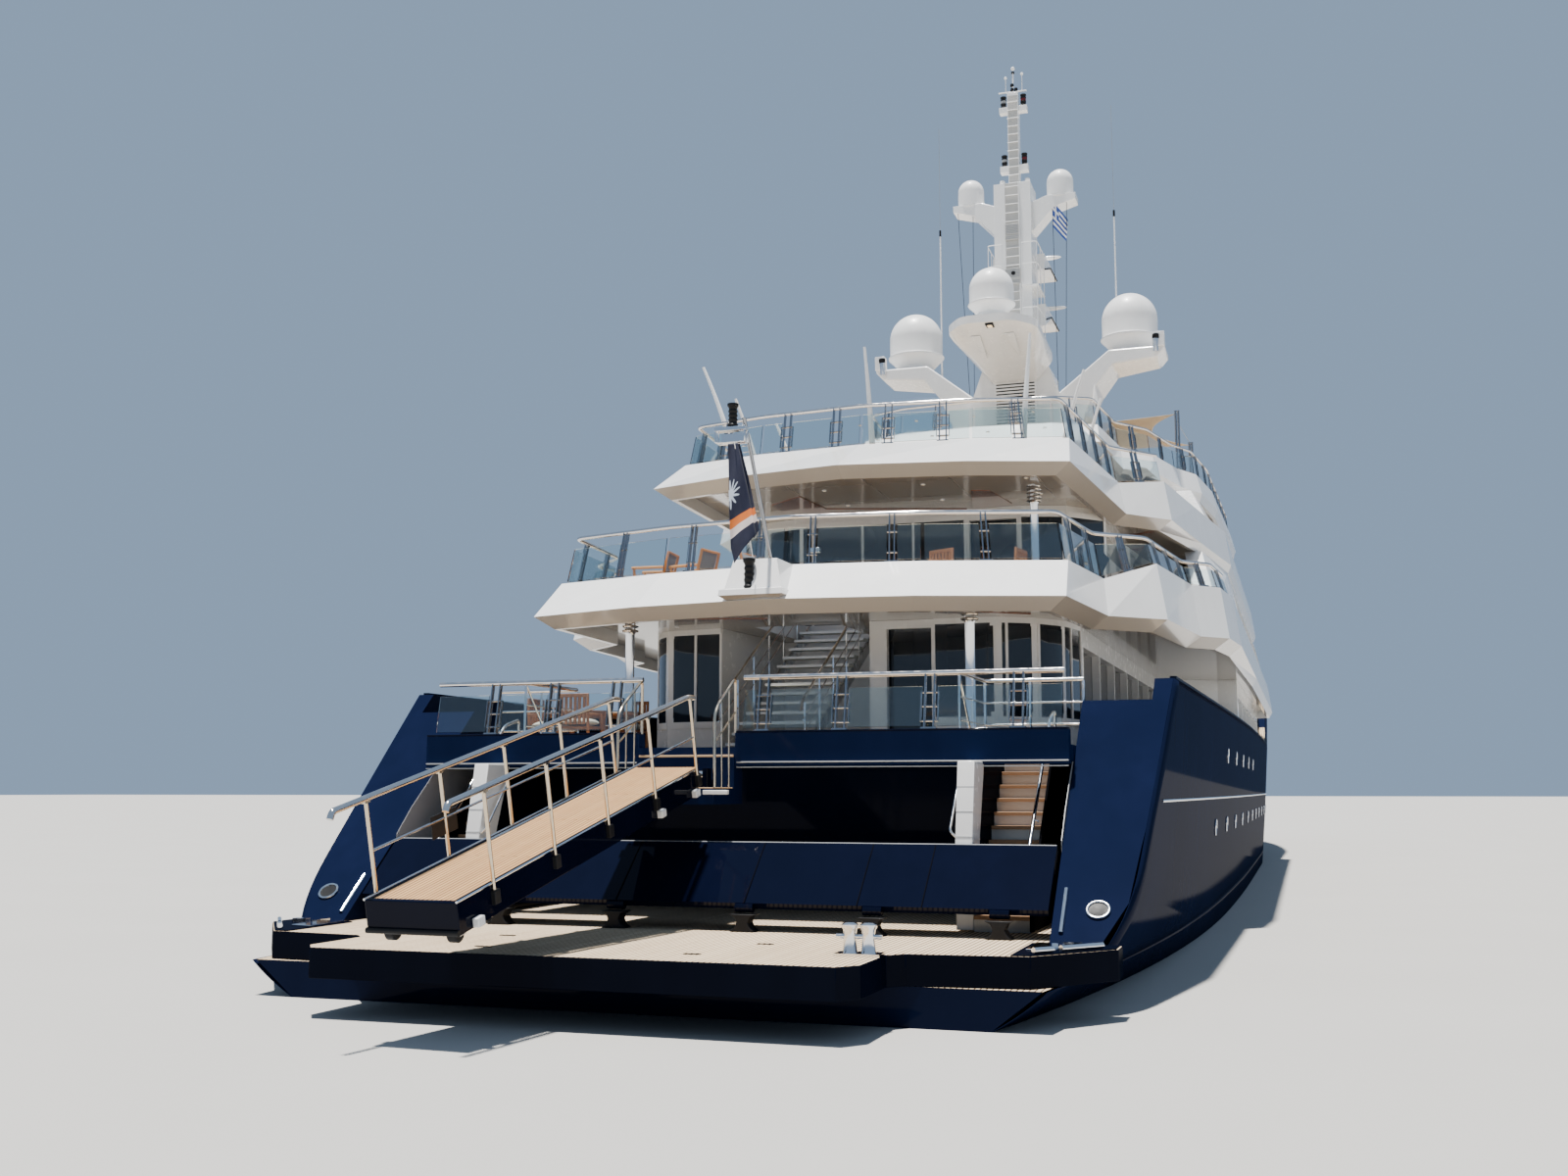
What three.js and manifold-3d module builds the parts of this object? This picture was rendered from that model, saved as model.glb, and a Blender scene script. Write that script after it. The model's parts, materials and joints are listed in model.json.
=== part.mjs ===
// A motor yacht of about 80 m as a 1:10 model, afloat, with its hull, decks, houses, mast and gangway.
// Millimetres, +X to the bow, +Y to port, +Z up. The origin is amidships on the centreline at the waterline.
import * as THREE from "three";
import { mergeVertices } from "three/addons/utils/BufferGeometryUtils.js";
import Module from "manifold-3d";

const wasm = await Module();
wasm.setup();

const GAP = 0.3; // between pieces that rest on each other
const FAR = 2000; // reach of a cutter past what it cuts
const WALL = 15; // house walls
const PORT = 1;
const STARBOARD = -1;
const SIDES = { port: PORT, starboard: STARBOARD };

// Deck levels
const PLATFORM_Z = 80;
const MAIN_Z = 320;
const UPPER_Z = 588;
const BRIDGE_Z = 880;
const SUN_Z = 1160;
const FOREDECK_Z = 590;

// Hull
const STERN_X = -3850;
const WING_TOP = [-3315, 416]; // x and z of the raked stern quarter's top
const WING_FOOT = [-3690, 80];
const WING_INNER_Y = 485;
const RECESS_X = -3250; // inner wall of the recess between the quarters
const SHELF_Z = 45; // the hull's shelf under the swim platform
const PANEL_HINGE = [-3653, 110]; // x and z of the transom panel's hinge line
const HINGE_R = 6;
const HINGE_Y = [-420, -260, -90, 90, 260, 420];
const BULWARK = 25;
const WELL_FRONT_X = 1250;
const MAIN_PLATE = 10;
const STATIONS = 24;

// Stern
const COAMING_X = -3480;
const COAMING_Z = 340;
const OVERHANG_Z = 298;
const GATE_Y = [-15, 133];
const LANDING_Z = 262;
const RAIL_Z = 420;
const STAIR_Y = [341, 449];
const STAIR_X = [-3565, -3291];
const STAIR_STEPS = 13;

// Gangway: pivot, slew axis and its attitude at rest
const GANGWAY_PIVOT = [-3560, 59, 280];
const SLEW_X = -3530;
const GANGWAY_YAW = THREE.MathUtils.degToRad(-3);
const GANGWAY_PITCH = THREE.MathUtils.degToRad(-13.8);
const GANGWAY_LENGTH = 608;
const GANGWAY_HALF = 56;
const GANGWAY_BEAM = 35;
const GANGWAY_RAIL_Z = 114;
// Side, first post, pitch of the five posts and outer end of the top rail
const GANGWAY_POSTS = [[1, -585, 136, -640], [-1, -540, 129, -606]];

// Aft stair between the main and the upper deck
const BAY_Y = [-40, 210];
const BAY_X = -2600;
const AFT_STAIR_Y = [12, 158];
const AFT_STAIR_X = [-3080, -2606];
const AFT_STAIR_STEPS = 12;

// Running gear
const SHAFT_Y = 260;
const PROPELLER_X = -3330;
const SHAFT_Z = -238;
const SHAFT_ENTRY_X = -2100;
const PROPELLER_R = 105;
const RUDDER_X = -3560;
const RUDDER_BOSS_Z = -112;

// Colour, roughness and metalness of each finish
const FINISHES = {
  navy: [0x0b1636, 0.15, 0.1],
  white: [0xf3f3f0, 0.25, 0],
  teak: [0xb98f5f, 0.65, 0],
  steel: [0xc9ccd0, 0.18, 0.95],
  glass: [0x16202a, 0.05, 0.2],
  clear: [0x9fc0c8, 0.05, 0],
  dome: [0xf5f5f3, 0.4, 0],
  canvas: [0xcdb893, 0.9, 0],
  bronze: [0xa9793d, 0.35, 0.8],
  flag: [0x14225a, 0.85, 0],
};

const yacht = new THREE.Group();

// A closed geometry as a solid, turned round if its faces point inwards.
function solid(geometry) {
  const bare = geometry.clone();
  bare.deleteAttribute("normal");
  bare.deleteAttribute("uv");
  const merged = mergeVertices(bare, 1e-4);
  const triVerts = new Uint32Array(merged.index.array);
  const vertProperties = merged.attributes.position.array;
  const made = new wasm.Manifold(new wasm.Mesh({ numProp: 3, vertProperties, triVerts }));
  if (made.volume() >= 0) return made;
  triVerts.reverse();
  return new wasm.Manifold(new wasm.Mesh({ numProp: 3, vertProperties, triVerts }));
}

// A solid as a flat-shaded geometry.
function geometryOf(made) {
  const mesh = made.getMesh();
  const geometry = new THREE.BufferGeometry();
  geometry.setAttribute("position", new THREE.BufferAttribute(mesh.vertProperties, 3));
  geometry.setIndex(new THREE.BufferAttribute(mesh.triVerts, 1));
  const flat = geometry.toNonIndexed();
  flat.computeVertexNormals();
  return flat;
}

function place(name, made, finish, parent = yacht) {
  const [color, roughness, metalness] = FINISHES[finish];
  const material = new THREE.MeshStandardMaterial({ color, roughness, metalness });
  const mesh = new THREE.Mesh(geometryOf(made), material);
  mesh.name = name;
  parent.add(mesh);
  return mesh;
}

const join = (pieces) => pieces.reduce((whole, piece) => whole.add(piece));
const cut = (whole, pieces) => pieces.reduce((left, piece) => left.subtract(piece), whole);

function extruded(outline, depth) {
  const shape = new THREE.Shape(outline.map(([a, b]) => new THREE.Vector2(a, b)));
  return new THREE.ExtrudeGeometry(shape, { depth, bevelEnabled: false });
}

// A plan outline between two heights.
function prism(outline, z0, z1) {
  return solid(extruded(outline, z1 - z0).translate(0, 0, z0));
}

// A profile of x and z between two y.
function sidePrism(outline, y0, y1) {
  return solid(extruded(outline, y1 - y0).rotateX(Math.PI / 2).translate(0, y1, 0));
}

// A profile of y and z between two x.
function frontPrism(outline, x0, x1) {
  const turn = new THREE.Matrix4().makeBasis(
    new THREE.Vector3(0, 1, 0),
    new THREE.Vector3(0, 0, 1),
    new THREE.Vector3(1, 0, 0),
  );
  return solid(extruded(outline, x1 - x0).applyMatrix4(turn).translate(x0, 0, 0));
}

function box([x0, x1], [y0, y1], [z0, z1]) {
  const made = new THREE.BoxGeometry(x1 - x0, y1 - y0, z1 - z0);
  return solid(made.translate((x0 + x1) / 2, (y0 + y1) / 2, (z0 + z1) / 2));
}

// A box across the centreline or on one side of it: side 1 is port and -1 is starboard.
function sideBox(side, xs, [inner, outer], zs) {
  return box(xs, side > 0 ? [inner, outer] : [-outer, -inner], zs);
}

// A round bar between two points.
function rod(from, to, radius, sides = 6) {
  const start = new THREE.Vector3(...from);
  const along = new THREE.Vector3(...to).sub(start);
  const made = new THREE.CylinderGeometry(radius, radius, along.length(), sides);
  made.translate(0, along.length() / 2, 0);
  const turn = new THREE.Quaternion();
  turn.setFromUnitVectors(new THREE.Vector3(0, 1, 0), along.normalize());
  return solid(made.applyQuaternion(turn).translate(...from));
}

// Rods from point to point, with a small overlap at each bend.
function bentRod(points, radius, sides = 6) {
  return join(points.slice(1).map((to, i) => {
    const from = new THREE.Vector3(...points[i]);
    const end = new THREE.Vector3(...to);
    const over = end.clone().sub(from).setLength(radius * 0.7);
    return rod(from.sub(over).toArray(), end.add(over).toArray(), radius, sides);
  }));
}

// A profile of radius and height turned about a vertical axis at a point.
function turned(profile, [x, y], segments = 14) {
  const points = profile.map(([r, z]) => new THREE.Vector2(r, z));
  const made = new THREE.LatheGeometry(points, segments);
  return solid(made.rotateX(Math.PI / 2).translate(x, y, 0));
}

// The triangles that close a ring of points, wound as the ring is, found in the plane where it is widest.
function capOf(ring) {
  const planes = [[0, 1], [1, 2], [0, 2]].map(([a, b]) => ring.map((p) => new THREE.Vector2(p[a], p[b])));
  const sizes = planes.map((plane) => Math.abs(THREE.ShapeUtils.area(plane)));
  const flat = planes[sizes.indexOf(Math.max(...sizes))];
  const winding = Math.sign(THREE.ShapeUtils.area(flat));
  return THREE.ShapeUtils.triangulateShape(flat, []).map((face) => {
    const area = THREE.ShapeUtils.area(face.map((i) => flat[i]));
    return Math.sign(area) === winding ? face : [face[2], face[1], face[0]];
  });
}

// A skin through closed rings with the same number of points, capped at both ends.
function loft(rings) {
  const count = rings[0].length;
  const last = (rings.length - 1) * count;
  const index = [];
  for (let start = 0; start < last; start += count) {
    for (let i = 0; i < count; i++) {
      const j = (i + 1) % count;
      index.push(start + i, start + j, start + count + j);
      index.push(start + i, start + count + j, start + count + i);
    }
  }
  for (const [a, b, c] of capOf(rings[0])) index.push(c, b, a);
  for (const face of capOf(rings.at(-1))) index.push(...face.map((i) => last + i));
  const geometry = new THREE.BufferGeometry();
  geometry.setAttribute("position", new THREE.Float32BufferAttribute(rings.flat(2), 3));
  return solid(geometry.setIndex(index));
}

const atHeight = (outline, z) => outline.map(([x, y]) => [x, y, z]);

// A whole plan outline from its port half, which runs from the stern forward.
function wholeOutline(half) {
  const starboard = half.map(([x, y]) => [x, -y]);
  const port = half.filter(([, y]) => y > 0).reverse();
  return [...starboard, ...port];
}

// The inward normals of the edges before and after a point, as one mitre vector.
function mitre(before, point, after) {
  const normalOf = ([ax, ay], [bx, by]) => new THREE.Vector2(ay - by, bx - ax).normalize();
  const first = normalOf(before ?? point, before ? point : after);
  const second = normalOf(after ? point : before, after ?? point);
  return first.clone().add(second).divideScalar(1 + first.dot(second));
}

// A closed outline moved inwards.
function inset(outline, distance) {
  return outline.map(([x, y], i) => {
    const before = outline.at(i - 1);
    const after = outline[(i + 1) % outline.length];
    const shift = mitre(before, [x, y], after).multiplyScalar(distance);
    return [x + shift.x, y + shift.y];
  });
}

// An open line moved to its left.
function moved(line, distance) {
  return line.map(([x, y], i) => {
    const shift = mitre(line[i - 1], [x, y], line[i + 1]).multiplyScalar(distance);
    return [x + shift.x, y + shift.y];
  });
}

const smooth = (x, from, to) => THREE.MathUtils.smoothstep(x, from, to);
const mix = THREE.MathUtils.lerp;

// Height, midship half beam, stern half beam, stem x and bow fullness of the hull's levels
const HULL_LEVELS = [
  [-380, 600, 460, 2900, 1.7],
  [0, 615, 560, 3430, 2.0],
  [200, 630, 575, 3590, 2.3],
  [420, 640, 594, 3760, 2.8],
  [780, 640, 594, 4000, 3.6],
];
const BOW_START = 200;
const STERN_START = -800;
const STEM_HALF = 4;

function hullLevel(z) {
  const top = HULL_LEVELS.findIndex((row, i) => i > 0 && (z <= row[0] || i === HULL_LEVELS.length - 1));
  const [low, high] = [HULL_LEVELS[top - 1], HULL_LEVELS[top]];
  const share = (z - low[0]) / (high[0] - low[0]);
  return low.map((value, i) => mix(value, high[i], share));
}

// Half breadth of the topsides at a place and height.
function halfBreadth(x, z) {
  const [, beam, stern, stem, fullness] = hullLevel(z);
  const bow = 1 - Math.pow(THREE.MathUtils.clamp((x - BOW_START) / (stem - BOW_START), 0, 1), fullness);
  const aft = THREE.MathUtils.clamp((STERN_START - x) / (STERN_START - STERN_X), 0, 1);
  return Math.max(STEM_HALF, mix(beam, stern, aft * aft) * bow);
}

const keelZ = (x) => -380 + 290 * THREE.MathUtils.clamp((-1000 - x) / 2850, 0, 1);
const sheerZ = (x) => 416 + 14 * smooth(x, -3300, 0) + 270 * smooth(x, 500, 1500) + 80 * smooth(x, 1500, 3900);

const BILGE_HEIGHT = 300;
const GIRTH = [0, 0.03, 0.09, 0.18, 0.3, 0.45, 0.62, 0.8, 1];

// One hull section: the port side from sheer to keel, then the starboard side back up.
function hullSection(share) {
  const bodyX = mix(STERN_X, 3700, share);
  const keel = keelZ(bodyX);
  const sheer = sheerZ(bodyX);
  const port = GIRTH.map((t) => {
    const z = mix(keel, sheer, t);
    const x = mix(STERN_X, hullLevel(z)[3], share);
    const rise = Math.min(1, (z - keel) / BILGE_HEIGHT);
    const bilge = Math.sqrt(1 - Math.pow(1 - rise, 2.8));
    return [x, halfBreadth(x, z) * bilge, z];
  });
  port[0][1] = 0;
  const starboard = port.slice(1).map(([x, y, z]) => [x, -y, z]);
  return [...port.reverse(), ...starboard];
}

// Inside of the bulwark between two stations, as a closed plan outline.
function bulwarkInside(x0, x1, z, count) {
  const half = Array.from({ length: count + 1 }, (_, i) => {
    const x = mix(x0, x1, i / count);
    return [x, halfBreadth(x, z) - BULWARK];
  });
  return wholeOutline(half);
}

function hullBody() {
  const shares = Array.from({ length: STATIONS + 1 }, (_, i) => 1 - Math.pow(1 - i / STATIONS, 1.25));
  return loft(shares.map(hullSection));
}

function makeHull() {
  const rake = sidePrism([
    [WING_TOP[0] + 100, WING_TOP[1] + 89.6],
    WING_FOOT,
    [WING_FOOT[0], SHELF_Z],
    [WING_FOOT[0] - FAR, SHELF_Z],
    [WING_FOOT[0] - FAR, FAR],
    [WING_TOP[0] + 100, FAR],
  ], -FAR, FAR);
  const recess = box([-FAR * 3, RECESS_X], [-WING_INNER_Y, WING_INNER_Y], [SHELF_Z, FAR]);
  const well = prism(bulwarkInside(RECESS_X - 100, WELL_FRONT_X, 400, 16), MAIN_Z - MAIN_PLATE, FAR);
  const foredeck = prism(bulwarkInside(1500, 3720, 600, 10), FOREDECK_Z, FAR);
  const step = prism(bulwarkInside(WELL_FRONT_X - 60, 1520, 560, 3), FOREDECK_Z, FAR);
  const bosses = Object.values(SIDES).map((side) =>
    rod([RUDDER_X, side * SHAFT_Y, RUDDER_BOSS_Z], [RUDDER_X, side * SHAFT_Y, -40], 16, 12));
  const body = cut(hullBody(), [rake, recess, well, foredeck, step]);
  return join([body, ...bosses]);
}

const hull = makeHull();
place("hull", hull, "navy");

// The swim platform, with its stepped aft edge and a double bollard.
function makePlatform() {
  const inner = WING_INNER_Y - GAP;
  const aft = WING_FOOT[0] - GAP;
  const half = [
    [-4000, 0], [-4000, 316], [-3974, 335], [-3872, 335], [-3852, 352], [-3838, 488], [-3730, 570], [aft, 570],
    [aft, inner], [RECESS_X - GAP, inner], [RECESS_X - GAP, 0],
  ];
  const slab = prism(wholeOutline(half), SHELF_Z + GAP, PLATFORM_Z);
  const shelf = box([-FAR * 3, STERN_X], [-FAR, FAR], [-FAR, SHELF_Z]);
  const posts = [-12, 12].map((dx) => rod([-3760 + dx, -265, PLATFORM_Z - 5], [-3760 + dx, -265, 108], 6, 8));
  const [hingeX, hingeZ] = PANEL_HINGE;
  const brackets = HINGE_Y.map((y) =>
    box([hingeX - 6, hingeX + 6], [y - 10, y + 10], [PLATFORM_Z - 5, hingeZ - HINGE_R - GAP]));
  return cut(join([slab, ...posts, ...brackets]), [shelf]);
}
place("swim_platform", makePlatform(), "teak");

// The main deck: a plate inside the bulwarks, its overhang above the recess, coaming, gate steps and landing.
function makeMainDeck() {
  const top = MAIN_Z;
  const inner = WING_INNER_Y - GAP;
  const plate = prism(inset(bulwarkInside(RECESS_X + 1, WELL_FRONT_X - GAP, 400, 16), 2), top - MAIN_PLATE + GAP, top);
  const overhang = box([COAMING_X, RECESS_X - GAP], [-inner, inner], [OVERHANG_Z, top]);
  const bridge = box([RECESS_X - 10, RECESS_X + 60], [-inner, inner], [top - MAIN_PLATE + GAP, top]);
  const coaming = box([COAMING_X - 10, COAMING_X + 10], [-inner, inner], [OVERHANG_Z - 4, COAMING_Z]);
  const gate = box([COAMING_X - 30, COAMING_X + 30], GATE_Y, [top, top + 60]);
  const stairs = Object.values(SIDES).map((side) =>
    sideBox(side, [COAMING_X + 35, STAIR_X[1] + 3], [STAIR_Y[0] - 3, STAIR_Y[1] + 3], [0, top + 10]));
  const landing = box([-3572, COAMING_X + 20], GATE_Y, [240, LANDING_Z]);
  const bracket = box([COAMING_X - 2, COAMING_X + 20], GATE_Y, [240, OVERHANG_Z + 4]);
  const steps = box([COAMING_X - 14, COAMING_X + 2], GATE_Y, [LANDING_Z - 7, 306]);
  return join([cut(join([plate, overhang, bridge, coaming]), [gate, ...stairs]), landing, bracket, steps]);
}
place("main_deck", makeMainDeck(), "teak");

// A flight of closed steps rising forward, as a profile.
function stepProfile([x0, x1], z0, z1, steps, depth) {
  const run = (x1 - x0) / steps;
  const rise = (z1 - z0) / steps;
  const nosings = Array.from({ length: steps }, (_, i) => [
    [x0 + i * run, z0 + i * rise + (i ? 0 : GAP)],
    [x0 + i * run, z0 + (i + 1) * rise],
  ]).flat();
  return [...nosings, [x1, z1], [x1, z1 - depth], [x0 + depth, z0 + GAP]];
}
for (const [side, sign] of Object.entries(SIDES)) {
  const [inner, outer] = STAIR_Y;
  const ys = sign > 0 ? [inner, outer] : [-outer, -inner];
  const profile = stepProfile(STAIR_X, PLATFORM_Z, MAIN_Z, STAIR_STEPS, 60);
  place("stern_stair_" + side, sidePrism(profile, ...ys), "white");
}

// The raked panel between the quarters, hinged along its foot.
const PANEL_FOOT = [PANEL_HINGE[0] - 2, PANEL_HINGE[1] + 6];
const PANEL_TOP = [-3571, 190];
const PANEL_THICK = 10;
function makeTransomPanel() {
  const [fx, fz] = PANEL_FOOT;
  const [tx, tz] = PANEL_TOP;
  const half = WING_INNER_Y - 6;
  const dx = PANEL_THICK * 0.66;
  const dz = PANEL_THICK * 0.75;
  const panel = sidePrism([[fx, fz], [tx, tz], [tx + dx, tz - dz], [fx + dx, fz - dz]], -half, half);
  const [hingeX, hingeZ] = PANEL_HINGE;
  const knuckles = HINGE_Y.map((y) => rod([hingeX, y - 12, hingeZ], [hingeX, y + 12, hingeZ], HINGE_R, 8));
  return join([panel, ...knuckles]);
}
place("transom_panel", makeTransomPanel(), "navy");

// Deck bands: height of the lower edge, chine, soffit and floor, then rows of the port half from the stern
// forward: chine x and y, top x, y and z, and how far the lower edge is set in from the chine
const UPPER_BAND = {
  low: 530, chine: 550, soffit: 555, floor: UPPER_Z,
  rows: [
    [-3334, 0, -3235, 0, 617, 30],
    [-3300, 230, -3205, 222, 617, 30],
    [-3225, 448, -3140, 440, 617, 30],
    [-2930, 475, -2905, 466, 617, 30],
    [-2840, 565, -2825, 548, 650, 30],
    [-2520, 600, -2515, 586, 650, 30],
    [-2460, 650, -2455, 636, 650, 30],
    [-2280, 665, -2280, 651, 650, 25],
    [-1300, 665, -1300, 651, 650, 12],
    [600, 665, 600, 651, 650, 12],
    [645, 600, 640, 590, 650, 12],
    [1240, 588, 1236, 578, 650, 12],
    [1240, 0, 1236, 0, 650, 12],
  ],
};
const BRIDGE_BAND = {
  low: 821, chine: 841, soffit: 846, floor: BRIDGE_Z,
  rows: [
    [-2932, 0, -2780, 0, 911, 30],
    [-2890, 230, -2758, 210, 911, 30],
    [-2830, 403, -2710, 386, 911, 30],
    [-2260, 440, -2250, 425, 911, 30],
    [-2150, 525, -2135, 510, 930, 30],
    [-1800, 565, -1795, 552, 930, 12],
    [-1400, 615, -1400, 602, 930, 8],
    [600, 615, 600, 602, 930, 8],
    [860, 560, 850, 548, 930, 8],
    [980, 360, 965, 350, 930, 8],
    [1010, 0, 995, 0, 930, 8],
  ],
};
const SUN_BAND = {
  low: 1105, chine: 1130, soffit: 1135, floor: SUN_Z,
  rows: [
    [-1775, 0, -1700, 0, 1190, 25],
    [-1750, 210, -1680, 200, 1190, 25],
    [-1690, 320, -1625, 308, 1190, 25],
    [-1370, 345, -1340, 333, 1190, 25],
    [-1250, 420, -1225, 407, 1190, 20],
    [-1020, 470, -1005, 456, 1190, 8],
    [-900, 520, -890, 505, 1190, 8],
    [-600, 548, -600, 534, 1190, 8],
    [300, 565, 300, 550, 1190, 8],
    [520, 480, 510, 468, 1190, 8],
    [640, 260, 625, 252, 1190, 8],
    [670, 0, 655, 0, 1190, 8],
  ],
};
const RIM = 10;

const chineOutline = (band) => wholeOutline(band.rows.map((row) => [row[0], row[1]]));
const topOutline = (band) => wholeOutline(band.rows.map((row) => [row[2], row[3]]));
const byPoint = (band, column) => wholeOutline(band.rows.map((row) => [row[column], row[1] > 0 ? 1 : 0]));

// The lower edge: each chine point moved in by its own amount.
function lowOutline(band) {
  const chine = chineOutline(band);
  const amounts = byPoint(band, 5).map(([amount]) => amount);
  return chine.map((point, i) => inset(chine, amounts[i])[i]);
}

function makeBand(band) {
  const heights = byPoint(band, 4).map(([z]) => z);
  const top = topOutline(band).map(([x, y], i) => [x, y, heights[i]]);
  const body = loft([atHeight(lowOutline(band), band.low), atHeight(chineOutline(band), band.chine), top]);
  const above = prism(inset(topOutline(band), RIM), band.floor, band.floor + FAR);
  const below = prism(inset(lowOutline(band), RIM), band.low - FAR, band.soffit);
  return cut(body, [above, below]);
}

// A box along a plan line from a to b.
function wallBox([ax, ay], [bx, by], z0, z1, thick) {
  const made = new THREE.BoxGeometry(Math.hypot(bx - ax, by - ay), thick, z1 - z0);
  made.rotateZ(Math.atan2(by - ay, bx - ax));
  return solid(made.translate((ax + bx) / 2, (ay + by) / 2, (z0 + z1) / 2));
}

// Equal window holes along a plan line, with a pillar at both ends and between them.
function windowHoles([from, to, count, z0, z1], pillar = 10) {
  const start = new THREE.Vector2(...from);
  const along = new THREE.Vector2(...to).sub(start);
  const pitch = along.length() / count;
  const step = along.clone().setLength(pitch);
  const margin = along.clone().setLength(pillar / 2);
  return Array.from({ length: count }, (_, i) => {
    const a = start.clone().addScaledVector(step, i).add(margin);
    const b = start.clone().addScaledVector(step, i + 1).sub(margin);
    return wallBox(a.toArray(), b.toArray(), z0, z1, 90);
  });
}
const bothSides = (rows) => rows.flatMap(([from, to, ...rest]) => [
  [from, to, ...rest],
  [[from[0], -from[1]], [to[0], -to[1]], ...rest],
]);

// A hollow house between two outlines with the same points.
function shell(low, high, z0, z1) {
  const outer = loft([atHeight(low, z0), atHeight(high, z1)]);
  const inner = loft([atHeight(inset(low, WALL), z0 - 1), atHeight(inset(high, WALL), z1 + 1)]);
  return outer.subtract(inner);
}

// Glass that stands just inside a house's wall.
function glassRing(low, high, z0, z1, depth = WALL + 0.6) {
  const outer = loft([atHeight(inset(low, depth), z0), atHeight(inset(high, depth), z1)]);
  const inner = loft([atHeight(inset(low, depth + 3), z0 - 1), atHeight(inset(high, depth + 3), z1 + 1)]);
  return outer.subtract(inner);
}

// Main house: the saloon with the stair bay in its aft end, then the full-width part
const MAIN_OUTLINE = [
  [BAY_X, BAY_Y[0]], [-2935, -60], [-2935, -285], [-2895, -345], [-2830, -385], [-2740, -400],
  [-1300, -412], [-1210, -560], [-1210, -610], [560, -610], [625, -540], [1180, -530], [1205, -400],
  [1205, 400], [1180, 530], [625, 540], [560, 610], [-1210, 610], [-1210, 560], [-1300, 412],
  [-2740, 400], [-2830, 390], [-2885, 345], [-2900, 230], [BAY_X, BAY_Y[1]],
];
// Start, end, count, sill and head of each row of windows
const MAIN_WINDOWS = [
  [[-2930, -86], [-2930, -176], 1, MAIN_Z + 4, 540],
  [[-2930, -176], [-2930, -285], 1, 392, 540],
  [[-2930, -288], [-2893, -342], 1, 392, 540],
  [[-2890, -347], [-2828, -383], 1, 392, 540],
  [[-2893, 240], [-2880, 338], 2, 392, 540],
  [[-2878, 350], [-2826, 386], 1, 392, 540],
  ...bothSides([
    [[-2700, 402], [-1340, 411], 6, 392, 520],
    [[-1150, 605], [540, 605], 6, 440, 510],
  ]),
];

// Houses of the two upper levels. Their outlines have an aft part with upright walls and a wide part whose
// walls lean in from the rim of the band below to the lower edge of the band above. Fins run aft from it.
const UPPER_HOUSE = {
  floor: UPPER_Z, soffit: 846, rim: 650, under: 821, upright: 5, glass: [606, 826],
  low: [[-2400, 0], [-2400, 240], [-2370, 330], [-2290, 395], [-1420, 400],
    [-1420, 643], [560, 643], [620, 572], [1060, 480], [1130, 0]],
  high: [[-2400, 0], [-2400, 240], [-2370, 330], [-2290, 395], [-1420, 400],
    [-1420, 606], [560, 606], [615, 545], [880, 380], [930, 0]],
  fin: [[-2150, 612], [-1412, 643], [-1810, 566], [-1412, 606]],
  windows: [
    [[-2393, -235], [-2393, -125], 1, UPPER_Z + 4, 820],
    [[-2393, -125], [-2393, 235], 3, 612, 820],
    ...bothSides([
      [[-2250, 397], [-1450, 400], 4, 640, 800],
      [[-1380, 625], [540, 625], 6, 690, 780],
    ]),
  ],
  doorway: [[-2402, -2370], [-235, -125], [UPPER_Z, 820]],
};
const BRIDGE_HOUSE = {
  floor: BRIDGE_Z, soffit: 1135, rim: 930, under: 1105, upright: 5, glass: [932, 1104],
  low: [[-1650, 0], [-1650, 180], [-1590, 265], [-1300, 295], [-940, 330],
    [-940, 592], [590, 592], [800, 520], [925, 330], [950, 0]],
  high: [[-1650, 0], [-1650, 180], [-1590, 265], [-1300, 295], [-940, 330],
    [-940, 510], [290, 548], [440, 480], [560, 260], [585, 0]],
  fin: [[-1570, 570], [-932, 592], [-1095, 500], [-932, 510]],
  windows: [
    [[-1643, -175], [-1643, 175], 3, 935, 1100],
    ...bothSides([
      [[-1580, 268], [-1310, 292], 2, 940, 1090],
      [[-860, 560], [420, 560], 4, 975, 1060],
      [[560, 545], [720, 480], 1, 985, 1060],
    ]),
    [[860, -300], [860, 300], 5, 975, 1050],
  ],
  doorway: [[-1660, -1620], [-55, 55], [BRIDGE_Z, 1100]],
};
const FIN_THICK = 40;

// A house's whole outline at any height: its lean carries on past the rim and the edge above.
function houseOutline(house, z) {
  const share = (z - house.rim) / (house.under - house.rim);
  return wholeOutline(house.low.map((point, i) => point.map((value, k) => mix(value, house.high[i][k], share))));
}

// The body of a house from under its floor to above its ceiling, set in by some distance.
function houseLoft(house, distance) {
  const heights = [house.floor - 1, house.soffit + 1];
  return loft(heights.map((z) => atHeight(inset(houseOutline(house, z), distance), z)));
}

function makeFin(house, side) {
  const [lowAft, lowFore, highAft, highFore] = house.fin;
  const ring = ([ax, ay], [bx, by], z) => [[ax, side * ay, z], [bx, side * by, z],
    [bx, side * (by - FIN_THICK), z], [ax, side * (ay - FIN_THICK), z]];
  return loft([ring(lowAft, lowFore, house.rim + GAP), ring(highAft, highFore, house.under - GAP)]);
}

function makeHouse(house) {
  const { floor, soffit, rim, under } = house;
  const upright = [...house.low.slice(0, house.upright), [house.low[house.upright][0] + WALL, 0]];
  upright[house.upright - 1] = [upright.at(-1)[0], upright[house.upright - 1][1]];
  const aft = prism(wholeOutline(upright), floor + GAP, soffit - GAP);
  const wide = houseLoft(house, 0).intersect(box([-FAR * 2, FAR], [-FAR, FAR], [rim + GAP, under - GAP]));
  const inside = houseLoft(house, WALL);
  const walls = join([aft, wide]).subtract(inside);
  const fins = Object.values(SIDES).map((side) => makeFin(house, side));
  return cut(join([walls, ...fins]), house.windows.flatMap((row) => windowHoles(row)));
}

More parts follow.
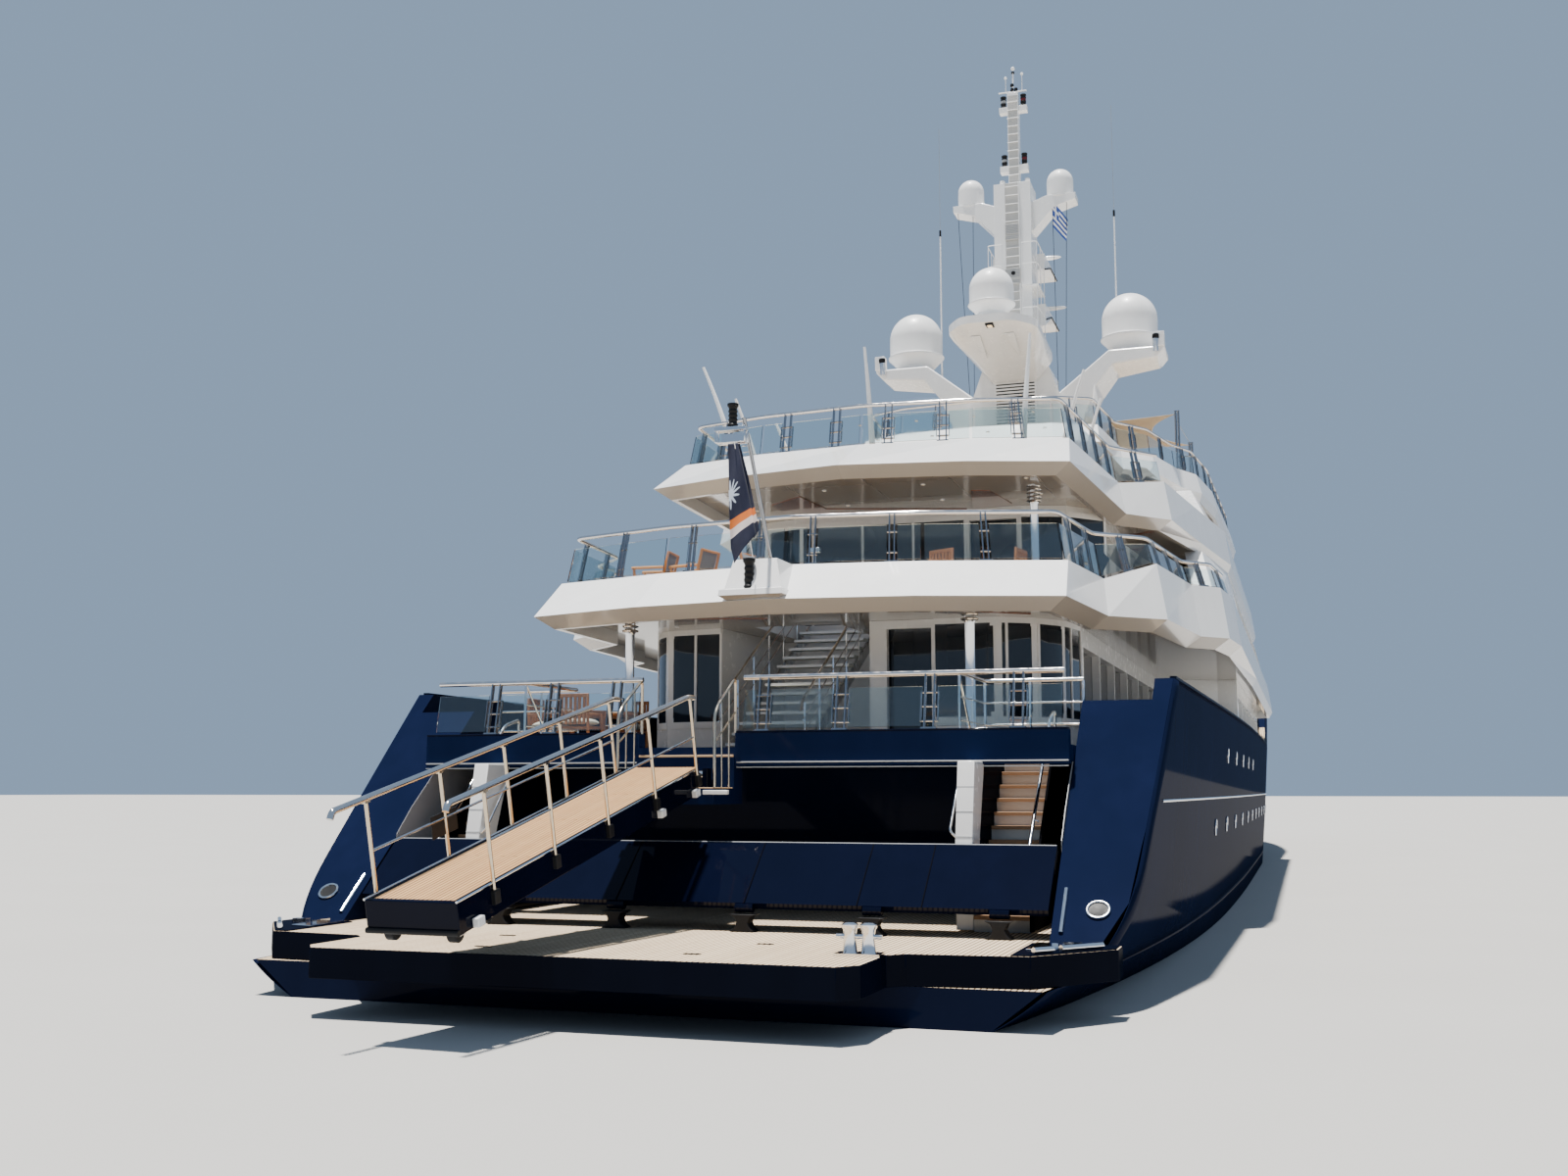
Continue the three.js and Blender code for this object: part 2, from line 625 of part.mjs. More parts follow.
// Glass just inside the walls of a house, open where its door is.
function makeGlazing(house) {
  const slab = box([-FAR * 2, FAR], [-FAR, FAR], house.glass);
  const glass = houseLoft(house, WALL + 0.6).subtract(houseLoft(house, WALL + 3.6)).intersect(slab);
  return glass.subtract(box(...house.doorway));
}

const mainHouse = cut(
  shell(MAIN_OUTLINE, MAIN_OUTLINE, MAIN_Z + GAP, 555 - GAP),
  MAIN_WINDOWS.flatMap((row) => windowHoles(row)),
);
place("main_house", mainHouse, "white");
const doorway = box([-2940, -2900], [-171, -91], [MAIN_Z, 540]);
place("main_glazing", glassRing(MAIN_OUTLINE, MAIN_OUTLINE, 380, 552).subtract(doorway), "glass");
place("saloon_door", box([-2911, -2905], [-182, -80], [MAIN_Z + GAP, 545]), "glass");

const stairHole = box([-2905, BAY_X + 5], [AFT_STAIR_Y[0] - 8, AFT_STAIR_Y[1] + 8], [500, 700]);
const POD_TOP_Z = 616;
// The ensign staff's pod on the upper deck's edge: height, aft and fore x, starboard and port y of its sections
const POD = [
  [552, -3328, -3290, -25, 63],
  [557, -3342, -3290, -35, 70],
  [566, -3340, -3290, -34, 69],
  [568, -3334, -3262, -31, 62],
  [POD_TOP_Z, -3314, -3230, -17, 54],
];
const staffPod = loft(POD.map(([z, aft, fore, right, left]) =>
  [[aft, right, z], [fore, right, z], [fore, left, z], [aft, left, z]]));
place("upper_deck", makeBand(UPPER_BAND).subtract(stairHole).add(staffPod), "white");
place("upper_house", makeHouse(UPPER_HOUSE), "white");
place("upper_glazing", makeGlazing(UPPER_HOUSE), "glass");
place("upper_door", box([-2376, -2370], [-238, -128], [UPPER_Z + GAP, 826]), "glass");
place("bridge_deck", makeBand(BRIDGE_BAND), "white");
place("bridge_house", makeHouse(BRIDGE_HOUSE), "white");
place("bridge_glazing", makeGlazing(BRIDGE_HOUSE), "glass");
place("sun_deck", makeBand(SUN_BAND), "white");

// The open stair in the bay: two strings and its treads.
function makeAftStair() {
  const [x0, x1] = AFT_STAIR_X;
  const [y0, y1] = AFT_STAIR_Y;
  const rise = (UPPER_Z - MAIN_Z) / AFT_STAIR_STEPS;
  const run = (x1 - x0) / AFT_STAIR_STEPS;
  const string = [[x0 - 12, MAIN_Z + GAP], [x0 + 30, MAIN_Z + GAP], [x1, UPPER_Z - 26], [x1, UPPER_Z]];
  const strings = [[y0, y0 + 5], [y1 - 5, y1]].map((ys) => sidePrism(string, ...ys));
  const treads = Array.from({ length: AFT_STAIR_STEPS - 1 }, (_, i) => {
    const z = MAIN_Z + (i + 1) * rise;
    return box([x0 + i * run, x0 + i * run + 34], [y0 + 1, y1 - 1], [z - 5, z]);
  });
  return join([...strings, ...treads]);
}
place("aft_stair", makeAftStair(), "steel");

// Steel columns: name, x, y, foot and head
const COLUMNS = [
  ["main_column", -3180, 290, MAIN_Z, 555],
  ["upper_column", -2600, 300, UPPER_Z, 846],
];
for (const [name, x, y, foot, head] of COLUMNS)
  for (const [side, sign] of Object.entries(SIDES)) {
    const profile = [[0, foot + GAP], [14, foot + GAP], [14, foot + 8], [7, foot + 12], [7, head - 40],
      [12, head - 36], [12, head - GAP], [0, head - GAP]];
    place(name + "_" + side, turned(profile, [x, sign * y], 10), "steel");
  }

const between = (a, b, share) => a.map((value, i) => mix(value, b[i], share));

// Posts and a top tube over a plan line; the foot's height may differ from point to point.
function makeRail(line, feet, topZ, lean, pitch) {
  const top = moved(line, lean).map(([x, y]) => [x, y, topZ]);
  const base = line.map(([x, y], i) => [x, y, feet[i] + GAP]);
  const posts = line.slice(1).flatMap((_, i) => {
    const length = Math.hypot(line[i + 1][0] - line[i][0], line[i + 1][1] - line[i][1]);
    const count = Math.max(1, Math.round(length / pitch));
    return Array.from({ length: count + (i === line.length - 2 ? 1 : 0) }, (_, k) =>
      rod(between(base[i], base[i + 1], k / count), between(top[i], top[i + 1], k / count), 2.2, 4));
  });
  return join([bentRod(top, 3, 5), ...posts]);
}

// A thin strip of glass along a rail, just outboard of its posts.
function makeRailGlass(line, feet, topZ, lean) {
  const leanedAt = (offset, heights) => {
    const high = moved(line, offset + lean);
    return moved(line, offset).map((point, i) =>
      [...between(point, high[i], (heights[i] - feet[i]) / (topZ - feet[i])), heights[i]]);
  };
  const ringAt = (heights) => [...leanedAt(4.6, heights), ...leanedAt(2.6, heights).reverse()];
  return loft([ringAt(feet.map((z) => z + 5)), ringAt(feet.map(() => topZ - 7))]);
}

// The line of a deck's rail: the band's top outline set in, from starboard round the stern to port.
function railLine(band, count, distance) {
  const outline = inset(topOutline(band), distance);
  const heights = byPoint(band, 4).map(([z]) => z);
  const starboard = [...Array(count).keys()].reverse();
  const port = [...Array(count - 1).keys()].map((i) => outline.length - 1 - i);
  const picked = [...starboard, ...port];
  return [picked.map((i) => outline[i]), picked.map((i) => heights[i])];
}

// Name, band, points to take from the stern forward, top height and lean
const DECK_RAILS = [
  ["upper_rail", UPPER_BAND, 8, 698, -14],
  ["bridge_rail", BRIDGE_BAND, 5, 992, -14],
  ["sun_rail", SUN_BAND, 9, 1262, -8],
];
const POST_PITCH = 260;
// Poles that hold the shade sail, each with a stay to the rail: x, y, top and y of the stay's end
const SAIL_POLES = [[-820, 450, 1406, 498], [-490, 467, 1378, 522]];

for (const [name, band, count, topZ, lean] of DECK_RAILS) {
  const [line, feet] = railLine(band, count, 7);
  const poles = band === SUN_BAND
    ? Object.values(SIDES).flatMap((side) => SAIL_POLES.flatMap(([x, y, z, stayY]) => [
      rod([x, side * y, SUN_Z + GAP], [x, side * y, z], 5, 8),
      rod([x, side * y, topZ], [x, side * stayY, topZ], 2.2, 4),
    ]))
    : [];
  const seat = makeBand(band).translate([0, 0, GAP]);
  const rail = join([makeRail(line, feet, topZ, lean, POST_PITCH), ...poles]);
  place(name, rail.subtract(seat), "steel");
  place(name + "_glass", makeRailGlass(line, feet, topZ, lean).subtract(seat), "clear");
}
const MAIN_RAIL_END = 478;
for (const [side, sign] of Object.entries(SIDES)) {
  const gate = sign > 0 ? GATE_Y[1] + 5 : -GATE_Y[0] + 5;
  const ends = [[COAMING_X, sign * gate], [COAMING_X, sign * MAIN_RAIL_END]];
  const line = sign > 0 ? ends : ends.reverse();
  const feet = [COAMING_Z + 0.4, COAMING_Z + 0.4];
  place("main_rail_" + side, makeRail(line, feet, RAIL_Z, -14, 72), "steel");
  place("main_rail_glass_" + side, makeRailGlass(line, feet, RAIL_Z, -14), "clear");
}

// Mast house, mast, dome platform and wings
const MAST_X = -995;
const MAST_HOUSE = { aft: -1060, fore: -860, half: 100, face: 68, top: 1515 };
const houseHalf = [
  [MAST_HOUSE.aft, 0], [MAST_HOUSE.aft, MAST_HOUSE.face], [MAST_HOUSE.aft + 25, MAST_HOUSE.half],
  [MAST_HOUSE.fore, MAST_HOUSE.half], [MAST_HOUSE.fore, 0],
];
// A fairing across the aft face widens downwards to cover the roots of the wings.
const WING_AFT_X = -1040;
const fairing = frontPrism([[-150, SUN_Z + GAP], [150, SUN_Z + GAP], [142, 1397], [100, 1514], [-100, 1514],
  [-142, 1397]], MAST_HOUSE.aft, WING_AFT_X - GAP);
place("mast_house", fairing.add(prism(wholeOutline(houseHalf), SUN_Z + GAP, MAST_HOUSE.top)), "white");

// Radar scanners: name, x, underside of the shelf that carries it, foot of the shelf's wedge, length of the bar
const SCANNERS = [
  ["radar_scanner_lower", -780, 1725, 1670, 240],
  ["radar_scanner_upper", -800, 1885, 1850, 220],
];
const SHELF = 14;
const SHELF_HALF = 80;
const PEDESTAL = 26;
const ARM_TOP_Z = 2052;
const ARM_HALF = 28;
const POLE_TOP_Z = 2410;
const LANTERN_Z = [2164, 2356];

function makeMast() {
  const ring = (x0, x1, y, z) => [[x0, -y, z], [x1, -y, z], [x1, y, z], [x0, y, z]];
  const trunk = loft([
    ring(MAST_HOUSE.aft, -900, 70, MAST_HOUSE.top + GAP),
    ring(MAST_HOUSE.aft, -935, 56, 1600),
    ring(-1055, -945, 56, 2100),
  ]);
  const pole = box([MAST_X - 16, MAST_X + 16], [-16, 16], [2090, POLE_TOP_Z]);
  const arms = frontPrism([[-188, 2040], [-120, 2018], [-50, 1960], [50, 1960], [120, 2018], [188, 2040],
    [188, ARM_TOP_Z], [-188, ARM_TOP_Z]], MAST_X - ARM_HALF, MAST_X + ARM_HALF);
  const lanterns = LANTERN_Z.flatMap((z) => [
    box([MAST_X - 13, MAST_X + 13], [-42, 42], [z, z + 8]),
    ...[-32, 32].map((y) => rod([MAST_X, y, z + 3], [MAST_X, y, z + 56], 10, 8)),
  ]);
  const yard = box([MAST_X - 4, MAST_X + 4], [-42, 42], [POLE_TOP_Z + 2, POLE_TOP_Z + 8]);
  const finial = rod([MAST_X, 0, POLE_TOP_Z - 10], [MAST_X, 0, 2490], 4, 6);
  const radars = SCANNERS.flatMap(([, x, z, foot]) => [
    sidePrism([[-960, foot], [-840, z], [x + 80, z], [x + 80, z + SHELF], [-960, z + SHELF]],
      -SHELF_HALF, SHELF_HALF),
    rod([x, 0, z + SHELF - 3], [x, 0, z + SHELF + PEDESTAL], 14, 10),
  ]);
  return join([trunk, pole, arms, ...lanterns, yard, finial, ...radars]);
}
place("mast", makeMast(), "white");

for (const [name, x, z, , length] of SCANNERS) {
  const seat = SHELF + PEDESTAL + GAP;
  const hub = rod([0, 0, seat], [0, 0, seat + 9], 9, 10);
  const bar = box([-9, 9], [-length / 2, length / 2], [seat + 6, seat + 20]);
  place(name, hub.add(bar), "white").position.set(x, 0, z);
}

// The dome platform: a hopper that leans aft out of the mast house to a rim, with a seat for the middle dome.
// Rows: height, aft x, half breadth there, x of the corner behind it, half breadth at the corner and at the root
const PLATFORM_ROWS = [
  [1470, -1063, 50, -1062, 58, 66],
  [1500, -1290, 62, -1250, 88, 88],
  [1518, -1440, 70, -1400, 118, 105],
  [1530, -1500, 72, -1420, 126, 112],
  [1552, -1500, 72, -1420, 126, 112],
];
const DOME_PLATFORM = { x: -1415, seat: 1564, r: 46 };
function makeDomePlatform() {
  const root = MAST_HOUSE.aft - GAP;
  const body = loft(PLATFORM_ROWS.map(([z, aft, end, corner, half, rootHalf]) =>
    atHeight([[aft, -end], [corner, -half], [root, -rootHalf], [root, rootHalf], [corner, half], [aft, end]], z)));
  return body.add(rod([DOME_PLATFORM.x, 0, 1540], [DOME_PLATFORM.x, 0, DOME_PLATFORM.seat], DOME_PLATFORM.r, 16));
}
place("dome_platform", makeDomePlatform(), "white");

// A wing rises from the sun deck beside the mast house and bends outwards to carry a dome. Its chord
// shortens towards its tip. Points are y and z, from the root's foot to its top.
const WING_SEAT_Z = 1553;
const WING_ROOT = [MAST_HOUSE.half + GAP, 1415];
const WING_KNEE_Y = 275;
const WING_FORE_X = -862;
const WING_TIP = [438, -905];
const wingTopZ = (y) => mix(WING_ROOT[1], WING_SEAT_Z, (y - WING_ROOT[0]) / (WING_KNEE_Y - WING_ROOT[0]));
for (const [side, sign] of Object.entries(SIDES)) {
  const profile = [[WING_ROOT[0], SUN_Z + GAP], [168, SUN_Z + GAP], [200, 1360], [235, 1445], [285, 1508],
    [415, 1520], [WING_TIP[0], 1545], [WING_TIP[0], WING_SEAT_Z], [WING_KNEE_Y, WING_SEAT_Z], WING_ROOT];
  const body = frontPrism(profile.map(([y, z]) => [sign * y, z]), WING_AFT_X, WING_FORE_X);
  const taper = prism([[WING_FORE_X, sign * 240], [FAR, sign * 240], [FAR, sign * FAR], [WING_TIP[1], sign * FAR],
    [WING_TIP[1], sign * WING_TIP[0]]], SUN_Z, 1700);
  const block = sideBox(sign, [-1052, -1020], [405, WING_TIP[0] + 2], [1550, 1592]);
  const lamp = rod([-1056, sign * 414, 1578], [-1050, sign * 412, 1538], 8, 8);
  place("dome_wing_" + side, join([body.subtract(taper), block, lamp]), "white");
}

// Domes: name, x, y, seat and radius
const DOMES = [
  ["dome_centre", DOME_PLATFORM.x, 0, DOME_PLATFORM.seat, 62],
  ["dome_large_port", -950, 330, WING_SEAT_Z, 84],
  ["dome_large_starboard", -950, -330, WING_SEAT_Z, 84],
  ["dome_small_port", MAST_X, 138, ARM_TOP_Z, 40],
  ["dome_small_starboard", MAST_X, -138, ARM_TOP_Z, 40],
];
// A dome's foot, its flared skirt and its upright side as shares of its radius: radius and height
const DOME_SIDE = [[0, 0], [0.68, 0], [0.7, 0.18], [1.05, 0.58], [1.05, 0.64], [1, 0.68], [1, 1.33]];
const DOME_ARCS = 5;
for (const [name, x, y, seat, radius] of DOMES) {
  const cap = Array.from({ length: DOME_ARCS }, (_, i) => {
    const angle = (i + 1) / DOME_ARCS * Math.PI / 2;
    return [i === DOME_ARCS - 1 ? 0 : Math.cos(angle), 1.33 + Math.sin(angle)];
  });
  const profile = [...DOME_SIDE, ...cap].map(([r, z]) => [r * radius, seat + GAP + z * radius]);
  place(name, turned(profile, [x, y], 14), "dome");
}

// Ensign under the bracket at its staff's head, courtesy flag on its halyard, and the shade sail
const STAFF_FOOT = [-3298, -6, POD_TOP_Z + GAP];
const STAFF_HEAD = [-3399, 6, 806];
const HEAD_BRACKET = [[-3408, -3392], [0, 48], [780, 806]];
const staff = join([
  rod([STAFF_FOOT[0] + 5, -6, STAFF_FOOT[2] - 9], STAFF_HEAD, 3.2, 8),
  box(...HEAD_BRACKET),
  rod([-3400, 22, 800], [-3400, 22, 847], 8, 8),
]);
place("ensign_staff", staff.subtract(box([-3400, -3200], [-60, 60], [500, STAFF_FOOT[2]])), "steel");
const ENSIGN = [[32, 780 - GAP], [14, 780 - GAP], [-18, 650], [-16, 610], [22, 597], [30, 660]];
place("ensign", frontPrism(ENSIGN, -3412, -3402), "flag");
const HALYARD = [MAST_X - ARM_HALF - 1.5, -118];
const halyard = rod([...HALYARD, wingTopZ(1.2 - HALYARD[1]) + GAP], [...HALYARD, ARM_TOP_Z - 4], 1.2, 5);
const COURTESY_FLAG = [[-118, 2043], [-126, 2041], [-166, 1935], [-161, 1903], [-118, 1985]];
const courtesyFlag = frontPrism(COURTESY_FLAG, HALYARD[0] - 1.5, HALYARD[0] + 1.2);
place("courtesy_flag", halyard.add(courtesyFlag), "flag");

function makeShadeSail() {
  const [[aftX, aftY, aftZ], [foreX, foreY, foreZ]] = SAIL_POLES;
  const slope = (foreZ - aftZ) / (foreX - aftX);
  const corner = 5.3;
  const half = [[aftX + 35, 0], [aftX + 4, 370], [aftX - 2, aftY - corner], [aftX + 8, aftY - corner],
    [-655, 360], [foreX - 8, foreY - corner], [foreX + 2, foreY - corner], [foreX - 6, 370], [foreX - 40, 0]];
  const lean = new THREE.Matrix4().set(1, 0, 0, 0, 0, 1, 0, 0, slope, 0, 1, aftZ - 14 - slope * aftX, 0, 0, 0, 1);
  return solid(extruded(wholeOutline(half), 4).applyMatrix4(lean));
}
place("shade_sail", makeShadeSail(), "canvas");

// Anchors on the bow, clear of the plating
const ANCHOR_X = 3180;
const ANCHOR_Z = 500;
function makeAnchor(sign) {
  const y = halfBreadth(ANCHOR_X, ANCHOR_Z);
  const point = (dx, out, dz) => [ANCHOR_X + dx, sign * (y + out - dx * 0.42), ANCHOR_Z + dz];
  const shank = rod(point(0, 10, 40), point(0, 14, -32), 8, 8);
  const crown = rod(point(-44, 16, -30), point(44, 16, -30), 9, 8);
  const flukes = [-36, 36].map((dx) => rod(point(dx, 15, -30), point(dx, 15, 40), 8, 6));
  const skin = hull.translate([0, sign * GAP * 2, 0]);
  return join([shank, crown, ...flukes]).subtract(skin);
}
for (const [side, sign] of Object.entries(SIDES)) place("anchor_" + side, makeAnchor(sign), "steel");

// The windlass on the foredeck: a bed with two chain drums on one shaft and two capstans
function makeWindlass() {
  const x = 2950;
  const z = FOREDECK_Z + GAP;
  const bed = box([x - 45, x + 45], [-150, 150], [z, z + 12]);
  const drums = [-90, 90].map((y) => rod([x, y - 22, z + 45], [x, y + 22, z + 45], 30, 12));
  const shaft = rod([x, -140, z + 45], [x, 140, z + 45], 8, 8);
  const bearings = [-140, -30, 30, 140].map((y) => box([x - 14, x + 14], [y - 8, y + 8], [z + 6, z + 55]));
  return join([bed, ...drums, shaft, ...bearings]);
}
place("windlass", makeWindlass(), "steel");

// Shafts in their brackets, propellers and rudders
const hullLowered = hull.translate([0, 0, -GAP - 0.1]);
const PROPELLER_FACE_X = PROPELLER_X + 20;
function makeShaft(sign) {
  const y = sign * SHAFT_Y;
  const shaft = rod([PROPELLER_FACE_X, y, SHAFT_Z], [SHAFT_ENTRY_X, y, SHAFT_Z], 12, 10);
  const barrel = rod([PROPELLER_FACE_X + 2, y, SHAFT_Z], [PROPELLER_FACE_X + 70, y, SHAFT_Z], 18, 10);
  const strut = sidePrism([[PROPELLER_FACE_X + 18, SHAFT_Z], [PROPELLER_FACE_X + 58, SHAFT_Z],
    [PROPELLER_FACE_X + 90, -60], [PROPELLER_FACE_X + 30, -60]], y - 5, y + 5);
  return join([shaft, barrel, strut]).subtract(hullLowered);
}

// Radius, chord, pitch angle and thickness along a propeller blade
const BLADE = [
  [10, 30, 62, 9],
  [45, 56, 44, 6],
  [80, 60, 32, 4],
  [PROPELLER_R, 26, 25, 2.5],
];
const BLADES = 5;
function makePropeller() {
  const blade = loft(BLADE.map(([radius, chord, pitch, thick]) => {
    const angle = THREE.MathUtils.degToRad(pitch);
    const corner = (c, t) => {
      const along = c * chord / 2;
      const across = t * thick / 2;
      return [along * Math.sin(angle) + across * Math.cos(angle),
        along * Math.cos(angle) - across * Math.sin(angle), radius];
    };
    return [corner(-1, -1), corner(1, -1), corner(1, 1), corner(-1, 1)];
  }));
  const blades = Array.from({ length: BLADES }, (_, i) => blade.rotate([i * 360 / BLADES, 0, 0]));
  const hub = rod([-24, 0, 0], [20 - GAP, 0, 0], 18, 12);
  const cone = rod([-40, 0, 0], [-20, 0, 0], 10, 10);
  return join([hub, cone, ...blades]);
}

function makeRudder() {
  const stock = rod([0, 0, RUDDER_BOSS_Z - 18], [0, 0, RUDDER_BOSS_Z - GAP], 8, 10);
  const outline = [[60, 0], [40, 9], [0, 12], [-90, 2], [-90, -2], [0, -12], [40, -9]];
  const foot = outline.map(([x, y]) => [x * 0.85, y * 0.8]);
  const blade = loft([atHeight(foot, -335), atHeight(outline, RUDDER_BOSS_Z - 7)]);
  return blade.add(stock);
}

const propeller = makePropeller();
for (const [side, sign] of Object.entries(SIDES)) {
  const handed = sign > 0 ? propeller : propeller.mirror([0, 1, 0]);
  place("shaft_" + side, makeShaft(sign), "steel");
  place("propeller_" + side, handed, "bronze").position.set(PROPELLER_X, sign * SHAFT_Y, SHAFT_Z);
  place("rudder_" + side, makeRudder(), "navy").position.set(RUDDER_X, sign * SHAFT_Y, 0);
}

// The gangway's turntable on the landing, then the gangway itself in its turned and tilted group
const CHEEK = [GANGWAY_HALF + 0.5, GANGWAY_HALF + 6];
function makeTurntable() {
  const [px, py, pz] = GANGWAY_PIVOT;
  const foot = LANDING_Z + GAP;
  const top = pz - 6.5;
  const disc = rod([SLEW_X, py, foot], [SLEW_X, py, top], 32, 20);
  const beam = box([px - 10, px + 20], [py - CHEEK[1], py + CHEEK[1]], [foot, top]);
  const cheeks = [-1, 1].map((s) => {
    const ys = s > 0 ? [py + CHEEK[0], py + CHEEK[1]] : [py - CHEEK[1], py - CHEEK[0]];
    return box([px - 10, px + 10], ys, [foot + 2, pz + 9]);
  });
  return join([disc, beam, ...cheeks]);
}
const turntable = place("gangway_turntable", makeTurntable(), "navy");

function makeGangway() {
  const tube = rod([0, -GANGWAY_HALF, 0], [0, GANGWAY_HALF, 0], 6, 10);
  const deck = box([-GANGWAY_LENGTH + 3, 0], [-GANGWAY_HALF + 4, GANGWAY_HALF - 4], [3, 12]);
  const beams = [-1, 1].map((s) => {
    const ys = s > 0 ? [GANGWAY_HALF - 6, GANGWAY_HALF] : [-GANGWAY_HALF, -GANGWAY_HALF + 6];
    return box([-GANGWAY_LENGTH, -30], ys, [13 - GANGWAY_BEAM, 13]);
  });
  const end = box([-GANGWAY_LENGTH, -GANGWAY_LENGTH + 6], [-GANGWAY_HALF, GANGWAY_HALF], [13 - GANGWAY_BEAM, 13]);
  const rails = GANGWAY_POSTS.flatMap(([s, first, pitch, end]) => {
    const y = s * (GANGWAY_HALF + 1.2);
    const posts = Array.from({ length: 5 }, (_, i) => {
      const x = first + i * pitch;
      return rod([x, y, -8], [x, y, GANGWAY_RAIL_Z], 2.1, 4);
    });
    return [...posts, rod([-13, y, GANGWAY_RAIL_Z], [end, y, GANGWAY_RAIL_Z], 3, 6),
      rod([first, y, 58], [first + 4 * pitch, y, 58], 1.5, 4)];
  });
  const rollers = [-1, 1].map((s) => rod([-590, s * 44, -26], [-590, s * 32, -26], 9, 10));
  const forks = [-1, 1].map((s) => box([-596, -584], [s * 38 - 3, s * 38 + 3], [-24, 5]));
  return join([tube, deck, ...beams, end, ...rails, ...forks, ...rollers]);
}
const gangwaySlew = new THREE.Group();
const gangwayTilt = new THREE.Group();
gangwaySlew.position.set(...GANGWAY_PIVOT);
gangwaySlew.rotation.z = GANGWAY_YAW;
gangwayTilt.rotation.y = GANGWAY_PITCH;
gangwaySlew.add(gangwayTilt);
yacht.add(gangwaySlew);
place("gangway", makeGangway(), "teak", gangwayTilt);

export default yacht;
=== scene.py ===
"""Looks of a 1:10 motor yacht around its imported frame.

Metres, +X to the bow, +Y to port, +Z up. The origin is amidships in the plane of the waterline.
"""

from __future__ import annotations

import json
import logging
import math
from dataclasses import dataclass, field
from enum import Enum
from functools import cache

import bmesh
import bpy
import numpy as np
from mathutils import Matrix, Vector

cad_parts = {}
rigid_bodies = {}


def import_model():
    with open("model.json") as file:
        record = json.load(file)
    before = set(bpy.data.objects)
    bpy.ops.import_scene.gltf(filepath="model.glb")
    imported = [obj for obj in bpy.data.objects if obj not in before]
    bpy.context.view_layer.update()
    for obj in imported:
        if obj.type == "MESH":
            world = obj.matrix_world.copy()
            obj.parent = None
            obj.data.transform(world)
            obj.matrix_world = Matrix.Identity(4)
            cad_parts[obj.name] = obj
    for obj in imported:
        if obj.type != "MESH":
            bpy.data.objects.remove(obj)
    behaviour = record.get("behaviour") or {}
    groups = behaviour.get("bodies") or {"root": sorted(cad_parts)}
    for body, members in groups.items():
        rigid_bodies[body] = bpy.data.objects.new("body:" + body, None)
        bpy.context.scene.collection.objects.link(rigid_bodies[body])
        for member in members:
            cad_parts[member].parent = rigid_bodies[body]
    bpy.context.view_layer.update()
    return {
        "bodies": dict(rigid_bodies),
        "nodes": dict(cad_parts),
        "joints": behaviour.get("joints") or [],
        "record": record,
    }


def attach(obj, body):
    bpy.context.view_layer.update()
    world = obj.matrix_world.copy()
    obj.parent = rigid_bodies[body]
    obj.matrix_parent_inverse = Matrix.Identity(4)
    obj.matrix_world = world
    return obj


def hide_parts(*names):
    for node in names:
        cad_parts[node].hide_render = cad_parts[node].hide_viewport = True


log = logging.getLogger("yacht")
Array = np.ndarray
Floats = tuple[float, ...]
Socket = bpy.types.NodeSocket
PORT, STARBOARD = 1, -1
SIDES = {"port": PORT, "starboard": STARBOARD}
ROOT = "yacht"


class Slot(Enum):
    """The record's material slots."""

    NAVY = "navy"
    WHITE = "white"
    TEAK = "teak"
    STEEL = "steel"
    GLASS = "glass"
    CLEAR = "clear"
    DOME = "dome"
    CANVAS = "canvas"
    BRONZE = "bronze"
    FLAG = "flag"
    BLACK = "black"


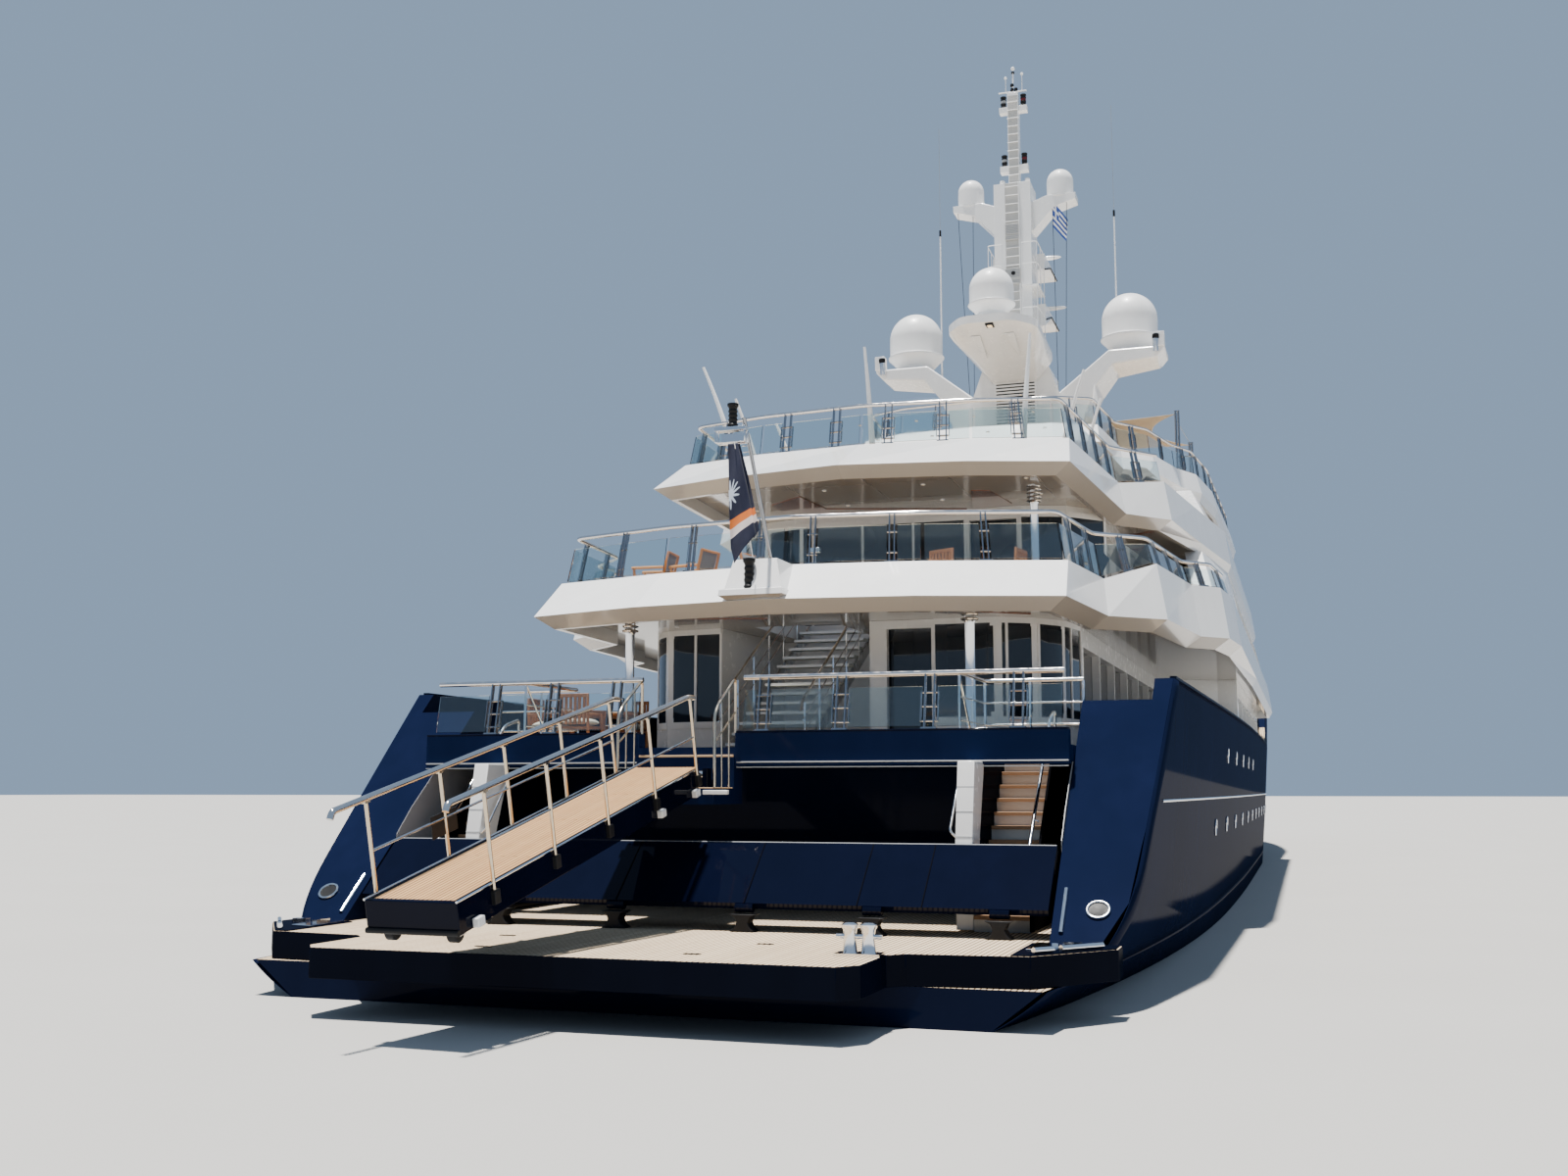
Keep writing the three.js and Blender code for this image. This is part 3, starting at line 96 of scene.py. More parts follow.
class Recipe:
    """A node material in the making, with its shader and the object's own coordinates."""

    def __init__(self, name: str, **values: object) -> None:
        """Starts a Principled material.

        Args:
            name: The material's name.
            values: Shader inputs by name, with underscores for spaces.
        """
        self.material = bpy.data.materials.new(name)
        self.material.use_nodes = True
        self.tree = self.material.node_tree
        self.shader = self.tree.nodes["Principled BSDF"]
        for key, value in values.items():
            socket = self.shader.inputs[key.replace("_", " ")]
            socket.default_value = (*value, 1.0) if isinstance(value, tuple) and len(value) == 3 else value
        place = self.node("ShaderNodeTexCoord")
        self.place = place.outputs["Object"]
        self.uv = place.outputs["UV"]

    def node(self, kind: str, links: dict | None = None, **settings: object) -> bpy.types.Node:
        """Adds a node.

        Args:
            kind: Its type's name.
            links: What goes into its inputs, by index or name: sockets are linked, numbers are set.
            settings: Its properties.

        Returns:
            The node.
        """
        made = self.tree.nodes.new(kind)
        for key, value in settings.items():
            setattr(made, key, value)
        for key, value in (links or {}).items():
            if isinstance(value, Socket):
                self.tree.links.new(value, made.inputs[key])
            else:
                made.inputs[key].default_value = value
        return made

    def maths(self, operation: str, *values: object) -> Socket:
        """One step of arithmetic on sockets and numbers."""
        return self.node("ShaderNodeMath", dict(enumerate(values)), operation=operation).outputs[0]

    def times(self, a: object, b: object) -> Socket:
        """The product of two sockets or numbers."""
        return self.maths("MULTIPLY", a, b)

    def minus(self, a: object, b: object) -> Socket:
        """The first socket or number less the second."""
        return self.maths("SUBTRACT", a, b)

    def above(self, a: object, b: object) -> Socket:
        """1 where the first is greater than the second, and else 0."""
        return self.maths("GREATER_THAN", a, b)

    def axes(self) -> list[Socket]:
        """The object's x, y and z."""
        return self.split(self.place)

    def normal_z(self) -> Socket:
        """The upward part of the surface's own normal."""
        geometry = self.node("ShaderNodeNewGeometry")
        return self.split(geometry.outputs["True Normal"])[2]

    def noise(self, scale: float, stretch: Floats = (1, 1, 1), detail: float = 3.0) -> Socket:
        """Noise from 0 to 1 whose grain is `scale` to the metre, stretched along the axes."""
        mapping = self.node("ShaderNodeMapping", {0: self.place, "Scale": stretch})
        links = {"Vector": mapping.outputs[0], "Scale": scale, "Detail": detail}
        return self.node("ShaderNodeTexNoise", links).outputs[0]

    def spread(self, source: object, low: float, high: float, start: float = 0.3, end: float = 0.7) -> object:
        """A value between start and end spread over low and high."""
        return self.node("ShaderNodeMapRange", {0: source, 1: start, 2: end, 3: low, 4: high}).outputs[0]

    def blend(self, share: object, low: object, high: object) -> Socket:
        """A mix of two colours by a share."""
        ends = [(*c, 1.0) if isinstance(c, tuple) else c for c in (low, high)]
        made = self.node("ShaderNodeMix", {0: share, 6: ends[0], 7: ends[1]}, data_type="RGBA")
        return made.outputs[2]

    def base(self) -> Socket:
        """What feeds the base colour so far."""
        return self.shader.inputs["Base Color"].links[0].from_socket

    def tone(self, number: Socket) -> Socket:
        """A random value from 0 to 1 for each number."""
        return self.node("ShaderNodeTexWhiteNoise", {1: number}, noise_dimensions="1D").outputs[0]

    def split(self, source: Socket) -> list[Socket]:
        """The three parts of a vector."""
        return list(self.node("ShaderNodeSeparateXYZ", {0: source}).outputs)

    def feed(self, socket: str, source: object) -> None:
        """Links a source to one of the shader's inputs."""
        self.tree.links.new(source, self.shader.inputs[socket])

    def colour(self, source: object) -> None:
        """Feeds the base colour."""
        self.feed("Base Color", source)

    def rough(self, source: object) -> None:
        """Feeds the roughness."""
        self.feed("Roughness", source)

    def bump(self, height: object, strength: float, distance: float) -> None:
        """Raises the surface by a height pattern, `distance` metres deep at full strength."""
        links = {"Height": height, "Strength": strength, "Distance": distance}
        self.feed("Normal", self.node("ShaderNodeBump", links).outputs[0])


@dataclass(frozen=True)
class Paint:
    """Sprayed paint or gelcoat with a fine ripple, faint runs of dirt and a clear coat."""

    name: str
    colour: Floats
    shade: Floats
    slot: Slot
    roughness: float = 0.22
    coat: float = 0.5
    ripple: float = 0.12
    level: float = 0.5

    def recipe(self) -> Recipe:
        """The paint's recipe, before a use of its own adds to it."""
        made = Recipe(self.name, Specular_IOR_Level=self.level, Coat_Weight=self.coat, Coat_Roughness=0.05)
        cloud = made.noise(6.0, detail=5.0)
        runs = made.noise(30.0, (1, 1, 0.12))
        share = made.times(made.spread(cloud, 0, 1), made.spread(runs, 0.3, 1))
        made.colour(made.blend(share, self.colour, self.shade))
        made.rough(made.spread(made.noise(60.0), self.roughness * 0.8, self.roughness * 1.35))
        made.bump(made.noise(14.0), self.ripple, 0.001)
        return made

    def material(self) -> bpy.types.Material:
        """The finished material."""
        return self.recipe().material


@dataclass(frozen=True)
class Teak:
    """Laid teak: planks with dark caulked seams, grain along each plank and boards of varied tone."""

    name: str
    across: int = 1
    pitch: float = 0.0066
    seam: float = 0.11
    light: Floats = (0.62, 0.42, 0.24)
    dark: Floats = (0.42, 0.26, 0.13)
    slot: Slot = Slot.TEAK
    caulk: Floats = (0.035, 0.03, 0.027)

    def colours(self, made: Recipe) -> tuple[object, object]:
        """The planks' colour and how far each point is from being caulk.

        Args:
            made: The recipe that takes them.

        Returns:
            A colour socket and a share that is 0 in a seam.
        """
        rows = made.maths("DIVIDE", made.axes()[self.across], self.pitch)
        plank = made.maths("FLOOR", rows)
        inside = made.above(made.maths("FRACT", rows), self.seam)
        tone = made.tone(plank)
        stretch = (2.5, 60.0, 60.0) if self.across == 1 else (60.0, 2.5, 60.0)
        grain = made.noise(9.0, stretch, 6.0)
        worn = made.spread(made.noise(5.0, detail=4.0), 0.0, 0.5)
        share = made.maths("ADD", made.times(tone, 0.45), made.times(grain, 0.6))
        wood = made.blend(made.minus(share, worn), self.light, self.dark)
        return made.blend(inside, self.caulk, wood), inside

    def material(self) -> bpy.types.Material:
        """The finished material."""
        made = Recipe(self.name, Roughness=0.6)
        wood, inside = self.colours(made)
        made.colour(wood)
        made.rough(made.spread(made.noise(40.0), 0.5, 0.75))
        made.bump(inside, 0.6, 0.0006)
        return made.material


@dataclass(frozen=True)
class Planks(Teak):
    """Loose planks: each has the tone of its own number, which is in its UV map."""

    def material(self) -> bpy.types.Material:
        """The finished material."""
        made = Recipe(self.name)
        number = made.split(made.uv)[1]
        tone = made.tone(number)
        grain = made.noise(9.0, (2.5, 60.0, 60.0), 6.0)
        share = made.maths("ADD", made.times(tone, 0.5), made.times(grain, 0.5))
        made.colour(made.blend(share, self.light, self.dark))
        made.rough(made.spread(made.noise(40.0), 0.5, 0.75))
        made.bump(grain, 0.3, 0.0003)
        return made.material


@dataclass(frozen=True)
class DeckPaint:
    """A deck in one node: teak where it is walked on, painted edges, and painted warm shade on its undersides with
    panel seams, or none.
    """

    name: str
    paint: Paint
    teak: Teak
    # colour of the painted shade on downward faces and chamfers, or None for none
    soffit: Floats | None = None
    panel: float = 0.16

    @property
    def slot(self) -> Slot:
        """The slot of its paint."""
        return self.paint.slot

    def material(self) -> bpy.types.Material:
        """The finished material."""
        made = self.paint.recipe()
        base = made.base()
        up = made.normal_z()
        walked = made.above(up, 0.97)
        wood, height = self.teak.colours(made)
        height = made.times(height, walked)
        # painted shade: a face takes more of the warm shade colour the further it turns downwards, all of it where it
        # faces straight down; the dark panel seams there are real joints
        if self.soffit:
            down = made.times(up, -1.0)
            base = made.blend(made.spread(down, 0, 1, 0.2, 0.92), base, self.soffit)
            x, y, _ = made.axes()
            seams = [made.above(made.maths("FRACT", made.maths("DIVIDE", axis, self.panel)), 0.985) for axis in (x, y)]
            seam = made.times(made.maths("MAXIMUM", *seams), made.above(down, 0.97))
            base = made.blend(made.times(seam, 0.45), base, (0.2, 0.17, 0.14))
            height = made.minus(height, made.times(seam, 0.4))
        made.colour(made.blend(walked, base, wood))
        made.rough(made.spread(walked, self.paint.roughness, 0.65, 0, 1))
        made.bump(height, 0.5, 0.0006)
        return made.material


@dataclass(frozen=True)
class Metal:
    """Polished or cast metal with fine rubbing marks."""

    name: str
    colour: Floats
    roughness: float
    slot: Slot = Slot.STEEL
    cast: float = 0.03

    def material(self) -> bpy.types.Material:
        """The finished material."""
        made = Recipe(self.name, Base_Color=self.colour, Metallic=1.0, Roughness=self.roughness)
        marks = made.noise(120.0, (1, 1, 0.15), 5.0)
        made.rough(made.spread(marks, self.roughness * 0.6, self.roughness * 1.7))
        made.bump(made.noise(300.0), self.cast, 0.0004)
        return made.material


@dataclass(frozen=True)
class Pane:
    """Glass: clear and tinted for the rails, dark and mirror-like for the windows."""

    name: str
    colour: Floats
    slot: Slot
    clear: float = 0.0

    def material(self) -> bpy.types.Material:
        """The finished material."""
        made = Recipe(self.name, Base_Color=self.colour, IOR=1.5, Coat_Weight=0.3, Transmission_Weight=self.clear)
        made.rough(made.spread(made.noise(25.0), 0.015, 0.06))
        if not self.clear:
            depth = made.spread(made.noise(5.0, (1, 1, 0.35), 2.0), 0, 1)
            made.colour(made.blend(depth, self.colour, tuple(c * 2.6 for c in self.colour)))
        made.bump(made.noise(4.0), 0.08, 0.001)
        return made.material


@dataclass(frozen=True)
class Cloth:
    """Woven cloth with its threads on the piece's UV map, painted shade of soft creases and a sheen."""

    name: str
    colour: Floats
    shade: Floats
    slot: Slot = Slot.CANVAS
    threads: float = 260.0

    def woven(self) -> Recipe:
        """The cloth's recipe, before a use of its own adds to it."""
        made = Recipe(self.name, Roughness=0.85, Sheen_Weight=0.08)
        waves = [
            made.node("ShaderNodeTexWave", {"Vector": made.uv, "Scale": self.threads, "Distortion": 0.6},
            bands_direction=way).outputs[0] for way in ("X", "Y")]
        weave = made.times(*waves)
        # painted shade: cloudy noise darkens the colour towards `shade` as in soft creases
        made.colour(made.blend(made.noise(18.0, detail=5.0), self.colour, self.shade))
        made.bump(weave, 0.35, 0.0004)
        return made

    def material(self) -> bpy.types.Material:
        """The finished material."""
        return self.woven().material


@dataclass(frozen=True)
class EnsignCloth(Cloth):
    """Navy bunting with an orange and a white slanting stripe and a pale spiky sunburst near the hoist."""

    def material(self) -> bpy.types.Material:
        """The finished material."""
        made = self.woven()
        u, v, _ = made.split(made.uv)
        down = made.minus(1.0, v)
        slant = made.minus(down, made.times(u, 0.1))
        orange, pale = (
            made.times(made.above(slant, low), made.maths("LESS_THAN", slant, high))
            for low, high in ((0.644, 0.722), (0.722, 0.8)))
        du = made.maths("DIVIDE", made.minus(u, 0.06), 0.42)
        dv = made.maths("DIVIDE", made.minus(down, 0.44), 0.129)
        angle = made.maths("ARCTAN2", dv, du)
        wave = made.maths("ABSOLUTE", made.maths("COSINE", made.times(angle, 6.0)))
        rays = made.maths("MULTIPLY_ADD", made.maths("POWER", wave, 3.0), 0.62, 0.36)
        reach = made.maths("SQRT", made.maths("ADD", made.times(du, du), made.times(dv, dv)))
        base = made.base()
        base = made.blend(orange, base, (0.82, 0.2, 0.03))
        base = made.blend(pale, base, (0.84, 0.72, 0.68))
        made.colour(made.blend(made.maths("LESS_THAN", reach, rays), base, (0.66, 0.74, 0.86)))
        return made.material


@dataclass(frozen=True)
class StripedCloth(Cloth):
    """Bunting with level blue and white stripes, and a white cross on blue in its upper hoist corner."""

    stripes: float = 9.0
    canton: float = 0.44

    def material(self) -> bpy.types.Material:
        """The finished material."""
        made = self.woven()
        u, v, _ = made.split(made.uv)
        white = made.above(made.maths("FRACT", made.times(v, self.stripes / 2)), 0.5)
        corner = made.times(made.maths("LESS_THAN", u, self.canton), made.above(v, 0.444))
        bars = [
            made.maths("LESS_THAN", made.maths("ABSOLUTE", made.minus(axis, middle)), half)
            for axis, middle, half in ((u, self.canton / 2, 0.045), (v, 0.722, 0.056))]
        cross = made.maths("MAXIMUM", *bars)
        white = made.maths("ADD", made.times(corner, cross), made.times(made.minus(1.0, corner), white))
        base = made.base()
        made.colour(made.blend(white, base, (0.85, 0.85, 0.84)))
        return made.material


@dataclass(frozen=True)
class Varnish:
    """Varnished mahogany with its figure along the grain."""

    name: str
    slot: Slot = Slot.TEAK

    def material(self) -> bpy.types.Material:
        """The finished material."""
        made = Recipe(self.name, Roughness=0.2, Coat_Weight=0.8, Coat_Roughness=0.06)
        figure = made.noise(12.0, (3, 26, 26), 6.0)
        made.colour(made.blend(figure, (0.09, 0.022, 0.01), (0.26, 0.075, 0.03)))
        made.bump(figure, 0.1, 0.0003)
        return made.material


@dataclass(frozen=True)
class Lamp:
    """A lens that glows a little."""

    name: str
    colour: Floats
    glow: float
    slot: Slot = Slot.CLEAR

    def material(self) -> bpy.types.Material:
        """The finished material."""
        glow = {"Emission_Color": self.colour, "Emission_Strength": self.glow}
        made = Recipe(self.name, Base_Color=self.colour, Roughness=0.15, **glow)
        made.bump(made.noise(400.0), 0.2, 0.0003)
        return made.material


NAVY = Paint("navy_gloss", (0.0016, 0.0026, 0.0095), (0.0022, 0.0036, 0.013), Slot.NAVY, 0.16, 0.2, 0.05, level=0.0)
COAMING_NAVY = Paint(
    "coaming_navy", (0.005, 0.011, 0.04), (0.007, 0.014, 0.05), Slot.NAVY, 0.16, 0.12, 0.05, level=0.0)
DARK_NAVY = Paint("dark_navy", (0.0015, 0.0025, 0.007), (0.0025, 0.004, 0.011), Slot.NAVY, 0.3, 0.05, 0.04, level=0.0)
# grey standing for white paint in deep shade: painted shade on the stairs' outer walls
PAINTED_SHADE_WHITE = Paint("white_in_painted_shade", (0.3, 0.3, 0.31), (0.25, 0.25, 0.26), Slot.WHITE, 0.35, 0.1)
# black for the panel's seams, which are real joints, and for the stairs' cheeks, which are painted shade
SEAM_AND_SHADE = Paint("seam_and_shade_black", (0.003, 0.003, 0.004), (0.006, 0.006, 0.007), Slot.BLACK, 0.6, 0.0, level=0.0)
WHITE = Paint("white_gloss", (0.86, 0.86, 0.85), (0.79, 0.785, 0.77), Slot.WHITE)
STONE = Paint("stone_grey", (0.5, 0.49, 0.46), (0.42, 0.41, 0.39), Slot.WHITE, 0.35, 0.3)
HULL_NAVY = Paint("hull_navy", (0.0035, 0.0065, 0.022), (0.005, 0.009, 0.03), Slot.NAVY, 0.14, 0.06, 0.04, level=0.0)
GREY = Paint("grey_gloss", (0.3, 0.31, 0.32), (0.24, 0.25, 0.26), Slot.WHITE, 0.3, 0.4)
BLACK = Paint("black_fitting", (0.012, 0.012, 0.013), (0.02, 0.02, 0.021), Slot.BLACK, 0.4, 0.04, level=0.1)
GELCOAT = Paint("dome_gelcoat", (0.84, 0.84, 0.835), (0.76, 0.765, 0.76), Slot.DOME, 0.38, 0.25, 0.08)
TEAK = Teak("teak_deck", seam=0.27, light=(0.64, 0.51, 0.36), dark=(0.47, 0.36, 0.24), caulk=(0.1, 0.065, 0.04))
PLANKS = Planks("teak_planks", light=(0.54, 0.31, 0.13), dark=(0.38, 0.2, 0.075))
STEP_WOOD = Planks("step_wood", light=(0.42, 0.24, 0.12), dark=(0.26, 0.14, 0.07))
TREAD_TEAK = Teak("teak_tread", across=0, pitch=0.009, seam=0.08)
TREAD_PALE = Planks("pale_tread", light=(0.74, 0.76, 0.7), dark=(0.62, 0.64, 0.58))
# its last colour is the painted shade of the undersides and chamfers
WHITE_DECK = DeckPaint("white_deck", WHITE, TEAK, (0.31, 0.268, 0.222))
NAVY_DECK = DeckPaint("navy_deck", COAMING_NAVY, TEAK)
PLATFORM_DECK = DeckPaint("platform_deck", DARK_NAVY, TEAK)
HULL_DECK = DeckPaint("hull_deck", HULL_NAVY, TEAK)
STEEL = Metal("polished_steel", (0.78, 0.79, 0.81), 0.1)
RAIL = Metal("rail_steel", (0.7, 0.67, 0.65), 0.12)
BLADE = Metal("blade_steel", (0.3, 0.31, 0.33), 0.16)
CHAMPAGNE = Metal("champagne_steel", (0.66, 0.55, 0.41), 0.16)
SATIN = Metal("satin_steel", (0.62, 0.63, 0.65), 0.28)
BRONZE = Metal("propeller_bronze", (0.6, 0.4, 0.16), 0.3, Slot.BRONZE, 0.2)
DARK_GLASS = Pane("window_glass", (0.008, 0.011, 0.016), Slot.GLASS)
CLEAR_GLASS = Pane("rail_glass", (0.8, 0.92, 0.93), Slot.CLEAR, 1.0)
MAHOGANY = Varnish("mahogany")
CHAIR_WOOD = Planks("chair_wood", light=(0.42, 0.17, 0.06), dark=(0.25, 0.09, 0.03))
ORANGE_WOOD = Planks("orange_wood", light=(0.72, 0.3, 0.07), dark=(0.5, 0.17, 0.04))
SAIL = Cloth("sail_canvas", (0.6, 0.47, 0.31), (0.5, 0.38, 0.25))
CUSHION = Cloth("cushion_cloth", (0.62, 0.58, 0.5), (0.54, 0.5, 0.43), threads=160.0)
SLING = Cloth("sling_cloth", (0.2, 0.17, 0.18), (0.14, 0.12, 0.13), threads=160.0)
ENSIGN = EnsignCloth("ensign_bunting", (0.006, 0.009, 0.032), (0.01, 0.014, 0.046), Slot.FLAG)
COURTESY = StripedCloth("courtesy_bunting", (0.02, 0.06, 0.3), (0.03, 0.09, 0.38), Slot.FLAG)
WARM_LENS = Lamp("warm_lens", (1.0, 0.72, 0.4), 1.2)
RED_LENS = Lamp("red_lens", (0.1, 0.008, 0.01), 0.01)

# Heights of the decks, tolerances and axes, then the numbers of the floor, the light and the camera.
MAIN_FLOOR, UPPER_FLOOR, FOREDECK_TOP = 0.3205, 0.5885, 0.5903
TINY, MERGE = 1e-12, 1e-6
X, Y, Z = range(3)
FLOOR_SIZE = 60.0
SKY_COLOUR, SKY_STRENGTH = (0.5, 0.7, 1.0, 1.0), 0.55
SUN_ENERGY, SUN_SPREAD, SUN_COLOUR, SUN_PLACE = 11.0, 2, (1.0, 0.97, 0.92), (-0.06, 0.08, 0.99)
LENS, SENSOR, FAR_CLIP = 35.3, 36.0, 200.0
CAMERA_PLACE, CAMERA_YAW, CAMERA_PITCH = (-5.54, -0.781, 0.26), 18.67, 7.475


@cache
def material_of(finish: object) -> bpy.types.Material:
    """The one material of a finish."""
    return finish.material()


@dataclass
class Surface:
    """Points and faces worked out before they become an object."""

    points: Array
    faces: list[list[int]]
    uv: Array | None = None

    def placed(self, turn: Array, move: Array) -> Surface:
        """The surface turned by a matrix, then moved."""
        return Surface(self.points @ np.asarray(turn).T + np.asarray(move), self.faces, self.uv)

    def mirrored(self) -> Surface:
        """The surface on the other side of the centreline."""
        return Surface(self.points * (1, -1, 1), [face[::-1] for face in self.faces], self.uv)


def gather(*parts: Surface) -> Surface:
    """Several surfaces as one, with the faces of each counted on from the last and its UV kept."""
    starts = np.cumsum([0, *(len(p.points) for p in parts)])
    faces = [[start + i for i in face] for start, part in zip(starts, parts) for face in part.faces]
    uvs = [np.zeros((len(p.points), 2)) if p.uv is None else p.uv for p in parts]
    return Surface(np.concatenate([p.points for p in parts]), faces, np.concatenate(uvs))


def both(part: Surface) -> Surface:
    """A surface and its mirror image across the centreline."""
    return gather(part, part.mirrored())


def numbered(points: Array, faces: list[list[int]]) -> Surface:
    """Like parts as one surface whose UV map holds each part's number; the points are parts by corners by 3."""
    number = np.repeat(np.arange(len(points)) + 0.5, points.shape[1])
    return Surface(points.reshape(-1, 3), faces, np.stack([0 * number, number], -1))


def grid(points: Array, wrap: bool = False, caps: bool = False, loop: bool = False) -> Surface:
    """Quads between neighbours on a grid of points.

    Args:
        points: Rows by columns by 3.
        wrap: Joins the last column to the first.
        caps: Closes the first and last rows with one face each.
        loop: Joins the last row to the first.

    Returns:
        The surface, with its rows and columns as UV.
    """
    rows, columns = points.shape[:2]
    r, c = np.meshgrid(np.arange(rows - (not loop)), np.arange(columns - (not wrap)), indexing="ij")
    n, m = (r + 1) % rows, (c + 1) % columns
    corners = [r * columns + c, r * columns + m, n * columns + m, n * columns + c]
    faces = np.stack(corners, -1).reshape(-1, 4).tolist()
    if caps:
        faces += [list(range(columns))[::-1], list(range((rows - 1) * columns, rows * columns))]
    v, u = np.meshgrid(np.linspace(0, 1, rows), np.linspace(0, 1, columns), indexing="ij")
    return Surface(points.reshape(-1, 3), faces, np.stack([u, v], -1).reshape(-1, 2))


def xyz(x: object, y: object, z: object) -> Array:
    """Points from three coordinates, each an array or one number for all."""
    return np.stack(np.broadcast_arrays(x, y, z), -1)


def raised(line: Array, z: object) -> Array:
    """A plan line's points at one height, or each at its own."""
    line = np.asarray(line, float)
    return xyz(line[:, 0], line[:, 1], z)


def angles(count: int) -> Array:
    """Angles spread evenly over a full turn."""
    return np.linspace(0, 2 * np.pi, count, endpoint=False)


def turn_by(degrees: float, axis: int = Z) -> Array:
    """The matrix of a turn about an axis."""
    c, s = math.cos(math.radians(degrees)), math.sin(math.radians(degrees))
    i, j = (axis + 1) % 3, (axis + 2) % 3
    turn = np.eye(3)
    turn[i, i], turn[i, j], turn[j, i], turn[j, j] = c, -s, s, c
    return turn


def unit(vectors: Array) -> Array:
    """Vectors of length 1 in the same directions."""
    return vectors / np.maximum(np.linalg.norm(vectors, axis=-1, keepdims=True), TINY)


def rounded(path: Array, radius: float, steps: int = 5) -> Array:
    """A path whose corners are parabolas: each runs from `radius` before the corner to `radius` after it."""
    path = np.asarray(path, float)
    legs = np.diff(path, axis=0)
    lengths = np.linalg.norm(legs, axis=1, keepdims=True)
    reach = np.minimum(radius, 0.45 * np.minimum(lengths[:-1], lengths[1:]))
    before = path[1:-1] - legs[:-1] / lengths[:-1] * reach
    after = path[1:-1] + legs[1:] / lengths[1:] * reach
    t = np.linspace(0, 1, steps)[None, :, None]
    bends = (1 - t) ** 2 * before[:, None] + 2 * t * (1 - t) * path[1:-1, None] + t**2 * after[:, None]
    return np.concatenate([path[:1], bends.reshape(-1, path.shape[1]), path[-1:]])


def frames(path: Array) -> tuple[Array, Array]:
    """Two directions square to a path at each of its points, from the axis that it follows least."""
    along = unit(np.gradient(path, axis=0))
    fixed = np.eye(3)[np.argmin(np.abs(along).max(axis=0))]
    side = unit(np.cross(along, fixed))
    return side, np.cross(side, along)


def tube(path: Array, radius: float | Array, sides: int = 10) -> Surface:
    """A round bar along a path: each point plus radius times (cos a side + sin a up)."""
    path = np.asarray(path, float)
    side, up = frames(path)
    angle = angles(sides)[None, :, None]
    reach = np.broadcast_to(np.asarray(radius, float), len(path))[:, None, None]
    ring = np.cos(angle) * side[:, None] + np.sin(angle) * up[:, None]
    return grid(path[:, None] + reach * ring, wrap=True, caps=True)


def sweep(profile: Array, path: Array) -> Surface:
    """A closed profile of sideways and upward distances carried level along a path, mitred at its corners."""
    path = np.asarray(path, float)
    legs = unit(np.diff(path, axis=0) * (1, 1, 0))
    before, after = np.vstack([legs[:1], legs]), np.vstack([legs, legs[-1:]])
    normals = [xyz(-leg[:, 1], leg[:, 0], 0 * leg[:, 0]) for leg in (before, after)]
    side = (normals[0] + normals[1]) / (1 + (normals[0] * normals[1]).sum(-1, keepdims=True))
    profile = np.asarray(profile, float)
    offsets = profile[None, :, :1] * side[:, None] + profile[None, :, 1:] * np.array([0, 0, 1.0])
    return grid(path[:, None] + offsets, wrap=True, caps=True)


def rods(starts: Array, ends: Array, radius: float, sides: int = 8) -> Surface:
    """Straight round bars between pairs of points: each end's centre plus a circle square to the bar."""
    starts, ends = np.atleast_2d(starts).astype(float), np.atleast_2d(ends).astype(float)
    along = unit(ends - starts)
    fixed = np.eye(3)[np.argmin(np.abs(along), axis=1)]
    side = unit(np.cross(along, fixed))
    up = np.cross(side, along)
    angle = angles(sides)[None, :, None]
    ring = radius * (np.cos(angle) * side[:, None] + np.sin(angle) * up[:, None])
    points = np.concatenate([starts[:, None] + ring, ends[:, None] + ring], 1)
    i = np.arange(sides)
    wall = np.stack([i, (i + 1) % sides, (i + 1) % sides + sides, i + sides], -1)
    shift = np.arange(len(starts))[:, None, None] * 2 * sides
    faces = (wall[None] + shift).reshape(-1, 4).tolist()
    ends_of = np.stack([i[::-1], i + sides])[None] + shift
    return numbered(points, faces + ends_of.reshape(-1, sides).tolist())


BOX_FACES = np.array([[3, 2, 1, 0], [4, 5, 6, 7], [0, 1, 5, 4], [1, 2, 6, 5], [2, 3, 7, 6], [3, 0, 4, 7]])


def boxes(foot: Array, head: Array) -> Surface:
    """Six-faced solids between the four corners of each one's foot and of its head."""
    faces = BOX_FACES[None] + 8 * np.arange(len(foot))[:, None, None]
    return numbered(np.concatenate([foot, head], 1), faces.reshape(-1, 4).tolist())


def plates(corners: Array, thickness: float) -> Surface:
    """Flat plates from the four corners of each, thickened half to each side along its own normal."""
    corners = np.asarray(corners, float).reshape(-1, 4, 3)
    normal = unit(np.cross(corners[:, 2] - corners[:, 0], corners[:, 3] - corners[:, 1]))
    shift = normal[:, None] * thickness / 2
    return boxes(corners - shift, corners + shift)


def blocks(centres: Array, sizes: Array) -> Surface:
    """Upright blocks from their centres and sizes."""
    centres, sizes = np.atleast_2d(centres).astype(float), np.broadcast_to(sizes, np.atleast_2d(centres).shape)
    square = np.array([[-1, -1, 0], [1, -1, 0], [1, 1, 0], [-1, 1, 0]]) / 2
    level = centres[:, None] + square[None] * sizes[:, None]
    up = sizes[:, None] * (0, 0, 0.5)
    return boxes(level - up, level + up)


def turned(profile: Array, centre: Array, segments: int = 48, axis: int = Z) -> Surface:
    """A profile of radius and height turned about a line through a centre, along one of the axes."""
    profile = np.asarray(profile, float)
    angle = angles(segments)
    a, b = np.cos(angle) * profile[:, :1], np.sin(angle) * profile[:, :1]
    height = np.broadcast_to(profile[:, 1:], a.shape)
    points = xyz(a, b, height)
    order = {Z: (0, 1, 2), X: (2, 0, 1), Y: (1, 2, 0)}[axis]
    return grid(points[..., list(order)] + np.asarray(centre, float), wrap=True, caps=True)


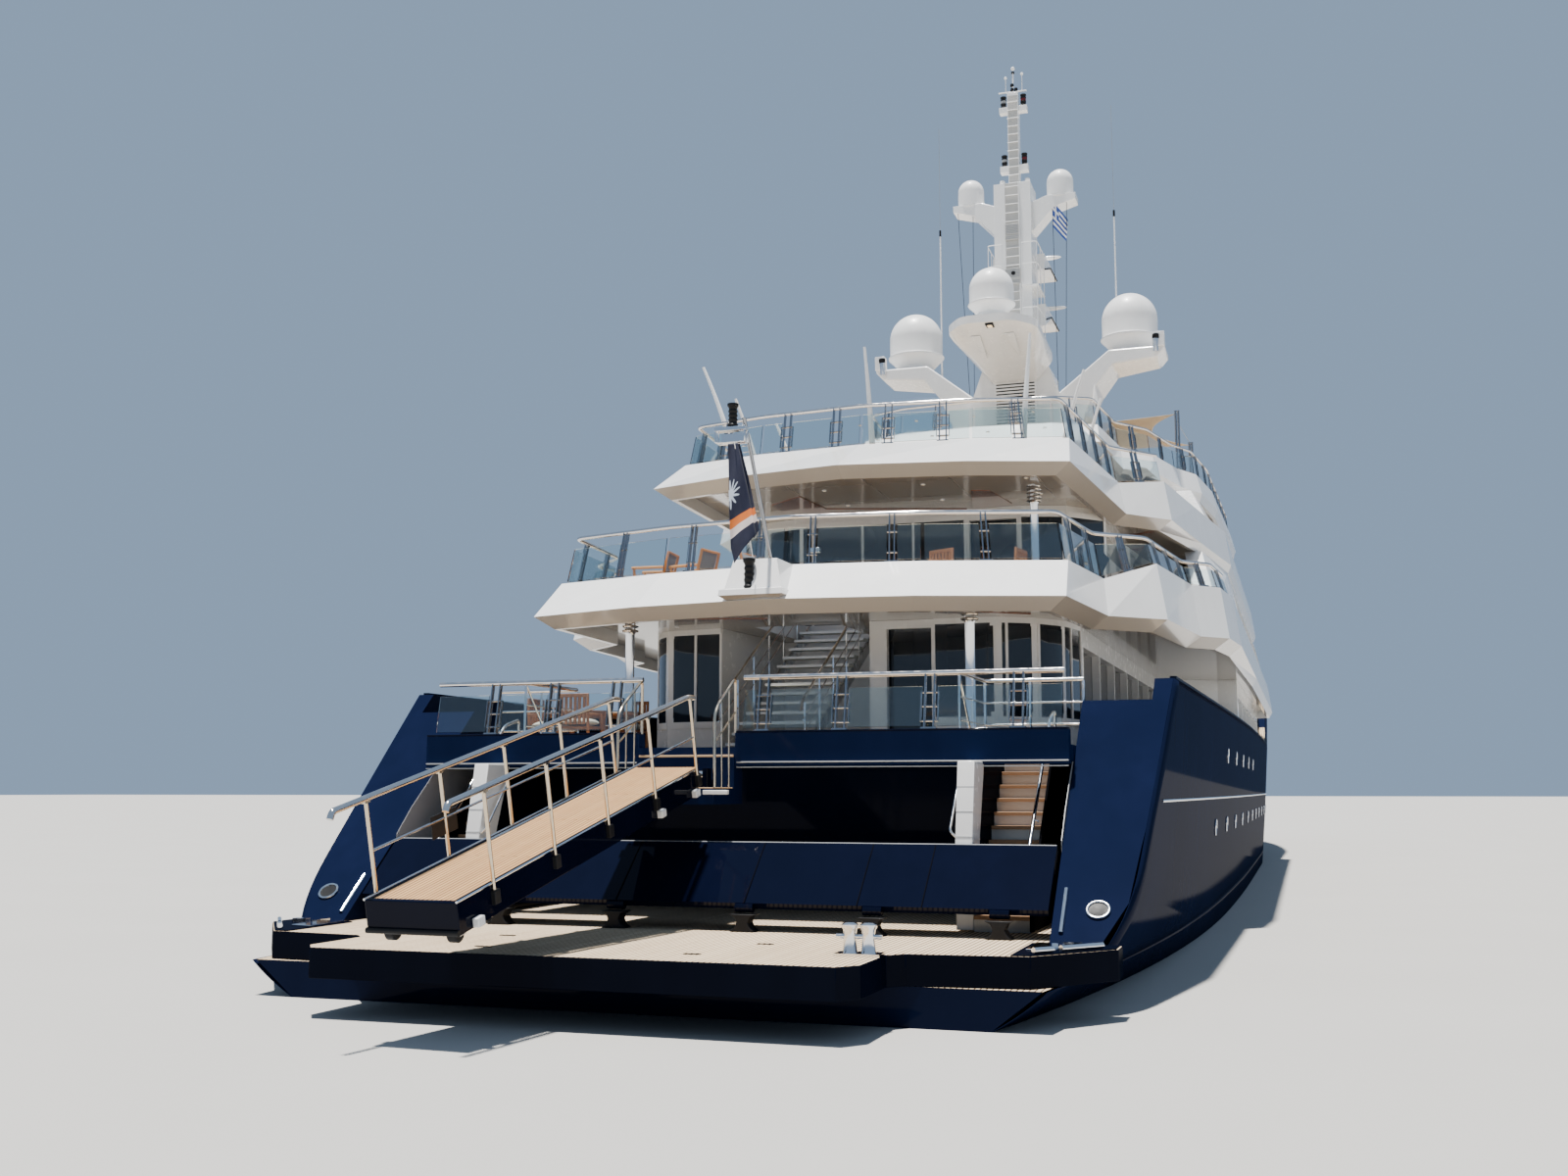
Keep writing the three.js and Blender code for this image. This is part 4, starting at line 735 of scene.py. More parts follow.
def hoop(profile: Array, centre: Array, segments: int = 16) -> Surface:
    """A closed profile of radius and height carried once round an upright axis."""
    profile = np.asarray(profile, float)
    angle = angles(segments)[:, None]
    points = xyz(np.cos(angle) * profile[:, 0], np.sin(angle) * profile[:, 0], profile[:, 1])
    return grid(points + np.asarray(centre, float), wrap=True, loop=True)


def copies(profile: Array, spots: list[Floats], segments: int, axis: int = Z) -> Surface:
    """Like turned parts, one at each of the spots."""
    return gather(*(turned(profile, spot, segments, axis) for spot in spots))


def prism(outline: Array, low: float, high: float, axis: int = Z) -> Surface:
    """A closed outline carried between two places on an axis; the outline keeps the other axes in order."""
    outline = np.asarray(outline, float)
    others = [i for i in range(3) if i != axis]
    points = np.zeros((2, len(outline), 3))
    points[..., others] = outline
    points[0, :, axis], points[1, :, axis] = low, high
    return grid(points, wrap=True, caps=True)


def loft(rings: list[Floats]) -> Surface:
    """A box whose section changes upwards: rows of aft x, fore x, half width and height, joined in order."""
    aft, fore, half, z = np.array(rings).T
    sides = [xyz(x, s * half, z) for x, s in ((aft, -1), (fore, -1), (fore, 1), (aft, 1))]
    return grid(np.stack(sides, 1), wrap=True, caps=True)


def build(
    name: str, surface: Surface, finish: object, body: str = ROOT, replaces: tuple[str, ...] = (), bevel: float = 0.0,
    angle: float = 35.0) -> bpy.types.Object:
    """Turns a surface into a piece of the model.

    Args:
        name: The piece's name.
        surface: Its points and faces; points that coincide are merged and its faces turned outwards.
        finish: Its finish.
        body: The body that it rides on.
        replaces: The CAD nodes that it stands for.
        bevel: Width of the rounding of its edges, none at 0.
        angle: Edges sharper than this many degrees stay sharp.

    Returns:
        The object.
    """
    mesh = bpy.data.meshes.new(name)
    mesh.from_pydata(surface.points.tolist(), [], surface.faces)
    if surface.uv is not None:
        corner = np.empty(len(mesh.loops), np.int32)
        mesh.loops.foreach_get("vertex_index", corner)
        mesh.uv_layers.new(name="UVMap").data.foreach_set("uv", surface.uv[corner].ravel().astype(np.float32))
    work = bmesh.new()
    work.from_mesh(mesh)
    bmesh.ops.remove_doubles(work, verts=work.verts, dist=MERGE)
    bmesh.ops.recalc_face_normals(work, faces=work.faces)
    work.to_mesh(mesh)
    work.free()
    mesh.shade_smooth()
    mesh.set_sharp_from_angle(angle=math.radians(angle))
    mesh.materials.append(material_of(finish))
    piece = bpy.data.objects.new(name, mesh)
    bpy.context.scene.collection.objects.link(piece)
    if bevel:
        edges = piece.modifiers.new("edges", "BEVEL")
        edges.width, edges.segments, edges.angle_limit = bevel, 2, math.radians(angle)
        edges.limit_method = "ANGLE"
    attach(piece, body)
    finish.slot.value
    if replaces:
        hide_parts(*replaces)
    log.info("%s: %d faces on %s", name, len(mesh.polygons), body)
    return piece


def offset(line: Array, distance: float) -> Array:
    """An open plan line moved to its left, mitred at its corners."""
    line = np.asarray(line, float)
    legs = unit(np.diff(line, axis=0))
    before, after = np.vstack([legs[:1], legs]), np.vstack([legs, legs[-1:]])
    a, b = (np.stack([-leg[:, 1], leg[:, 0]], -1) for leg in (before, after))
    return line + distance * (a + b) / (1 + (a * b).sum(-1, keepdims=True))


def thicken(piece: bpy.types.Object, thickness: float, side: float = 0.0) -> None:
    """Gives an open sheet its thickness, from -1 all inwards to 1 all outwards."""
    solid = piece.modifiers.new("thickness", "SOLIDIFY")
    solid.thickness, solid.offset = thickness, side


def smooth(x: Array, start: float, end: float) -> Array:
    """A smooth step from 0 at start to 1 at end."""
    t = np.clip((x - start) / (end - start), 0, 1)
    return t * t * (3 - 2 * t)


@dataclass
class Hull:
    """The hull's outer skin and its fittings, from the same levels as the CAD hull."""

    levels: tuple[Floats, ...] = (
        (-0.38, 0.6, 0.46, 2.9, 1.7), (0, 0.615, 0.56, 3.43, 2), (0.2, 0.63, 0.575, 3.59, 2.3),
        (0.42, 0.64, 0.594, 3.76, 2.8), (0.78, 0.64, 0.594, 4, 3.6))
    stern: float = -3.85
    fore: float = 0.2
    aft: float = -0.8
    shelf: float = 0.045
    wing_foot: tuple[float, float] = (-3.69, 0.08)
    wing_slope: tuple[float, float] = (0.375, 0.336)
    keel_depth: float = -0.38
    keel_rise: float = 0.29
    bilge: float = 0.3
    stand_off: float = 0.0009

    def level(self, z: Array) -> Array:
        """Beam, stern beam, stem and fullness at some heights, straight between the table's rows."""
        height, *columns = np.array(self.levels).T
        clipped = np.clip(z, height[0], height[-1] + 0.1)
        rows = [np.interp(clipped, height, column) for column in columns]
        over = np.maximum(clipped - height[-1], 0)
        return np.stack([rows[0], rows[1], rows[2] + over * 0.667, rows[3]])

    def half_breadth(self, x: Array, z: Array) -> Array:
        """Half beam: the bow narrows by a power of its share of length, the stern by a square."""
        beam, stern, stem, fullness = self.level(z)
        bow = 1 - np.clip((x - self.fore) / (stem - self.fore), 0, 1) ** fullness
        aft = np.clip((self.aft - x) / 3.05, 0, 1) ** 2
        return np.maximum(0.004, (beam + (stern - beam) * aft) * bow)

    def keel(self, x: Array) -> Array:
        """Height of the keel, which rises to the stern in a straight line."""
        return self.keel_depth + self.keel_rise * np.clip((-1.0 - x) / 2.85, 0, 1)

    def sheer(self, x: Array) -> Array:
        """Height of the hull's upper edge: three smooth rises towards the bow."""
        return 0.416 + 0.014 * smooth(x, -3.3, 0) + 0.27 * smooth(x, 0.5, 1.5) + 0.08 * smooth(x, 1.5, 3.9)

    def rake(self, z: Array) -> Array:
        """Aft edge of the quarters: a straight rake above the platform."""
        (x, foot), (run, rise) = self.wing_foot, self.wing_slope
        return np.where(z < foot, x, x + (z - foot) * run / rise)

    def skin(self, low: float | None, aft: bool) -> Array:
        """A grid over the port topsides or bottom: length by girth, from the wing or the stern to the stem."""
        share = 1 - (1 - np.linspace(0, 1, 110)) ** 1.25
        girth = np.linspace(0, 1, 30) ** (1.0 if aft else 1.25)
        share, girth = np.meshgrid(share, girth, indexing="ij")
        body = self.stern + (3.7 - self.stern) * share
        foot = self.keel(body) if low is None else np.full_like(body, low)
        head = np.full_like(body, self.shelf) if low is None else self.sheer(body)
        z = foot + (head - foot) * girth
        start = np.full_like(z, self.stern) if low is None else self.rake(z)
        x = start + (self.level(z)[2] - start) * share
        if low is not None:
            z = foot + (self.sheer(x) - foot) * girth
            x = self.rake(z) + (self.level(z)[2] - self.rake(z)) * share
        rise = np.clip((z - self.keel(x)) / self.bilge, 0, 1)
        y = self.half_breadth(x, z) * np.sqrt(1 - (1 - rise) ** 2.8)
        return xyz(x, y, z)

    def topsides(self) -> None:
        """The smooth painted skin, just outside the CAD hull's flat facets."""
        parts = []
        for low in (self.shelf, None):
            points = self.skin(low, aft=True)
            surface = grid(points)
            across = unit(np.cross(np.gradient(points, axis=0), np.gradient(points, axis=1)).reshape(-1, 3))
            across *= np.sign(across[:, 1:2] + 1e-9)
            surface.points = surface.points + across * self.stand_off
            parts.append(surface)
        skin = build("hull_skin", both(gather(*parts)), HULL_NAVY, angle=80)
        thicken(skin, 0.0006, -1)

    def rim(self, x: Array, z: Array, out: float = 0.0) -> Array:
        """Points on the port topsides, moved outwards in plan by `out`."""
        return xyz(x, self.half_breadth(x, z) + out, z)

    def trims(self) -> None:
        """A cap on the bulwark, which follows the sheer, and a bright rubbing strip at mid height."""
        x = np.concatenate([np.linspace(-3.3, 0.3, 24), np.linspace(0.4, 3.85, 70)])
        cap = [(-0.007, 0), (0.002, 0), (0.002, 0.004), (-0.007, 0.004)]
        build("bulwark_cap", both(sweep(cap, self.rim(x, self.sheer(x)))), NAVY)
        x = np.concatenate([np.linspace(-3.4, 0.3, 24), np.linspace(0.4, 3.55, 60)])
        build("rubbing_strip", both(tube(self.rim(x, 0 * x + 0.245, 0.0012), 0.0024, 8)), STEEL)

    def portholes(self) -> None:
        """Rows of round lights: a steel rim and a dark pane square to the skin at each place."""
        places = [(x, 0.19) for x in np.linspace(-2.5, 2.3, 17)] + [(x, 0.33) for x in np.linspace(-2.2, -1.0, 5)]
        rim = [(0.0128, -0.001), (0.0158, -0.001), (0.0158, 0.0012), (0.0142, 0.002), (0.0128, 0.0012)]
        ring = hoop(rim, (0, 0, 0), 24)
        pane = turned([(0.0005, -0.001), (0.0132, -0.001), (0.0132, 0.0004), (0.0005, 0.0006)], (0, 0, 0), 24)
        rims, panes = [], []
        for x, z in places:
            spot = self.rim(np.array([x, x + 0.01, x]), np.array([z, z, z + 0.01]), self.stand_off)
            along, up = unit(spot[1] - spot[0]), unit(spot[2] - spot[0])
            out = unit(np.cross(up, along))
            turn = xyz(along, np.cross(out, along), out)
            rims.append(ring.placed(turn, spot[0]))
            panes.append(pane.placed(turn, spot[0]))
        build("porthole_rims", both(gather(*rims)), STEEL)
        build("porthole_panes", both(gather(*panes)), DARK_GLASS)

    def foredeck(self) -> None:
        """Deck hatches, pairs of bollards, mushroom vents and the jackstaff on the foredeck."""
        z = FOREDECK_TOP
        hatches = np.array([(2.35, 0, z), (1.95, 0.15, z), (1.95, -0.15, z)])
        build("deck_hatches", blocks(hatches + (0, 0, 0.006), (0.09, 0.09, 0.012)), WHITE, bevel=0.003)
        build("hatch_lids", blocks(hatches + (0, 0, 0.0128), (0.066, 0.066, 0.0016)), DARK_GLASS, bevel=0.0006)
        post = [
            (0.001, 0), (0.009, 0), (0.0075, 0.003), (0.0068, 0.018), (0.0092, 0.024), (0.0092, 0.027),
            (0.001, 0.0285)]
        pairs = [(2.2, 0.3), (2.9, 0.17)]
        spots = [(x + d, y, z + 0.002) for x, y in pairs for d in (-0.016, 0.016)]
        plates_of = blocks(raised(pairs, z + 0.0014), (0.06, 0.024, 0.0028))
        build("bow_bollards", both(gather(plates_of, copies(post, spots, 24))), STEEL)
        vent = [
            (0.001, 0), (0.012, 0), (0.008, 0.004), (0.008, 0.016), (0.016, 0.02), (0.014, 0.026), (0.006, 0.029),
            (0.001, 0.0295)]
        build("deck_vents", both(copies(vent, [(1.75, 0.32, z), (2.6, 0.2, z)], 28)), WHITE)
        staff = tube([(3.62, 0, z), (3.66, 0, z + 0.12), (3.7, 0, z + 0.24)], [0.0045, 0.0038, 0.0028], 14)
        ball = turned(
            [(0.001, -0.006), (0.0045, -0.004), (0.006, 0), (0.0045, 0.004), (0.001, 0.006)], (3.7, 0, z + 0.243), 16)
        build("jackstaff", gather(staff, ball), STEEL)

    def build(self) -> None:
        """Makes the hull's pieces."""
        self.topsides()
        self.trims()
        self.portholes()
        self.foredeck()


def bilinear(corners: Array, s: Array, t: Array) -> Array:
    """Points of a four-cornered face: a share s along its foot and its head, then a share t from foot to head."""
    a, b, c, d = np.asarray(corners, float)
    s, t = (np.asarray(v, float)[..., None] for v in np.broadcast_arrays(s, t))
    return (1 - t) * (a + (b - a) * s) + t * (c + (d - c) * s)


@dataclass
class Railing:
    """Blades in pairs on a line of feet, a round top tube and panes in clamps between the pairs."""

    name: str
    feet: Array
    top: float
    replaces: tuple[str, str]
    lean: float = 0.014
    pitch: float = 0.12
    glazed: float = 0.76
    blade: Floats = (0.0022, 0.0066)
    pair: float = 0.013
    tube: float = 0.0036
    loops: bool = True
    places: dict[int, Floats] = field(default_factory=dict)

    def leg(self, corners: Array, index: int) -> tuple[Surface, Surface]:
        """The steel and the glass over one straight leg.

        Args:
            corners: Its two feet and its two heads, in the same order.
            index: Its number; `places` may give its pairs as shares of its length, and else they are evenly spread.

        Returns:
            Blades, feet and clamp loops as one surface, and the panes as another.
        """
        a, b, c, _ = corners
        length = float(np.linalg.norm(b - a))
        out = unit(np.cross(b - a, c - a))
        count = max(1, round(length / self.pitch))
        middle = np.array(self.places.get(index, (np.arange(count) + 0.5) / count))
        half, gap = self.pair / 2 / length, (self.pair / 2 + 0.0045) / length
        t = np.array([0.0, 0.0, 1.0, 1.0])
        sign = np.array([-1, 1, 1, -1])[None, :, None]
        bars = np.concatenate([middle - half, middle + half])
        blade = bilinear(corners, bars[:, None], t) + out * sign * self.blade[1] / 2
        reach = np.array([-1, 1, 1, -1]) * 0.011 / length
        deep = out * np.array([-1, -1, 1, 1])[None, :, None] * 0.006
        foot = bilinear(corners, middle[:, None] + reach, 0 * t) + deep
        steel = [plates(blade, self.blade[0]), plates(foot, 0.003)]
        left = np.concatenate([[0.003 / length], middle + gap])
        right = np.concatenate([middle - gap, [1 - 0.003 / length]])
        if self.glazed:
            side = np.concatenate([middle - gap - 0.001 / length, middle + gap + 0.001 / length])
            if self.loops:
                loop = bilinear(corners, side[:, None], [0.13, 0.13, 0.66, 0.66])
                steel.append(plates(loop + out * sign * 0.003, 0.0012))
            clamp = np.array([-1, 1, 1, -1]) * (self.pair / 2 + 0.004) / length
            for up in (0.14, 0.4, 0.65) if self.loops else (0.2, 0.62):
                spot = bilinear(corners, middle[:, None] + clamp, up + 0.009 * (2 * t - 1))
                steel.append(plates(spot, 0.0055))
        edges = np.stack([left, right, right, left], 1)
        pane = bilinear(corners, edges, [0.05, 0.05, self.glazed, self.glazed])
        return gather(*steel), plates(pane, 0.0018)

    def build(self) -> None:
        """Makes the rail's three pieces."""
        line = offset(self.feet[:, :2], -self.lean)
        heads = raised(line, self.top)
        ends = np.stack([self.feet[:-1], self.feet[1:], heads[:-1], heads[1:]], 1)
        legs = [self.leg(corners, k) for k, corners in enumerate(ends)]
        build(self.name + "_blades", gather(*(steel for steel, _ in legs)), BLADE, replaces=self.replaces[:1])
        build(self.name + "_tube", tube(rounded(heads, 0.018), self.tube, 12), RAIL)
        if self.glazed:
            panes = gather(*(glass for _, glass in legs))
            build(self.name + "_panes", panes, CLEAR_GLASS, replaces=self.replaces[1:])


@dataclass
class DeckRails:
    """The rails of the three upper decks, on the port halves of their rims from the stern forward."""

    inset: float = 0.007
    upper: tuple[Floats, ...] = (
        (-3.235, 0, 0.617), (-3.205, 0.222, 0.617), (-3.14, 0.44, 0.617), (-2.905, 0.466, 0.617),
        (-2.825, 0.548, 0.65), (-2.515, 0.586, 0.65), (-2.455, 0.636, 0.65), (-2.28, 0.651, 0.65))
    bridge: tuple[Floats, ...] = (
        (-2.78, 0, 0.911), (-2.758, 0.21, 0.911), (-2.71, 0.386, 0.911), (-2.25, 0.425, 0.911), (-2.135, 0.51, 0.93))
    sun: tuple[Floats, ...] = (
        (-1.7, 0, 1.19), (-1.68, 0.2, 1.19), (-1.625, 0.308, 1.19), (-1.34, 0.333, 1.19), (-1.225, 0.407, 1.19),
        (-1.005, 0.456, 1.19), (-0.89, 0.505, 1.19), (-0.6, 0.534, 1.19), (0.3, 0.55, 1.19))
    poles: tuple[Floats, ...] = ((-0.82, 0.45, 1.406), (-0.49, 0.467, 1.378))

    def build(self) -> None:
        """Makes each deck's rail and the poles of the shade sail with their wires and caps."""
        for name, rim, top, lean, pitch in (
            ("upper_rail", self.upper, 0.698, 0.014, 0.12), ("bridge_rail", self.bridge, 0.992, 0.014, 0.12),
            ("sun_rail", self.sun, 1.262, 0.008, 0.155)):
            half = np.array(rim)
            whole = np.concatenate([half[:0:-1] * (1, -1, 1), half])
            feet = raised(offset(whole[:, :2], -self.inset), whole[:, 2])
            upper = name == "upper_rail"
            rail = Railing(name, feet, top, (name, name + "_glass"), lean, pitch, pair=0.008 if upper else 0.013)
            rail.loops = not upper
            if upper:
                rail.places = {5: (0.55,), 6: (0.22, 0.8), 7: (0.2, 0.78), 8: (0.45,)}
            rail.build()
        pole = np.repeat(np.array(self.poles), 2, axis=0) + np.array([(0, -0.0042, 0), (0, 0.0042, 0)] * 2)
        stems = rods(pole * (1, 1, 0) + (0, 0, 1.161), pole, 0.0034, 14)
        ties = [blocks([(x, y, z)], (0.005, 0.016, 0.003)) for x, y, top in self.poles for z in (top - 0.002, 1.23)]
        wire = rods([(*self.poles[0][:2], 1.372)], [(*self.poles[1][:2], 1.37)], 0.0009, 6)
        stays = rods(
            [(-0.82, 0.45, 1.262), (-0.49, 0.467, 1.262)], [(-0.82, 0.495, 1.262), (-0.49, 0.52, 1.262)], 0.0018, 8)
        build("sail_poles", both(gather(stems, wire, stays, *ties)), BLADE)


@dataclass
class Gangway:
    """The stern gangway in its own frame: x runs back from its pivot, y to port and z square to its deck."""

    pivot: Floats = (-3.56, 0.059, 0.28)
    yaw: float = -3.0
    pitch: float = -13.8
    length: float = 0.608
    half: float = 0.056
    beam: float = 0.035
    top: float = 0.013
    planks: int = 18
    rows: tuple[Floats, ...] = ((1, -0.585, 0.136, -0.64), (-1, -0.54, 0.129, -0.606))
    rail: float = 0.114

    def settle(self, part: Surface) -> Surface:
        """A part of the gangway's own frame turned by its pitch, then its yaw, and moved to its pivot."""
        return part.placed(turn_by(self.yaw) @ turn_by(self.pitch, Y), self.pivot)

    def make(self, name: str, part: Surface, finish: object, **options: object) -> None:
        """Builds one of its pieces on the gangway's body."""
        build("gangway_" + name, self.settle(part), finish, "bridgeway", **options)

    def deck(self) -> None:
        """Planks lengthwise between the beams, with staggered joints, on a tray with ribs beneath."""
        width = 2 * (self.half - 0.0065)
        y = (np.arange(self.planks) + 0.5) / self.planks * width - width / 2
        joint = np.array([-0.285, -0.443, -0.16])[np.arange(self.planks) % 3]
        ends = [(np.full_like(y, -self.length + 0.0015), joint - 0.0006), (joint + 0.0006, np.full_like(y, -0.007))]
        wide, z = width / self.planks - 0.0013, self.top - 0.0028
        planks = [blocks(xyz((a + b) / 2, y, z), xyz(b - a, wide, 0.005)) for a, b in ends]
        planks[1].uv = planks[1].uv + (0, self.planks)
        self.make("planks", gather(*planks), PLANKS)
        ribs = np.linspace(-self.length + 0.04, -0.04, 12)
        rib = xyz(ribs, 0 * ribs, -0.004)
        tray = blocks([(-(self.length - 0.006) / 2, 0, 0.0055)], (self.length - 0.01, width + 0.001, 0.0044))
        self.make("tray", gather(tray, blocks(rib, (0.005, width + 0.002, 0.016))), NAVY)

    def beams(self) -> None:
        """Side beams with a bright edge, the dark end, its lip and the cross tube at the pivot."""
        depth, far = self.top - self.beam / 2, -self.length
        sides = blocks(
            [(far / 2 - 0.012, y, depth) for y in (-self.half + 0.003, self.half - 0.003)],
            (self.length - 0.03, 0.006, self.beam))
        end = blocks([(far + 0.0035, 0, depth)], (0.007, 2 * self.half, self.beam))
        self.make("beams", gather(sides, end), NAVY, replaces=("gangway",), bevel=0.0012)
        edge = rods(*([(x, s * self.half, self.top) for s in (-1, 1)] for x in (far, -0.028)), 0.0013)
        pin = rods([(0, -self.half - 0.004, 0)], [(0, self.half + 0.004, 0)], 0.0058, 20)
        self.make("edges", gather(edge, pin), STEEL)
        lip = rods([(far - 0.001, -self.half, -0.019)], [(far - 0.001, self.half, -0.019)], 0.0032, 12)
        self.make("lip", lip, BLACK)

    def rails(self) -> None:
        """Five posts a side on dark brackets, top rails bent down at their outer ends, and middle rails."""
        posts, rails, brackets, caps = [], [], [], []
        for side, first, pitch, end in self.rows:
            y = side * (self.half + 0.0012)
            foot = xyz(first + pitch * np.arange(5), y, -0.008)
            posts.append(rods(foot, foot + (0, 0, self.rail + 0.008), 0.0022, 12))
            brackets.append(blocks(foot + (0, side * 0.001, 0.006), (0.011, 0.006, 0.015)))
            caps.append(blocks(foot + (0, 0, self.rail + 0.005), (0.009, 0.005, 0.004)))
            top = [
                (-0.013, y, self.rail - 0.004), (-0.03, y, self.rail), (end, y, self.rail),
                (end - 0.005, y, self.rail - 0.007)]
            rails.append(tube(rounded(top, 0.006), 0.0036, 14))
            rails.append(rods([(first, y, 0.058)], [(foot[-1, 0], y, 0.058)], 0.0015, 10))
        self.make("rails", gather(*rails), RAIL)
        self.make("posts", gather(*posts, *caps), CHAMPAGNE)
        self.make("brackets", gather(*brackets), BLACK, bevel=0.0008)

    def fittings(self) -> None:
        """Rollers in forks, small white lamps beside the starboard beam and a blank plate on the port rail."""
        roller = [
            (0.001, -0.006), (0.0075, -0.006), (0.009, -0.0045), (0.009, 0.0045), (0.0075, 0.006), (0.001, 0.006)]
        spots = [(-0.59, side * 0.038, -0.026) for side in (1, -1)]
        self.make("rollers", copies(roller, spots, 24, Y), BLACK)
        forks = blocks(
            [(-0.59, s * 0.038 + d, -0.012) for s in (1, -1) for d in (-0.0085, 0.0085)], (0.012, 0.0016, 0.03))
        self.make("forks", forks, SATIN)
        lamps = blocks([(x, -self.half - 0.004, -0.016) for x in (-0.578, -0.145, -0.038)], (0.013, 0.008, 0.01))
        self.make("lamps", lamps, WHITE, bevel=0.0012)
        plate = blocks([(-0.451, self.half + 0.0016, 0.052)], (0.05, 0.0016, 0.026))
        self.make("plate", plate, BLACK, bevel=0.0005)

    def build(self) -> None:
        """Makes the gangway and the trim of its turntable."""
        self.deck()
        self.beams()
        self.rails()
        self.fittings()
        ring = [(0.0325, 0), (0.0345, 0), (0.0345, 0.003), (0.0325, 0.004)]
        collar = turned(ring, (-3.53, self.pivot[1], 0.2635), 48)
        build("turntable_ring", collar, STEEL, "turntable")


@dataclass
class Domes:
    """Radomes turned about their axes: a narrow foot, a flared skirt with a bright rim, a seam and a round cap."""

    places: tuple[tuple[str, float, float, float, float], ...] = (
        ("dome_centre", -1.415, 0, 1.5643, 0.062), ("dome_large_port", -0.95, 0.33, 1.5533, 0.082),
        ("dome_large_starboard", -0.95, -0.33, 1.5533, 0.082), ("dome_small_port", -0.995, 0.138, 2.0523, 0.04),
        ("dome_small_starboard", -0.995, -0.138, 2.0523, 0.04))

    def build(self) -> None:
        """Makes each dome in place of its CAD node; its profile is in shares of its radius."""
        flared = [
            (0.01, 0), (0.7, 0), (0.7, 0.03), (0.67, 0.05), (0.67, 0.2), (0.75, 0.27), (0.92, 0.46), (1.045, 0.57),
            (1.06, 0.6), (1.06, 0.64), (1.045, 0.655), (1.01, 0.665), (1, 0.7)]
        straight = [(0.01, 0), (1.02, 0), (1.02, 0.13), (0.95, 0.135), (0.95, 0.16), (1, 0.17), (1, 0.4)]
        angle = np.linspace(0, np.pi / 2, 18)
        cap = np.stack([np.cos(angle) + 0.002, 1.33 + np.sin(angle)], -1)
        for name, x, y, z, radius in self.places:
            side = straight if radius < 0.05 else flared
            profile = np.concatenate([side, cap]) * radius
            build(name + "_shell", turned(profile, (x, y, z), 64), GELCOAT, replaces=(name,), angle=28)


def flat_cut(name: str, *place: Array) -> tuple[float, float]:
    """The sides of a cloth's flat cut: in proportion to its mean row and column, with the cloth's own area."""
    points = np.stack(place, -1)
    rows, columns = np.diff(points, axis=1), np.diff(points, axis=0)
    across, down = np.linalg.norm(rows, axis=-1).sum(1).mean(), np.linalg.norm(columns, axis=-1).sum(0).mean()
    area = np.linalg.norm(np.cross(rows[:-1], columns[:, :-1]), axis=-1).sum()
    across, down = across * np.sqrt(area / across / down), down * np.sqrt(area / across / down)
    log.info("%s cut: %.4f by %.4f", name, across, down)
    return float(across), float(down)


